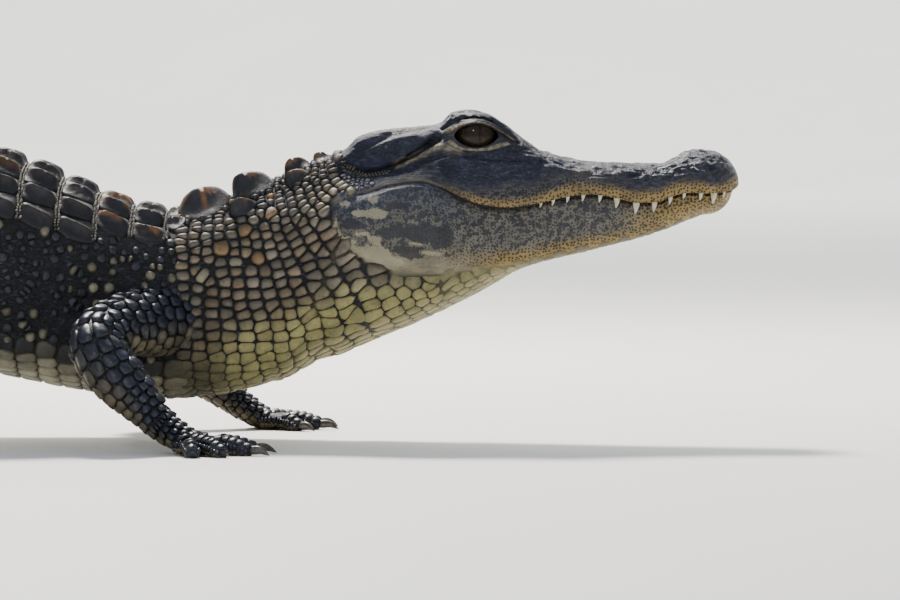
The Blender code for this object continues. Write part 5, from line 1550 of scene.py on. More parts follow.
def scale_outlines(sheet, seeds, blocks, turns, crease, corner, frames, fill):
    """How far each scale reaches in each direction before it meets its neighbours, in millimetres.

    Seeds and blocks are rows of along, arc, half length and half width. Fill is how far past its own
    oval a scale may reach into free room.
    """
    everything = np.concatenate([seeds, blocks]) if len(blocks) else seeds
    wrap = sheet.girth(everything[:, 0])
    ghosts = []
    for sign in (-1, 1):
        close = everything[:, 1] * sign > wrap - 14
        shifted = everything[close].copy()
        shifted[:, 1] -= sign * 2 * wrap[close]
        ghosts.append(shifted)
    everything = np.concatenate([everything, *ghosts])
    tree = KDTree(len(everything))
    for k, (along, arc, _, _) in enumerate(everything):
        tree.insert((along, arc, 0), k)
    tree.balance()
    count = min(13, len(everything))
    near = np.array([[hit[1] for hit in tree.find_n((a, b, 0), count)] for a, b, _, _ in seeds])
    others = everything[near]
    if 0 < len(blocks) < 20:
        others = np.concatenate([others, np.broadcast_to(blocks, (len(seeds), *blocks.shape))], axis=1)
    way = np.einsum("nij,nkj->nki", frames, others[..., :2] - seeds[:, None, :2])
    apart = np.linalg.norm(way, axis=2)
    same = apart < 1e-6
    way = way / np.maximum(apart, 1e-6)[..., None]

    stretch = np.linalg.norm(frames, axis=1)

    def reach(rows):
        sizes = rows[..., 2:] * stretch[:, None]
        return 1 / np.sqrt((way[..., 0] / sizes[..., 0]) ** 2 + (way[..., 1] / sizes[..., 1]) ** 2)

    own, other = reach(np.broadcast_to(seeds[:, None], others.shape)), reach(others)
    wall = apart * own / (own + other) - crease / 2
    angles = np.linspace(0, 2 * math.pi, turns, endpoint=False)
    rays = np.stack([np.cos(angles), np.sin(angles)], axis=1)
    facing = np.einsum("nkd,td->nkt", way, rays)
    radius = np.where((facing > 0.08) & ~same[..., None], wall[..., None] / np.maximum(facing, 0.08), 1e3)
    radius = np.maximum(radius, 0.15)
    sizes = seeds[:, 2:] * stretch
    plain = fill / np.sqrt((rays[:, 0] / sizes[:, :1]) ** 2 + (rays[:, 1] / sizes[:, 1:]) ** 2)
    inverse = (radius**-corner).sum(axis=1) + plain**-corner
    return inverse ** (-1 / corner), rays


def scale_mesh(
    sheet, seeds, looks, blocks=(), turns=14, rings=(0.45, 0.76, 0.93, 1.0), crease=0.5, corner=7,
    ridge=2.2, fill=1.12, crest_end=2,
):
    """Closed domed patches over a sheet, as joined points, triangles, colours, marks and bake places.

    Looks holds, for each seed: the numbers of LOOK_NUMBERS, and the crown, tint, rim and patch colours. The crown
    colour paints the top of the scale lighter, a painted highlight (on some nape scales their own rust instead), and
    the rim colour paints its edge darker, painted shade.
    """
    seeds = np.asarray(seeds, float)
    blocks = np.asarray(blocks, float).reshape(-1, 4)
    frames = local_frames(sheet, seeds)
    radius, ray = scale_outlines(sheet, seeds, blocks, turns, crease, corner, frames, fill)
    n = len(seeds)
    levels = np.array([0.0, *rings, 1.0, 0.55])
    column = {k: np.broadcast_to(np.asarray(looks[k], float).reshape(-1, 1, 1), (n, 1, 1)) for k in LOOK_NUMBERS}
    offset = levels[None, :, None, None] * radius[:, None, :, None] * ray[None, None]
    moved = np.einsum("nij,nltj->nlti", np.linalg.inv(frames), offset)
    along, arc = seeds[:, None, None, 0] + moved[..., 0], seeds[:, None, None, 1] + moved[..., 1]
    rho = np.broadcast_to(levels[None, :, None], along.shape[:3])
    sizes = seeds[:, 2:] * np.linalg.norm(frames, axis=1)
    u, v = offset[..., 0] / sizes[:, None, None, 0], offset[..., 1] / sizes[:, None, None, 1]
    height = column["height"] * np.maximum(1 - rho ** column["power"], 0) ** 0.5
    crest = np.clip(1.05 - np.hypot(v, 0.05), 0, 1) ** ridge * np.clip(1 - np.abs((u - 0.2) / 1.25) ** crest_end, 0, 1) ** 0.8
    height = height + column["keel"] * crest * (1 - rho**6)
    height = height + column["lift"] * (u + 0.6) * (1 - rho**8)
    lumps = noise(np.stack([along, arc], axis=-1), 1.7, 41) + 0.7 * noise(np.stack([along, arc], axis=-1), 0.9, 42)
    height = height + column["rough"] * lumps * (1 - rho**6)
    height[:, -3] = np.minimum(height[:, -3], 0.05 * column["height"][:, 0]) + 0.02
    height[:, -2] = height[:, -1] = -column["skirt"][:, 0]
    points = sheet.at(along, arc, height)
    points[..., 2] = np.maximum(points[..., 2], FLOOR_CLEARANCE)
    # From its top to its edge each scale runs from its painted highlight through its tint to its painted edge shade.
    shade = ease(rho, 0.05, 0.55)[..., None]
    rim = ease(rho, 0.78, 1.0)[..., None]
    crown, tint, edge = (np.asarray(looks[k]).reshape(-1, 1, 1, 3) for k in ("crown", "tint", "rim"))
    colours = (crown * (1 - shade) + tint * shade) * (1 - rim) + edge * rim
    worn = noise(np.stack([along, arc], axis=-1), 2.6, 43) + 1.3 * crest - 0.8
    worn = ease(worn, 0.0, 0.5) * column["patchy"]
    patch = np.broadcast_to(np.asarray(looks.get("patch", tint)).reshape(-1, 1, 1, 3), colours.shape)
    colours = blend(colours, patch, worn)
    # The shade number paints each scale lighter on its lower side and darker on its upper side: painted shade.
    down = np.clip(v * np.sign(seeds[:, None, None, 1]), -1, 1)
    colours = colours * np.exp(column["shade"] * down)[..., None]
    root = sheet.bake_place(seeds[:, 0], seeds[:, 1])[:, None, None]
    bake = root + BAKE_PATCH * np.minimum(rho, 1)[..., None] * ray[None, None]
    gloss = np.broadcast_to(column["gloss"], rho.shape)
    marks = np.stack([0 * rho, 0 * rho, gloss, 0 * rho + 0.5], axis=-1)
    arrays = []
    for grid, width in ((points, 3), (colours, 3), (marks, 4), (bake, 2)):
        grid = np.broadcast_to(grid, (n, len(levels), turns, width))
        top, bottom = grid[:, 0].mean(axis=1), grid[:, -1].mean(axis=1)
        body = grid[:, 1:].reshape(n, -1, width)
        arrays.append(np.concatenate([top[:, None], body, bottom[:, None]], axis=1).reshape(-1, width))
    triangles = patch_triangles(len(levels) - 1, turns)
    size = 2 + (len(levels) - 1) * turns
    triangles = (triangles[None] + (np.arange(n) * size)[:, None, None]).reshape(-1, 3)
    return arrays[0], triangles, arrays[1], arrays[2], arrays[3], size


LOOK_NUMBERS = ("height", "keel", "lift", "power", "skirt", "rough", "gloss", "patchy", "shade")


def patch_triangles(rings, turns):
    """Triangles of one patch: a centre point, its rings and a bottom point."""
    k = np.arange(turns)
    n = (k + 1) % turns
    made = [np.stack([0 * k, 1 + k, 1 + n], axis=1)]
    for ring in range(rings - 1):
        a, b = 1 + ring * turns, 1 + (ring + 1) * turns
        made.append(np.stack([a + k, b + k, b + n], axis=1))
        made.append(np.stack([a + k, b + n, a + n], axis=1))
    last = 1 + (rings - 1) * turns
    made.append(np.stack([last + n, last + k, 0 * k + 1 + rings * turns], axis=1))
    return np.concatenate(made)


def brick_rows(sheet, first, last, long, wide, low, high, draw, jitter=0.08, offset=0.5, lean=None, warp=1.0):
    """Seeds in rows round the body between two arcs on each side, every other row shifted.

    Low and high give the arcs at a station, and long gives the rows' length as a number or at a
    station. Lean gives how far a row's edge moves at a distance from its upper end. Warp over 1 makes
    the lower scales larger.
    """
    length = long if callable(long) else lambda station: long
    lean = lean or (lambda station, distance: 0.0)
    rows, edges = [], [first]
    while edges[-1] < last:
        edges.append(edges[-1] + float(length(edges[-1])))
    for k, (start_at, end_at) in enumerate(zip(edges[:-1], edges[1:])):
        station = (start_at + end_at) / 2
        start, end = float(low(station)), float(high(station))
        columns = max(int(round((end - start) / wide)), 1)
        shift = offset * (k % 2 - 0.5)
        for hand in (-1, 1):
            for j in range(columns):
                share = min(max((j + 0.5 + shift) / columns, 0.02), 0.995)
                down = (end - start) * share**warp
                front, back = (at + lean(at, down) for at in (start_at, end_at))
                at, grown = (front + back) / 2, back - front
                arc = float(low(at)) + (float(high(at)) - float(low(at))) * share**warp
                step = (end - start) / columns * warp * share ** (warp - 1)
                dx, dy = draw.uniform(-jitter, jitter, 2)
                rows.append((at + dx * grown, hand * (arc + dy * step), grown / 2, step / 2))
    return np.array(rows)


def thinned(seeds, kept, share=0.78):
    """Drops seeds that are too close to those already kept."""
    if not len(kept) or not len(seeds):
        return seeds
    way = kept[None, :, :2] - seeds[:, None, :2]
    apart = np.linalg.norm(way, axis=2)
    way = way / np.maximum(apart, 1e-6)[..., None]

    def reach(rows):
        return 1 / np.sqrt((way[..., 0] / rows[..., 2]) ** 2 + (way[..., 1] / rows[..., 3]) ** 2)

    room = reach(np.broadcast_to(seeds[:, None], (*apart.shape, 4)))
    room = room + reach(np.broadcast_to(kept[None], (*apart.shape, 4)))
    return seeds[(apart > share * room).all(axis=1)]


def drop_hidden(sheet, seeds, tree, most=1.3, agreement=0.55):
    """Which seeds still have their root on the finished skin."""
    roots = sheet.at(seeds[:, 0], seeds[:, 1])
    ways = sheet.at(seeds[:, 0], seeds[:, 1], 1.0) - roots
    kept = []
    for root, way in zip(roots, ways):
        _, normal, _, off = tree.find_nearest(Vector(root))
        kept.append(off < most and normal.dot(Vector(way)) > agreement)
    return np.array(kept, bool)


def shapes(n, height, keel=0.0, lift=0.0, power=3.0, skirt=0.9, rough=0.0, gloss=0.5, patchy=0.0, shade=0.0):
    """The numbers of a look, one for each of n scales."""
    values = (height, keel, lift, power, skirt, rough, gloss, patchy, shade)
    return {k: np.broadcast_to(np.asarray(v, float), (n,)).copy() for k, v in zip(LOOK_NUMBERS, values)}


def sheet_place(sheet, seeds):
    """Station, around, side, height and hand of seeds on the body."""
    around = around_of(sheet, seeds[:, 0], seeds[:, 1])
    half = half_section(seeds[:, 0], around)
    return seeds[:, 0], around, half[:, 0], half[:, 1], np.sign(seeds[:, 1])


def varied(colours, draw, amount):
    """Colours made lighter and darker at random, one by one."""
    return colours * np.exp(draw.normal(0, amount, (len(colours), 1)))


def scale_piece(name, sheet, seeds, looks, material, slot, **options):
    """One joined piece of scales on a sheet."""
    points, triangles, colours, marks, bake, _ = scale_mesh(sheet, seeds, looks, **options)
    obj = triangle_object(name, points, triangles, colours, marks, bake)
    return finish_piece(obj, material)


def nuchal_blocks():
    """Neck plates as blocks for the scales around them."""
    return np.array([
        (station, hand * arc, long / 2, wide / 2)
        for station, arc, long, wide, _ in NECK_SCUTES
        for hand in (-1, 1)
    ])


def row_edges(first, last, rows, growth=1.0):
    """Stations of the edges of rows whose length grows evenly."""
    lengths = np.linspace(1, growth, rows)
    return first + (last - first) * np.concatenate([[0], np.cumsum(lengths)]) / lengths.sum()


def back_plates():
    """Seeds and heights of the back's scutes: rows of along, arc, half length, half width, height."""
    plates = [(212.4, -8.5, 3.6, 5.2, 2.0), (212.4, 8.5, 3.6, 5.2, 2.0), (213.4, -19.5, 3.4, 4.6, 1.8)]
    plates += [(213.4, 19.5, 3.4, 4.6, 1.8)]
    for first, last, rows, growth in BACK_ROWS:
        edges = row_edges(first, last, rows, growth)
        for start, end in zip(edges[:-1], edges[1:]):
            middle, half = (start + end) / 2, (end - start) / 2
            scale = float(np.clip(half_width(middle) / 50, *COLUMN_SCALE))
            outer = OUTER_COLUMNS[: 1 + (280 < middle < 480)] if 240 < middle < 520 else []
            for arc, wide, height in BACK_COLUMNS + outer:
                long = 0.97 * half * min(1.0, 0.75 + 0.25 * wide / 12.7)
                for hand in (-1, 1):
                    plates.append((middle, hand * arc * scale, long, wide * scale / 2, height * scale))
    return np.array(plates)


def tail_blocks():
    """The crest blades' roots as blocks, with each blade's height."""
    crest_height, crest_spread = through(CREST_HEIGHT), through(CREST_SPREAD)
    blades = []
    for first, last, rows in TAIL_ROWS:
        edges = row_edges(first, last, rows)
        for start, end in zip(edges[:-1], edges[1:]):
            middle = (start + end) / 2
            spread = float(crest_spread(middle))
            wide = 1.1 + 0.12 * float(half_width(middle))
            for arc in (-spread, spread) if middle < CREST_JOINS else (0.0,):
                blades.append((middle, arc, (end - start) / 2, wide, float(crest_height(middle))))
    return np.array(blades)


class SkinSizes(bpy.types.PropertyGroup):
    """Sizes of the skin."""

    coat_depth: FloatProperty(
        name="Coat depth", description="How far the skin lies inside the scales", default=0.0008,
        unit="LENGTH", precision=4,
    )
    fold_depth: FloatProperty(
        name="Fold depth", description="Depth of the folds on the flanks", default=0.0009,
        unit="LENGTH", precision=4,
    )
    roughness: FloatProperty(
        name="Bone relief", description="Height of the rough bone on the snout", default=0.00042,
        unit="LENGTH", precision=4,
    )


class ScaleSizes(bpy.types.PropertyGroup):
    """Sizes of the scales."""

    neck: FloatProperty(
        name="Neck scale", description="Width of a scale on the side of the neck", default=0.0045,
        unit="LENGTH", precision=4,
    )
    throat_length: FloatProperty(
        name="Throat scale length", description="Length of a throat scale", default=0.0076,
        unit="LENGTH", precision=4,
    )
    throat_width: FloatProperty(
        name="Throat scale width", description="Width of a throat scale", default=0.0046,
        unit="LENGTH", precision=4,
    )
    belly: FloatProperty(
        name="Belly scale", description="Length of a belly scale", default=0.0078,
        unit="LENGTH", precision=4,
    )
    leg: FloatProperty(
        name="Leg scale", description="Width of a scale on a leg", default=0.0053,
        unit="LENGTH", precision=4,
    )
    seed: IntProperty(name="Seed", description="Which of the natural variations is drawn", default=7)


def colour_property(name, description, value):
    """A colour that the user can change."""
    return FloatVectorProperty(
        name=name, description=description, default=value, size=3, subtype="COLOR", min=0, max=1
    )


class HideColours(bpy.types.PropertyGroup):
    """Colours of the animal."""

    # The blue of the slate and of its paler form is partly painted reflection of a blue sky, over the skin's own dark
    # tone.
    slate: colour_property("Slate", "Dark skin of the head", (0.008, 0.011, 0.026))
    slate_light: colour_property("Pale slate and blue sheen", "Paler dark skin", (0.040, 0.050, 0.092))
    black: colour_property("Black skin", "Skin between dark scales", (0.006, 0.006, 0.007))
    tan: colour_property("Tan lip", "Lips and front of the lower jaw", (0.269, 0.186, 0.059))
    ochre: colour_property("Ochre", "Margin of the upper lid", (0.175, 0.124, 0.056))
    jaw_grey: colour_property("Jaw grey", "Side of the lower jaw", (0.130, 0.122, 0.098))
    cream: colour_property("Cream", "Stripe along the rear of the jaw", (0.40, 0.37, 0.25))
    throat: colour_property("Throat", "Scales of the throat", (0.29, 0.262, 0.105))
    throat_crease: colour_property("Throat crease", "Skin between throat scales", (0.05, 0.044, 0.02))
    taupe: colour_property("Taupe", "Scales on the side of the neck", (0.108, 0.094, 0.070))
    granule: colour_property("Granules", "Small scales of the nape", (0.017, 0.017, 0.022))
    # Painted shade: this olive darkens the lower scales at the base of the neck.
    olive: colour_property("Olive", "Scales at the base of the neck", (0.045, 0.040, 0.027))
    rust: colour_property("Rust", "Tops of the neck plates", (0.20, 0.088, 0.022))
    umber: colour_property("Umber", "Brown tops of single scales", (0.15, 0.098, 0.045))
    plate: colour_property("Plate", "Scutes of neck and back", (0.010, 0.010, 0.013))
    # Pale worn skin between the rows of scutes: partly its own tone, partly painted glints.
    frost: colour_property("Frost", "Pale worn skin and painted glints between the back's scutes", (0.125, 0.117, 0.10))
    flank: colour_property("Flank", "Dark scales of the flank", (0.011, 0.012, 0.016))
    flank_pale: colour_property("Flank bumps", "Cream bumps on the flank", (0.21, 0.195, 0.135))
    belly: colour_property("Belly", "Scales of the belly", (0.43, 0.40, 0.27))
    band: colour_property("Tail band", "Pale bands on the tail", (0.24, 0.20, 0.10))
    leg: colour_property("Leg", "Scales of the legs", (0.012, 0.015, 0.027))
    leg_under: colour_property("Leg below", "Inner and lower side of the legs", (0.11, 0.09, 0.045))
    lid_pale: colour_property("Lower lid", "Pale wrinkled skin round the eye and ear", (0.33, 0.285, 0.19))
    # Painted shade: this colour darkens the groove between the jaws and the inside of the openings cut into the head.
    mouth: colour_property("Mouth line", "Dark groove between the jaws", (0.03, 0.016, 0.010))
    ivory: colour_property("Ivory", "Teeth", (0.56, 0.55, 0.45))
    horn: colour_property("Horn", "Claws", (0.035, 0.030, 0.026))
    lid_dark: colour_property("Lid", "Smooth dark skin at the corners of the eye", (0.030, 0.026, 0.034))
    iris: colour_property("Iris", "Eye", (0.014, 0.010, 0.006))


class StageSizes(bpy.types.PropertyGroup):
    """The camera, floor and lights."""

    lens: FloatProperty(
        name="Lens", description="Focal length in millimetres", default=200.0, min=50.0, max=400.0,
        subtype="DISTANCE_CAMERA",
    )
    view_width: FloatProperty(
        name="View width", description="Width of the view at the animal", default=0.3375, unit="LENGTH"
    )
    elevation: FloatProperty(
        name="Elevation", description="Angle of the view above level", default=math.radians(2.0),
        subtype="ANGLE",
    )
    floor: colour_property("Floor", "Colour of the floor", (0.80, 0.79, 0.76))


class ALLIGATOR_OT_skin(bpy.types.Operator):
    """Build the one skin that covers head, body, tail and legs"""

    bl_idname = "alligator.skin"
    bl_label = "Skin"

    def execute(self, context):
        skin = build_skin(context)
        finish_piece(skin, skin_material())
        flesh = [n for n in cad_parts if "claw" not in n and not n.startswith("eye")]
        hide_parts(*sorted(flesh))
        return {"FINISHED"}


class ALLIGATOR_OT_neck_scales(bpy.types.Operator):
    """Lay the scales of neck and throat"""

    bl_idname = "alligator.neck_scales"
    bl_label = "Neck and throat scales"

    def execute(self, context):
        sizes, colours = context.scene.alligator_scales, palette(context)
        sheet, tree = the_body_sheet(context), skin_tree()
        draw = np.random.default_rng(sizes.seed)
        long, wide, neck = (v / MM for v in (sizes.throat_length, sizes.throat_width, sizes.neck))
        blocks = nuchal_blocks()

        def at(around):
            return lambda station: arc_of(sheet, station, around)

        odd = [(s, -arc_at(sheet, s, z), long_half / 2, wide_half / 2) for s, z, long_half, wide_half, _ in ODD_SCALES]
        odd = np.array(odd + [(s + 1.5, -arc, a, b) for s, arc, a, b in odd])
        gular = brick_rows(
            sheet, 16, 150, lambda s: long * (0.42 + 0.4 * ease(s, 20, 120)), wide * 0.85, at(0.722), at(1.0), draw,
            0.1, lean=lambda s, distance: -0.5 * distance * ease(s, 60, 115),
        )
        side = brick_rows(
            sheet, 152.5, 240, lambda s: neck * (0.72 + 0.32 * ease(s, 168, 206)), neck * 0.92, at(0.17), at(1.0), draw,
            0.16, 0.5, neck_sweep, 1.2,
        )
        loose = ease(side[:, 0], 176, 194) * (1 - ease(around_of(sheet, side[:, 0], side[:, 1]), 0.46, 0.6))
        side[:, 2:] *= (1 - 0.2 * loose * draw.uniform(0.4, 1.6, len(side)))[:, None]
        small = brick_rows(sheet, 133, 160, 1.7, 1.9, at(0.28), at(0.5), draw, 0.2)
        nape = brick_rows(sheet, 148, 212, neck * 0.62, neck * 0.62, lambda s: 0.8, at(0.18), draw, 0.22)
        beads = self.ear_beads(sheet)
        seeds, kinds = odd, [0] * len(odd)
        for kind, more in ((3, side[side[:, 0] < 212]), (1, gular), (4, beads), (5, small), (6, nape)):
            more = thinned(more, seeds, 0.84 if kind > 3 else 0.76)
            if kind > 2:
                more = thinned(more, blocks, 0.84)
            seeds, kinds = np.concatenate([seeds, more]), kinds + [kind] * len(more)
        kinds = np.array(kinds)
        station, around, side, height, hand = sheet_place(sheet, seeds)
        lip = RAILS[LIP_RAIL](station)[..., 1]
        inside = inside_jaw(station, height)
        flap = height > np.interp(-station, [-s for s, _ in EAR_EDGE], [z for _, z in EAR_EDGE]) - 1.5
        behind = (around < LIP_AT) & (height > lip + 1.5) & ~(flap & (station < 150.5))
        behind = behind & (station > 138 + 1.2 * np.abs(height - 97.5))
        below = (inside < -0.6) & (around > LIP_AT + 0.01) & (station > 112)
        clear = np.where(station < 155, behind | below | (around > 0.726) | (kinds == 4), True).astype(bool)
        clear = clear & drop_hidden(sheet, seeds, tree)
        seeds, kinds = seeds[clear], kinds[clear]
        station, around, side, height, hand = (v[clear] for v in (station, around, side, height, hand))
        tint = coat_colours(station, around, side, height, hand, colours)
        brown = ease(noise(seeds[:, :2], 7, 71) + draw.normal(0, 0.3, len(seeds)), -0.1, 0.5) * (around < 0.62)
        tint = blend(tint, colours["umber"], 0.35 * brown)
        pale = (kinds == 1) | ((kinds == 3) & (around > 0.5) & (height < throat_level(station)))
        tint = varied(tint, draw, np.where(pale, 0.08, 0.22)[:, None])
        granule = (kinds == 5)[:, None]
        tint = np.where(granule, varied(np.tile(colours["slate_light"] * [0.8, 0.7, 0.55], (len(seeds), 1)), draw, 0.25), tint)
        tint = np.where((kinds == 4)[:, None], colours["taupe"] * 0.6, tint)
        names = [row[4] for row in ODD_SCALES] * 2
        tint[kinds == 0] = np.array([colours[n] * (0.45 if n == "cream" else 1) for n in names])[: (kinds == 0).sum()]
        is_nape, under = kinds == 6, station < 150
        # A quarter of the nape's scales have rust tops, their own colour; the other tops are painted lighter, a painted
        # highlight. The edges are painted darker as painted shade, less so low on the throat, and the shade number
        # darkens each scale's upper side.
        crown = np.where((is_nape & (draw.random(len(seeds)) < 0.25))[:, None], colours["rust"], tint * 1.15)
        low = ease(throat_level(station) - height, -8, 9) * ease(around, 0.46, 0.54)
        low = np.where(kinds == 1, 1.0, low)
        rim = tint * (0.35 + 0.4 * low)[:, None]
        looks = shapes(
            len(seeds), height=np.where(is_nape, 1.2, 1.0 - 0.4 * low), power=3.0 + 2.2 * low,
            gloss=0.55 - 0.2 * low, keel=np.where(is_nape, 0.5, 0.15), rough=0.08, shade=0.65 - 0.6 * low,
        )
        flat = under & (around > 0.7)
        looks["height"] = np.where(flat, 0.16 + 0.4 * ease(station, 105, 150), looks["height"])
        looks["height"] = np.where((kinds == 5) | (kinds == 4), 0.42, looks["height"])
        looks["power"] = np.where(flat, 9, looks["power"])
        looks["skirt"] = np.where(flat | (kinds == 5), 0.35 + 0.4 * ease(station, 120, 150), looks["skirt"])
        looks["gloss"] = np.where(kinds == 5, 0.0, looks["gloss"])
        looks["height"] *= draw.uniform(0.85, 1.15, len(seeds))
        looks.update(crown=crown, tint=tint, rim=rim)
        material = hide_material("neck_scale", 0.8, 0.16)
        for name, chosen, slot in (("throat_scales", pale, "pale_skin"), ("neck_scales", ~pale, "dark_skin")):
            others = np.concatenate([seeds[~chosen], blocks])
            some = {k: v[chosen] for k, v in looks.items()}
            scale_piece(
                name, sheet, seeds[chosen], some, material, slot, crease=0.3 if chosen is pale else 0.5,
                corner=14 if chosen is pale else 9, fill=1.5, blocks=others[near_any(others, seeds[chosen])],
            )
        return {"FINISHED"}

    def ear_beads(self, sheet):
        """Seeds of the small beads along the rear lower edge of the ear flap."""
        line = np.array(EAR_EDGE[:5])
        lengths = np.concatenate([[0], np.cumsum(np.linalg.norm(np.diff(line, axis=0), axis=1))])
        seeds = []
        for drop, shift in ((0.9, 0.0), (2.2, 0.6)):
            for at in np.arange(0.3 + shift, lengths[-1], 1.25):
                station, height = (float(np.interp(at, lengths, line[:, k])) for k in range(2))
                arc = arc_at(sheet, station, height - drop)
                seeds += [(station, hand * arc, 0.6, 0.62) for hand in (-1, 1)]
        return np.array(seeds)


def neck_sweep(station, distance):
    """How far a column of neck scales has moved forward at a distance below the nape."""
    pull = np.interp(station, *zip(*NECK_SWEEP))
    return -pull * distance**2 / (1 + (distance / SWEEP_REACH) ** 2)


def arc_at(sheet, station, height):
    """Arc of the place at a height over the floor, on the upper part of one side."""
    around = np.linspace(0.12, 0.8, 240)
    half = half_section(np.full(len(around), float(station)), around)
    place = np.interp(-height, -half[:, 1], around)
    return float(arc_of(sheet, station, place))


def near_any(others, seeds, reach=14.0):
    """Which of the others lie near the first side of any seed."""
    tree = KDTree(len(seeds))
    for k, seed in enumerate(seeds):
        tree.insert((seed[0], seed[1], 0), k)
    tree.balance()
    return np.array([tree.find((o[0], o[1], 0))[2] < reach for o in others], bool)


class ALLIGATOR_OT_neck_plates(bpy.types.Operator):
    """Set the keeled plates on the nape"""

    bl_idname = "alligator.neck_plates"
    bl_label = "Neck plates"

    def execute(self, context):
        colours, sheet = palette(context), the_body_sheet(context)
        draw = np.random.default_rng(context.scene.alligator_scales.seed + 1)
        seeds = nuchal_blocks()
        rise = np.repeat([row[4] for row in NECK_SCUTES], 2)
        looks = shapes(
            len(seeds), height=0.14 * rise + 0.9, keel=1.1 * rise, power=4.0, skirt=1.2, rough=0.16, gloss=0.5,
            patchy=0.65,
        )
        tint = varied(np.tile(colours["plate"], (len(seeds), 1)), draw, 0.15)
        patch = np.tile(colours["rust"], (len(seeds), 1))
        # Tops painted lighter, a painted highlight, and edges darker, painted shade; the rust patches are the plates'
        # own colour.
        looks.update(crown=tint * 1.5, tint=tint, rim=tint * 0.6, patch=patch)
        material = hide_material("neck_plate", 1.2, 0.28)
        scale_piece(
            "neck_plates", sheet, seeds, looks, material, "dark_skin", turns=48, rings=PLATE_RINGS, crease=0.8,
            corner=7, ridge=2.3, fill=1.25,
        )
        return {"FINISHED"}


PLATE_RINGS = (0.14, 0.28, 0.42, 0.56, 0.68, 0.78, 0.87, 0.94, 1.0)


class ALLIGATOR_OT_back_scutes(bpy.types.Operator):
    """Set the rows of keeled scutes on the back, with pale worn granular skin between the rows, brightened by painted
    glints
    """

    bl_idname = "alligator.back_scutes"
    bl_label = "Back scutes"

    def execute(self, context):
        colours, sheet = palette(context), the_body_sheet(context)
        draw = np.random.default_rng(context.scene.alligator_scales.seed + 2)
        plates = back_plates()
        seeds, rise = plates[:, :4], plates[:, 4] * draw.uniform(0.9, 1.1, len(plates))
        looks = shapes(
            len(seeds), height=1.15, keel=1.05 * rise, power=10, skirt=1.1, rough=0.14, gloss=0.4,
            patchy=np.where(seeds[:, 0] < 245, 0.75, 0.35),
        )
        tint = varied(np.tile(colours["plate"], (len(seeds), 1)), draw, 0.18)
        warm = (draw.random(len(seeds)) < np.where(seeds[:, 0] < 245, 0.7, 0.1))[:, None]
        patch = np.where(warm, colours["rust"], colours["umber"] * 0.35)
        # The tops and crests are painted lighter, a painted highlight, and the edges darker, painted shade; the rust
        # and umber patches are the scutes' own colour.
        looks.update(crown=tint * 1.9, tint=tint, rim=tint * 0.55, patch=patch)
        material = hide_material("back_scute", 1.2, 0.3)
        scale_piece(
            "back_scutes", sheet, seeds, looks, material, "dark_skin", turns=34, rings=PLATE_RINGS, crease=0.75,
            corner=11, ridge=2.6, fill=1.5, crest_end=4,
        )
        granules = self.band_granules(seeds, draw)
        granules = granules[drop_hidden(sheet, granules, skin_tree())]
        looks = shapes(len(granules), height=1.5, power=2.2, skirt=0.7, gloss=1.0)
        tint = varied(np.tile(colours["frost"], (len(granules), 1)), draw, 0.5)
        # The granules are painted lighter on top, a painted highlight, and darker at the edge, painted shade; their
        # pale colour is partly painted glints.
        looks.update(crown=tint * 1.8, tint=tint * 1.4, rim=tint * 0.5)
        material = hide_material("worn_band", 0.5, 0.15)
        scale_piece(
            "back_bands", sheet, granules, looks, material, "dark_skin", turns=8, rings=(0.6, 1.0), crease=0.25,
        )
        return {"FINISHED"}

    def band_granules(self, plates, draw):
        """Seeds of small granules in two lines along each gap between rows."""
        seeds = []
        for first, last, rows, growth in BACK_ROWS:
            for edge in row_edges(first, last, rows, growth)[:-1]:
                scale = float(np.clip(half_width(edge) / 50, *COLUMN_SCALE))
                reach = (39.5 if not 240 < edge < 520 else 49.0) * scale
                for line, shift in ((-0.5, 0), (0.5, 0.5)):
                    for k in range(int(reach / 1.3)):
                        for hand in (-1, 1):
                            arc = hand * (k + 0.5 + shift) * 1.3
                            dx, dy = draw.uniform(-0.25, 0.25, 2)
                            seeds.append((edge + line + dx, arc + dy, 0.6, 0.65))
        return np.array(seeds)


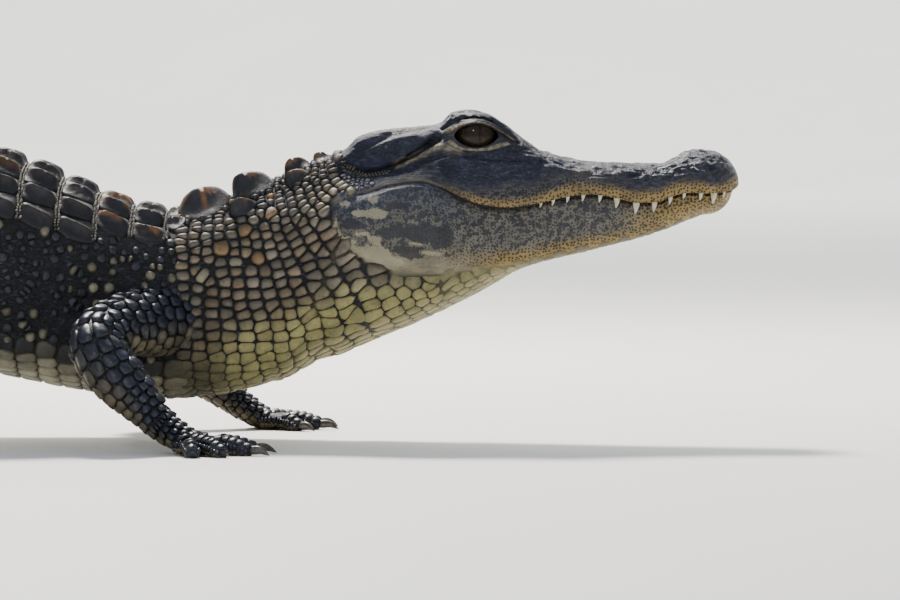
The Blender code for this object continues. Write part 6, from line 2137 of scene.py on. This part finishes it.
class ALLIGATOR_OT_flank_bumps(bpy.types.Operator):
    """Scatter the oval bumps over the wrinkled flanks"""

    bl_idname = "alligator.flank_bumps"
    bl_label = "Flank bumps"

    def execute(self, context):
        colours, sheet = palette(context), the_body_sheet(context)
        draw = np.random.default_rng(context.scene.alligator_scales.seed + 3)

        def below_plates(station):
            scale = float(np.clip(half_width(station) / 50, *COLUMN_SCALE))
            return (58.0 if 285 < station < 475 else 50.0 if 243 < station < 518 else 41.0) * scale

        seeds = brick_rows(
            sheet, 210, 548, 4.7, 4.4, below_plates, lambda s: arc_of(sheet, s, 0.64), draw, 0.4
        )
        drift = noise(seeds[:, :2], 13, 51) + 0.5 * noise(seeds[:, :2], 5, 52)
        seeds = seeds[drift + draw.uniform(-0.25, 0.25, len(seeds)) > -0.42]
        seeds[:, 2:] *= draw.uniform(0.5, 0.9, (len(seeds), 1)) * [0.88, 1.1]
        seeds = seeds[drop_hidden(sheet, seeds, skin_tree())]
        place = sheet_place(sheet, seeds)
        tint = varied(np.tile(colours["flank"] * 1.2, (len(seeds), 1)), draw, 0.2)
        clusters = ease(noise(seeds[:, :2], 13, 53), 0.0, 0.3)
        low = ease(place[1], 0.45, 0.62)
        pale = draw.random(len(seeds)) < 0.03 + 0.62 * clusters + 0.15 * low
        tint = np.where(pale[:, None], colours["flank_pale"] * draw.uniform(0.3, 0.8, (len(seeds), 1)), tint)
        rise = np.where(pale, 1.7, 0.9) * draw.uniform(0.8, 1.1, len(seeds))
        # The bumps are painted lighter on top, a painted highlight, darker at the edge, painted shade, and the shade
        # number paints their lower side lighter.
        looks = shapes(len(seeds), height=rise * 1.15, power=2.0, rough=0.08, gloss=0.8, shade=0.3)
        looks.update(crown=tint * 1.25, tint=tint, rim=tint * 0.4)
        material = hide_material("flank_bump", 0.8, 0.2)
        scale_piece("flank_bumps", sheet, seeds, looks, material, "dark_skin", crease=0.7, corner=5)
        return {"FINISHED"}


class ALLIGATOR_OT_belly_scales(bpy.types.Operator):
    """Lay the flat rectangular scales of the belly"""

    bl_idname = "alligator.belly_scales"
    bl_label = "Belly scales"

    def execute(self, context):
        sizes, colours, sheet = context.scene.alligator_scales, palette(context), the_body_sheet(context)
        draw = np.random.default_rng(sizes.seed + 4)
        seeds = brick_rows(
            sheet, 209, 547, sizes.belly / MM, 6.6, lambda s: arc_of(sheet, s, 0.64),
            lambda s: arc_of(sheet, s, 1.0), draw, 0.03, 0.0,
        )
        seeds = seeds[drop_hidden(sheet, seeds, skin_tree())]
        place = sheet_place(sheet, seeds)
        tint = varied(coat_colours(*place, colours), draw, 0.1)
        looks = shapes(len(seeds), height=0.95, power=7, rough=0.03, gloss=0.35)
        # Tops painted slightly lighter and edges darker: painted highlight and painted shade.
        looks.update(crown=tint * 1.1, tint=tint, rim=tint * 0.6)
        material = hide_material("belly_scale", 0.9, 0.2)
        scale_piece("belly_scales", sheet, seeds, looks, material, "dark_skin", crease=0.4, corner=14, fill=1.5)
        return {"FINISHED"}


class ALLIGATOR_OT_tail_scales(bpy.types.Operator):
    """Lay the tail's whorls of long rectangular scales and its upright crests"""

    bl_idname = "alligator.tail_scales"
    bl_label = "Tail"

    def execute(self, context):
        colours, sheet = palette(context), the_body_sheet(context)
        draw = np.random.default_rng(context.scene.alligator_scales.seed + 5)
        blades = tail_blocks()
        seeds = self.whorls(sheet, draw)
        seeds = seeds[drop_hidden(sheet, seeds, skin_tree())]
        place = sheet_place(sheet, seeds)
        tint = varied(coat_colours(*place, colours), draw, 0.14)
        top = place[1] < 0.35
        looks = shapes(
            len(seeds), height=0.95, keel=np.where(top, 0.5, 0.0), lift=0.12, power=6, rough=0.04, gloss=0.5
        )
        thin = 1 - 0.55 * ease(seeds[:, 0], 900, 1090)
        looks["height"] *= thin
        looks["skirt"] *= thin * 0.7
        # Tops painted lighter and edges darker: painted highlight and painted shade.
        looks.update(crown=tint * 1.15, tint=tint, rim=tint * 0.5)
        material = hide_material("tail_scale", 0.9, 0.28)
        scale_piece(
            "tail_scales", sheet, seeds, looks, material, "dark_skin", turns=14, crease=0.4, corner=14, fill=1.5,
        )
        self.crest(sheet, blades, colours, draw)
        return {"FINISHED"}

    def whorls(self, sheet, draw):
        """Seeds of one whorl of scales for each blade of the crest."""
        spread = through(CREST_SPREAD)
        seeds = []
        for first, last, rows in TAIL_ROWS:
            edges = row_edges(first, last, rows)
            for start, end in zip(edges[:-1], edges[1:]):
                middle = (start + end) / 2
                girth = float(sheet.girth(middle))
                wide = float(np.clip(0.13 * half_width(middle) + 2.6, 2.2, 6.4))
                doubled = middle < CREST_JOINS
                inner = float(spread(middle)) if doubled else 0.0
                edge = inner + 1.0 + 0.09 * float(half_width(middle))
                parts = 2 if middle < 640 else 1
                spans = [(edge, girth, parts)]
                if doubled and inner > 3:
                    spans.append((0.0, inner - 1.0, 1))
                for low, high, splits in spans:
                    count = max(int(round((high - low) / wide)), 1)
                    step = (high - low) / count
                    for j in range(count):
                        arc = low + (j + 0.5) * step
                        cut = splits if arc < 0.68 * girth else 1
                        for part in range(cut):
                            at = start + (part + 0.5) * (end - start) / cut
                            for hand in (-1, 1):
                                dx, dy = draw.uniform(-0.03, 0.03, 2)
                                row = (at + dx * wide, hand * (arc + dy * step), (end - start) / 2 / cut, step / 2)
                                seeds.append(row)
        return np.array(seeds)

    def crest(self, sheet, blades, colours, draw):
        """The upright blades, as one piece."""
        points, faces, tints, bake = [], [], [], []
        for station, arc, long, wide, rise in blades:
            rings, place = blade_rings(sheet, station, arc, long * 0.98, wide, rise * draw.uniform(0.92, 1.06))
            rows, count, _ = rings.shape
            start = sum(len(p) for p in points)
            points.append(rings.reshape(-1, 3))
            for face in ring_faces(rows, count, start).tolist():
                faces += [[face[0], face[1], face[2]], [face[0], face[2], face[3]]]
            for end, turn in ((start, 1), (start + (rows - 1) * count, -1)):
                fan = [[end, end + k, end + k + 1] for k in range(1, count - 1)]
                faces += [f[::turn] for f in fan]
            base = colours["plate"] * math.exp(draw.normal(0, 0.15))
            band = ease(math.sin(station * 2 * math.pi / 58.0), 0.35, 0.8)
            tint = blend(base * 1.25, colours["band"] * 0.8, 0.4 * band)
            tints.append(np.tile(tint, (rows * count, 1)))
            bake.append(place.reshape(-1, 2))
        points = np.concatenate(points)
        marks = np.tile([0, 0, 0.5, 0.5], (len(points), 1))
        faces = np.array(faces)
        obj = triangle_object("tail_crest", points, faces, np.concatenate(tints), marks, np.concatenate(bake))
        outward(obj)
        obj.data.shade_smooth()
        finish_piece(obj, hide_material("tail_crest", 1.0, 0.3))


def blade_rings(sheet, station, arc, long, wide, rise):
    """Rings of an upright blade: a wedge that leans back to a rounded point."""
    base = sheet.at(np.array([station]), np.array([arc]))[0]
    normal = sheet.at(np.array([station]), np.array([arc]), 1.0)[0] - base
    across = sheet.at(np.array([station]), np.array([arc + 0.5]))[0] - base
    across = unit(across - normal * (across @ normal))
    shares = np.linspace(-1, 1, 17)
    top = np.interp(shares, [-1, -0.4, 0.2, 0.62, 0.86, 1.0], [0.12, 0.5, 0.86, 1.0, 0.82, 0.16])
    levels = [(-1, -0.28), (-0.86, 0.12), (-0.55, 0.42), (-0.3, 0.74), (-0.1, 0.96), (0, 1.0)]
    levels += [(-side, up) for side, up in levels[-2::-1]]
    rings = []
    for share, high in zip(shares, top):
        root = sheet.at(np.array([station + share * long]), np.array([arc]))[0]
        slim = 0.55 + 0.45 * math.sqrt(max(1 - share**2, 0))
        back = unit(sheet.at(np.array([station + 1.0]), np.array([arc]))[0] - base)
        ring = []
        for side, up in levels:
            lean = 0.22 * rise * max(up, 0) ** 1.5
            reach = up * rise * high if up > 0 else up * 2.2
            ring.append(root + normal * (reach + 0.4 * (up > 0)) + across * side * wide * slim + back * lean)
        rings.append(ring)
    rings = np.array(rings)
    rings[..., 2] = np.maximum(rings[..., 2], FLOOR_CLEARANCE)
    spot = sheet.bake_place(np.array([station]), np.array([arc]))[0]
    u = np.broadcast_to(shares[:, None] * BAKE_PATCH, rings.shape[:2])
    v = np.broadcast_to(np.array([up for _, up in levels])[None] * BAKE_PATCH, rings.shape[:2])
    return rings, spot + np.stack([u, v], axis=-1)


class ALLIGATOR_OT_leg_scales(bpy.types.Operator):
    """Lay the overlapping scales of the legs and the plates on the toes"""

    bl_idname = "alligator.leg_scales"
    bl_label = "Leg scales"

    def execute(self, context):
        sizes, colours = context.scene.alligator_scales, palette(context)
        depth = skin_sizes(context)["coat_depth"]
        draw = np.random.default_rng(sizes.seed + 6)
        tree = skin_tree()
        wide = sizes.leg / MM
        material = hide_material("leg_scale", 0.9, 0.32)
        for index, leg in enumerate(LEGS):
            sheet = leg_sheet(index, 0.7 * depth)
            _, _, (knee, heel), _, _ = leg_parts(leg)
            end = sheet.along[-1]
            grown = 1.2 if leg[0].startswith("hind") else 1.0
            spans = (
                (6, heel * 0.86, wide * grown), (heel * 0.86, heel + 3, wide * 0.74), (heel + 3, end - 4, wide * 0.62)
            )
            seeds = np.concatenate([
                brick_rows(sheet, a, b, size * 0.96, size, lambda s: 0.0, sheet.girth, draw, 0.07)
                for a, b, size in spans
            ])
            seeds = seeds[drop_hidden(sheet, seeds, tree, 1.6, 0.6)]
            looks = self.looks(sheet, seeds, colours, draw)
            scale_piece(
                leg[0] + "_scales", sheet, seeds, looks, material, "dark_skin", crease=0.22, corner=11, fill=1.5,
            )
            self.toes(index, leg, colours, draw, tree, material)
        return {"FINISHED"}

    def looks(self, sheet, seeds, colours, draw, height=1.0, lift=0.5):
        """Shapes and colours of the scales of a leg."""
        roots = sheet.at(seeds[:, 0], seeds[:, 1])
        ways = sheet.at(seeds[:, 0], seeds[:, 1], 1.0) - roots
        tint = varied(leg_colours(roots, ways, colours, 0), draw, 0.18)
        under = ease(-ways[:, 2], 0.2, 0.7)
        looks = shapes(
            len(seeds), height=0.6 * height * (1 - 0.2 * under), keel=0.45 * (1 - under),
            lift=lift * (1 - 0.6 * under), power=7, rough=0.05, gloss=0.85 - 0.4 * under,
        )
        # Tops painted lighter and edges darker: painted highlight and painted shade.
        looks.update(crown=tint * 1.2, tint=tint, rim=tint * 0.45)
        return looks

    def toes(self, index, leg, colours, draw, tree, material):
        """One row of plates over each toe, with smaller scales beside them and pads below."""
        foot = leg_parts(leg)[0]
        parts = []
        for k, path in enumerate(toe_paths(leg, foot)):
            sheet = toe_sheet(path, foot, index, k)
            long = sheet.along[-1]
            seeds = []
            count = int((long - 2.0) / 2.9)
            for j in range(count):
                at = 1.5 + (j + 0.5) * (long - 2.6) / count
                girth = float(sheet.girth(at))
                seeds.append((at, 0.0, 1.45, 0.36 * girth))
                for hand in (-1, 1):
                    for shift in (-0.25, 0.25):
                        seeds.append((at + shift * 2.9, hand * 0.47 * girth, 0.75, 0.11 * girth))
                        seeds.append((at + shift * 2.9, hand * 0.71 * girth, 0.75, 0.12 * girth))
                seeds.append((at, girth * 0.999, 1.3, 0.16 * girth))
            seeds = np.array(seeds)
            seeds = seeds[drop_hidden(sheet, seeds, tree, 0.7, 0.6)]
            if len(seeds):
                looks = self.looks(sheet, seeds, colours, draw, 0.42, 0.12)
                looks["skirt"] *= 0.6
                made = scale_mesh(sheet, seeds, looks, turns=12, crease=0.28, corner=9, fill=1.3)
                parts.append(made)
        if parts:
            offset, triangles = 0, []
            for part in parts:
                triangles.append(part[1] + offset)
                offset += len(part[0])
            arrays = [np.concatenate([part[i] for part in parts]) for i in (0, 2, 3, 4)]
            obj = triangle_object(
                leg[0] + "_toe_plates", arrays[0], np.concatenate(triangles), arrays[1], arrays[2], arrays[3]
            )
            finish_piece(obj, material)


class ALLIGATOR_OT_claws(bpy.types.Operator):
    """Grow the claws on the inner three toes of each foot"""

    bl_idname = "alligator.claws"
    bl_label = "Claws"

    def execute(self, context):
        colours = palette(context)
        s = Shading("claw_horn")
        place = s.place()
        streak = s.noise(place, 2.2, 4.0, 0.65, 1.5)
        colour = s.mix(streak.step(0.35, 0.75), colours["horn"], colours["horn"] * 3.2)
        normal = s.raised(s.noise(place, 0.5, 3.0), 0.08, 0.4)
        material = s.finish(base_color=colour, roughness=0.26 + streak * 0.2, normal=normal)
        for leg in LEGS:
            foot = leg_parts(leg)[0]
            paths = toe_paths(leg, foot)
            for k in foot["clawed"]:
                rings = claw_rings(paths[k], foot["toe"][1])
                name = f"{leg[0]}_claw_{k + 1}"
                claw = loft_object(name + "_horn", rings)
                claw.data.shade_smooth()
                claw.data.uv_layers.new(name="OFBake")
                finish_piece(claw, material)
                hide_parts(name)
        return {"FINISHED"}


def claw_rings(path, toe_radius):
    """Rings of a curved claw, deeper than wide, from just off its toe to its point."""
    tip, way = path[1][-1], path[2][-1]
    lean = abs(way[2])
    way = unit(np.array([way[0], way[1], 0]))
    start = tip + way * (CLAW_GAP + lean * toe_radius) - way * 0.9
    middle = start + way * CLAW_LENGTH * 0.55 + np.array([0, 0, 0.5])
    end = start + way * (CLAW_LENGTH + 0.7)
    start[2], middle[2], end[2] = CLAW_RADIUS + 0.5, CLAW_RADIUS + 0.45, 0.35
    curve = limb_path([start, middle, end], 30)
    long = curve[0][-1]
    sizes = [
        (0, 0.78 * CLAW_RADIUS, 0.95 * CLAW_RADIUS), (0.2 * long, 0.74 * CLAW_RADIUS, 0.95 * CLAW_RADIUS),
        (0.65 * long, 0.45 * CLAW_RADIUS, 0.6 * CLAW_RADIUS), (long, 0.1, 0.1),
    ]
    turns = np.linspace(0, 2 * math.pi, 18, endpoint=False)
    rings = limb_rings(curve, sizes, np.linspace(0, long, 22), turns, np.array([0, 0, 1.0]))
    rings[..., 2] = np.maximum(rings[..., 2], FLOOR_CLEARANCE)
    return rings


class ALLIGATOR_OT_eyes(bpy.types.Operator):
    """Set the eyeballs in their sockets, with the margins of the lids"""

    bl_idname = "alligator.eyes"
    bl_label = "Eyes and lids"

    def execute(self, context):
        colours = palette(context)
        s = Shading("eyeball")
        tint = s.attribute("tint")
        fleck = s.noise(s.place(), 0.5, 4.0, 0.7)
        colour = s.mix(fleck.step(0.35, 0.7) * 0.6, tint, colours["iris"] * 2.4)
        wet = s.finish(base_color=colour, roughness=0.1)
        s.principled.inputs["Specular IOR Level"].default_value = 0.16
        s.principled.inputs["Coat Weight"].default_value = 0.12
        s.principled.inputs["Coat Roughness"].default_value = 0.02
        s.principled.inputs["IOR"].default_value = 1.4
        lid = hide_material("lid_margin", 0.35, 0.2)
        for name, hand in (("eye_right", -1), ("eye_left", 1)):
            ball = eyeball(name.replace("eye", "eyeball"), hand, colours)
            finish_piece(ball, wet)
            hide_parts(name)
            for upper in (True, False):
                part = "upper_lid" if upper else "lower_lid"
                margin = lid_band(f"{part}_{'left' if hand > 0 else 'right'}", hand, upper, colours)
                finish_piece(margin, lid)
        return {"FINISHED"}


def eyeball(name, hand, colours):
    """A ball with a bulging cornea, a brown iris and an upright slit pupil."""
    bm = bmesh.new()
    bmesh.ops.create_uvsphere(bm, u_segments=96, v_segments=64, radius=1.0)
    ways = np.array([v.co for v in bm.verts])
    faces = [[v.index for v in f.verts] for f in bm.faces]
    bm.free()
    look = unit(np.array([0.16, hand * 1.0, 0.06]))
    forward = unit(np.cross(np.array([0, 0, 1.0]), look)) * hand
    over = np.cross(look, forward) * hand
    near = ways @ look
    across, up = ways @ forward, ways @ over
    off = np.arccos(np.clip(near, -1, 1)) * EYE_RADIUS
    radius = EYE_RADIUS + 0.25 * (1 - ease(off, 3.0, 6.2))
    points = ways * radius[:, None] + placed(EYE_STATION, hand * EYE_SIDE, EYE_HEIGHT)
    slit = np.hypot(across / 0.085, up / 0.42)
    turn = np.arctan2(up, across)
    streaks = 0.5 + 0.5 * noise(np.stack([turn * 7, off * 0.5], axis=-1), 0.5, 61)
    iris = blend(colours["iris"] * 0.6, colours["iris"] * 2.2, streaks)
    iris = blend(iris, colours["iris"] * 0.25, ease(off, 4.6, 6.4))
    tint = blend(np.tile([0.004, 0.004, 0.004], (len(points), 1)), iris, ease(slit, 0.85, 1.1))
    ball = mesh_object(name, points, faces)
    give_colours(ball.data, tint, np.zeros((len(points), 4)))
    ball.data.uv_layers.new(name="OFBake")
    ball.data.shade_smooth()
    return ball


def side_at(station, height):
    """How far out the head's skin is at places in a side view, between the brow and the lip."""
    station, height = np.broadcast_arrays(np.asarray(station, float), np.asarray(height, float))
    around = np.linspace(0.16, LIP_AT, 120)
    found = np.empty(station.size)
    for k, (s, z) in enumerate(zip(station.ravel(), height.ravel())):
        half = half_section(np.full(len(around), s), around)
        found[k] = np.interp(-z, -half[:, 1], half[:, 0])
    return found.reshape(station.shape)


def lid_band(name, hand, upper, colours):
    """The margin of one lid: a scalloped or wrinkled band along the edge of the opening."""
    count, across = 110, 13
    along = np.linspace(0, 1, count)
    line = np.array(UPPER_LID if upper else LOWER_LID, float)
    lengths = np.concatenate([[0], np.cumsum(np.linalg.norm(np.diff(line, axis=0), axis=1))])
    outer = np.stack([np.interp(along * lengths[-1], lengths, line[:, k]) for k in range(2)], axis=1)
    turns = np.linspace(0.03, 0.97, count) * math.pi
    wide, high = LID_OPENING
    rise = high * np.sin(turns) ** 1.25 * (1 if upper else -1)
    inner = np.stack([EYE_STATION + (wide - 0.1) * np.cos(turns), EYE_HEIGHT + rise * 0.97], axis=1)
    reach = np.linalg.norm(inner - outer, axis=1)
    rear, front = bump(along - 0.08, 0.11), ease(along, 0.5, 0.85)
    width = 1.2 + 0.7 * rear + 0.8 * front if upper else 1.2 + 0.7 * rear + 0.9 * front
    share = np.minimum(width / np.maximum(reach, 0.1), 1)[:, None]
    inner = outer * (1 - share) + inner * share
    notches = 15 if upper else 9 + 6 * along
    wave = np.abs(np.sin(along * math.pi * notches)) ** 0.6
    depth = (0.5 + 0.45 * wave) if upper else (0.5 + 0.3 * wave * (rear + front))
    fade = ease(along, 0.0, 0.08) * (1 - ease(along, 0.92, 1.0))
    rings = []
    for k in range(count):
        shares = np.linspace(0, 1, across)
        spots = inner[k] * (1 - shares[:, None]) + outer[k] * shares[:, None]
        skin = side_at(spots[:, 0], spots[:, 1])
        ball = EYE_SIDE + np.sqrt(np.maximum(
            (EYE_RADIUS + 0.3) ** 2 - (spots[:, 0] - EYE_STATION) ** 2 - (spots[:, 1] - EYE_HEIGHT) ** 2, 0
        ))
        skin = np.maximum(skin, ball)
        grooves = 0.8 + 0.2 * np.cos(2 * math.pi * (shares * 2.4 + 0.12 * np.sin(along[k] * 31)))
        proud = 0.1 + depth[k] * np.sin(math.pi * (0.12 + 0.88 * shares)) ** 0.7 * fade[k] * grooves
        top = placed(spots[:, 0], hand * (skin + proud), spots[:, 1])
        bottom = placed(spots[:, 0], hand * (skin - 0.9), spots[:, 1])[::-1]
        rings.append(np.concatenate([top, bottom]))
    band = loft_object(name, rings)
    shade = np.tile(np.concatenate([np.linspace(0, 1, across), np.ones(across)]), count)
    base, dark = (colours["ochre"], colours["slate"]) if upper else (colours["lid_pale"], colours["slate_light"])
    tint = blend(base, dark, ease(shade, 0.62, 1.0))
    # The margin is painted darker in the notches between its scallops and along its fine grooves, as painted shade,
    # broken up by noise.
    ridge = np.repeat(wave, 2 * across)
    lines = np.tile(np.concatenate([np.linspace(0, 2.4, across), np.zeros(across)]), count)
    lines = 0.5 + 0.5 * np.cos(2 * math.pi * (lines + 0.12 * np.sin(np.repeat(along, 2 * across) * 31)))
    broken = ease(noise(np.array([v.co for v in band.data.vertices]) / MM, 1.5, 62), -0.45, 0.15)
    tint = blend(tint * 0.2, tint, (0.35 + 0.65 * ridge) * (0.45 + 0.55 * lines) * (0.35 + 0.65 * broken))
    give_colours(band.data, tint, np.tile([0, 0, 0.5, 0.3], (len(tint), 1)))
    band.data.uv_layers.new(name="OFBake")
    band.data.shade_smooth()
    return band


class ALLIGATOR_OT_teeth(bpy.types.Operator):
    """Set the teeth that show along the upper lip"""

    bl_idname = "alligator.teeth"
    bl_label = "Teeth"

    def execute(self, context):
        colours = palette(context)
        s = Shading("tooth_ivory")
        stain = s.noise(s.place(), 1.6, 3.0)
        colour = s.mix(stain.step(0.4, 0.75), colours["ivory"], colours["ivory"] * [0.8, 0.68, 0.45])
        ivory = s.finish(base_color=colour, roughness=0.2 + stain * 0.15)
        s.principled.inputs["Subsurface Weight"].default_value = 0.15
        s.principled.inputs["Subsurface Radius"].default_value = (0.002, 0.0015, 0.001)
        turns = np.linspace(0, 2 * math.pi, 16, endpoint=False)
        points, faces = [], []
        for station, long in TEETH:
            for hand in (-1, 1):
                rail = head_rails(np.array([float(station)]))[0, LIP_RAIL]
                wide = 0.12 + 0.3 * long
                out = rail[0] - 0.86 * wide - 0.2
                root = placed(station, hand * (out - 0.2), rail[1] + TOOTH_ROOT)
                middle = placed(station + 0.15, hand * (out + 0.15), rail[1] - 0.45 * long)
                tip = placed(station + 0.5, hand * out, rail[1] - long)
                curve = limb_path([root, middle, tip], 24)
                length = curve[0][-1]
                keys = ((0, 0.9), (0.25, 0.96), (0.5, 0.78), (0.8, 0.42), (0.95, 0.2), (1.0, 0.07))
                sizes = [(share * length, wide * 0.86 * r, wide * r) for share, r in keys]
                rings = limb_rings(curve, sizes, np.linspace(0, length, 16), turns, np.array([1.0, 0, 0]))
                start = sum(len(p) for p in points)
                points.append(rings.reshape(-1, 3))
                faces += ring_faces(*rings.shape[:2], start).tolist()
                faces += [list(range(start, start + 16)), list(range(start + 240, start + 256))]
        teeth = outward(mesh_object("teeth", np.concatenate(points), faces))
        teeth.data.uv_layers.new(name="OFBake")
        teeth.data.shade_smooth()
        finish_piece(teeth, ivory)
        return {"FINISHED"}


class ALLIGATOR_OT_stage(bpy.types.Operator):
    """Set the floor, lights and camera"""

    bl_idname = "alligator.stage"
    bl_label = "Stage"

    def execute(self, context):
        settings = context.scene.alligator_stage
        turns = np.linspace(0, 2 * math.pi, 96, endpoint=False)
        curve = [(radius, 0.0) for radius in (0.5, 2, 5, 8)]
        curve += [(8 + 5 * math.sin(a), 5 - 5 * math.cos(a)) for a in np.linspace(0.1, math.pi / 2, 16)] + [(13, 9)]
        rings = [
            np.stack([r * np.cos(turns), r * np.sin(turns), np.full(96, z)], axis=1) / MM for r, z in curve
        ]
        points, faces = np.concatenate(rings), ring_faces(len(rings), 96)[:, ::-1].tolist()
        floor = mesh_object("floor", points, faces + [list(range(96))])
        floor.data.shade_smooth()
        s = Shading("floor")
        cloud = s.noise(s.place(), 400, 3.0)
        base = np.array(settings.floor)
        colour = s.mix(cloud.step(0.3, 0.7), base, base * 0.97)
        floor.data.materials.append(s.finish(base_color=colour, roughness=0.6))
        world = bpy.data.worlds.new("studio")
        context.scene.world = world
        world.use_nodes = True
        background = world.node_tree.nodes["Background"]
        background.inputs["Color"].default_value = (0.72, 0.80, 0.95, 1)
        background.inputs["Strength"].default_value = 0.7
        for name, place, aimed_at, size, power, colour in LIGHTS:
            data = bpy.data.lights.new(name, "AREA")
            data.shape, data.size, data.energy, data.color = "DISK", size, power, colour
            light = bpy.data.objects.new(name, data)
            context.scene.collection.objects.link(light)
            light.location = place
            aim = Vector(aimed_at) - Vector(place)
            light.rotation_euler = aim.to_track_quat("-Z", "Y").to_euler()
            light.visible_camera = False
        data = bpy.data.cameras.new("camera")
        data.lens, data.sensor_width = settings.lens, 36.0
        camera = bpy.data.objects.new("camera", data)
        context.scene.collection.objects.link(camera)
        middle = placed(VIEW_MIDDLE[0], VIEW_MIDDLE[1], VIEW_MIDDLE[2]) * MM
        away = settings.view_width / 2 / math.tan(math.atan(data.sensor_width / 2 / data.lens))
        tilt = settings.elevation
        camera.location = Vector(middle) + Vector((0, -math.cos(tilt), math.sin(tilt))) * away
        camera.rotation_euler = (math.pi / 2 - tilt, 0, 0)
        data.clip_start, data.clip_end = 0.05, 60
        context.scene.camera = camera
        return {"FINISHED"}


VIEW_MIDDLE = (109.5, -24.0, 54.4)  # station, side and height at the middle of the picture
HEAD_PLACE = (0.3, -0.05, 0.08)
LIGHTS = [  # name, place, aimed at, width, watts, colour
    ("key_softbox", (0.1, 0.8, 1.3), HEAD_PLACE, 0.3, 62.0, (1.0, 0.95, 0.88)),
    ("front_fill", (-0.3, -2.2, 1.3), HEAD_PLACE, 0.3, 14.0, (0.92, 0.96, 1.0)),
    ("rear_fill", (-1.2, 1.8, 1.2), HEAD_PLACE, 1.4, 8.0, (0.95, 0.97, 1.0)),
    ("floor_wash", (0.3, 2.3, 2.2), (0.3, 2.3, 0.0), 2.0, 34.0, (1.0, 0.98, 0.95)),
    ("backdrop_light", (0.3, 5.0, 6.5), (0.3, 13.0, 1.5), 4.0, 1300.0, (1.0, 0.98, 0.95)),
]


class ALLIGATOR_PT_panel(bpy.types.Panel):
    """Lists the steps in the order in which they run"""

    bl_label = "Alligator"
    bl_idname = "ALLIGATOR_PT_panel"
    bl_space_type = "VIEW_3D"
    bl_region_type = "UI"
    bl_category = "Alligator"

    def draw(self, context):
        for step in STEPS:
            self.layout.operator(step.bl_idname)
        for name in GROUPS:
            group = getattr(context.scene, name)
            for prop in group.__annotations__:
                self.layout.prop(group, prop)


STEPS = (
    ALLIGATOR_OT_skin, ALLIGATOR_OT_neck_scales, ALLIGATOR_OT_neck_plates, ALLIGATOR_OT_back_scutes,
    ALLIGATOR_OT_flank_bumps, ALLIGATOR_OT_belly_scales, ALLIGATOR_OT_tail_scales,
    ALLIGATOR_OT_leg_scales, ALLIGATOR_OT_claws, ALLIGATOR_OT_eyes, ALLIGATOR_OT_teeth,
    ALLIGATOR_OT_stage,
)
GROUPS = {
    "alligator_skin": SkinSizes,
    "alligator_scales": ScaleSizes,
    "alligator_colours": HideColours,
    "alligator_stage": StageSizes,
}


def register():
    """Adds the settings, operators and panel."""
    for name, group in GROUPS.items():
        bpy.utils.register_class(group)
        setattr(bpy.types.Scene, name, PointerProperty(type=group))
    for step in (*STEPS, ALLIGATOR_PT_panel):
        bpy.utils.register_class(step)


def unregister():
    """Removes them again."""
    for step in (*STEPS, ALLIGATOR_PT_panel):
        bpy.utils.unregister_class(step)
    for name, group in GROUPS.items():
        delattr(bpy.types.Scene, name)
        bpy.utils.unregister_class(group)


def main():
    """Builds everything in order."""
    register()
    for step in STEPS:
        family, name = step.bl_idname.split(".")
        getattr(getattr(bpy.ops, family), name)()
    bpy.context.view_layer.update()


if __name__ == "__main__":
    main()
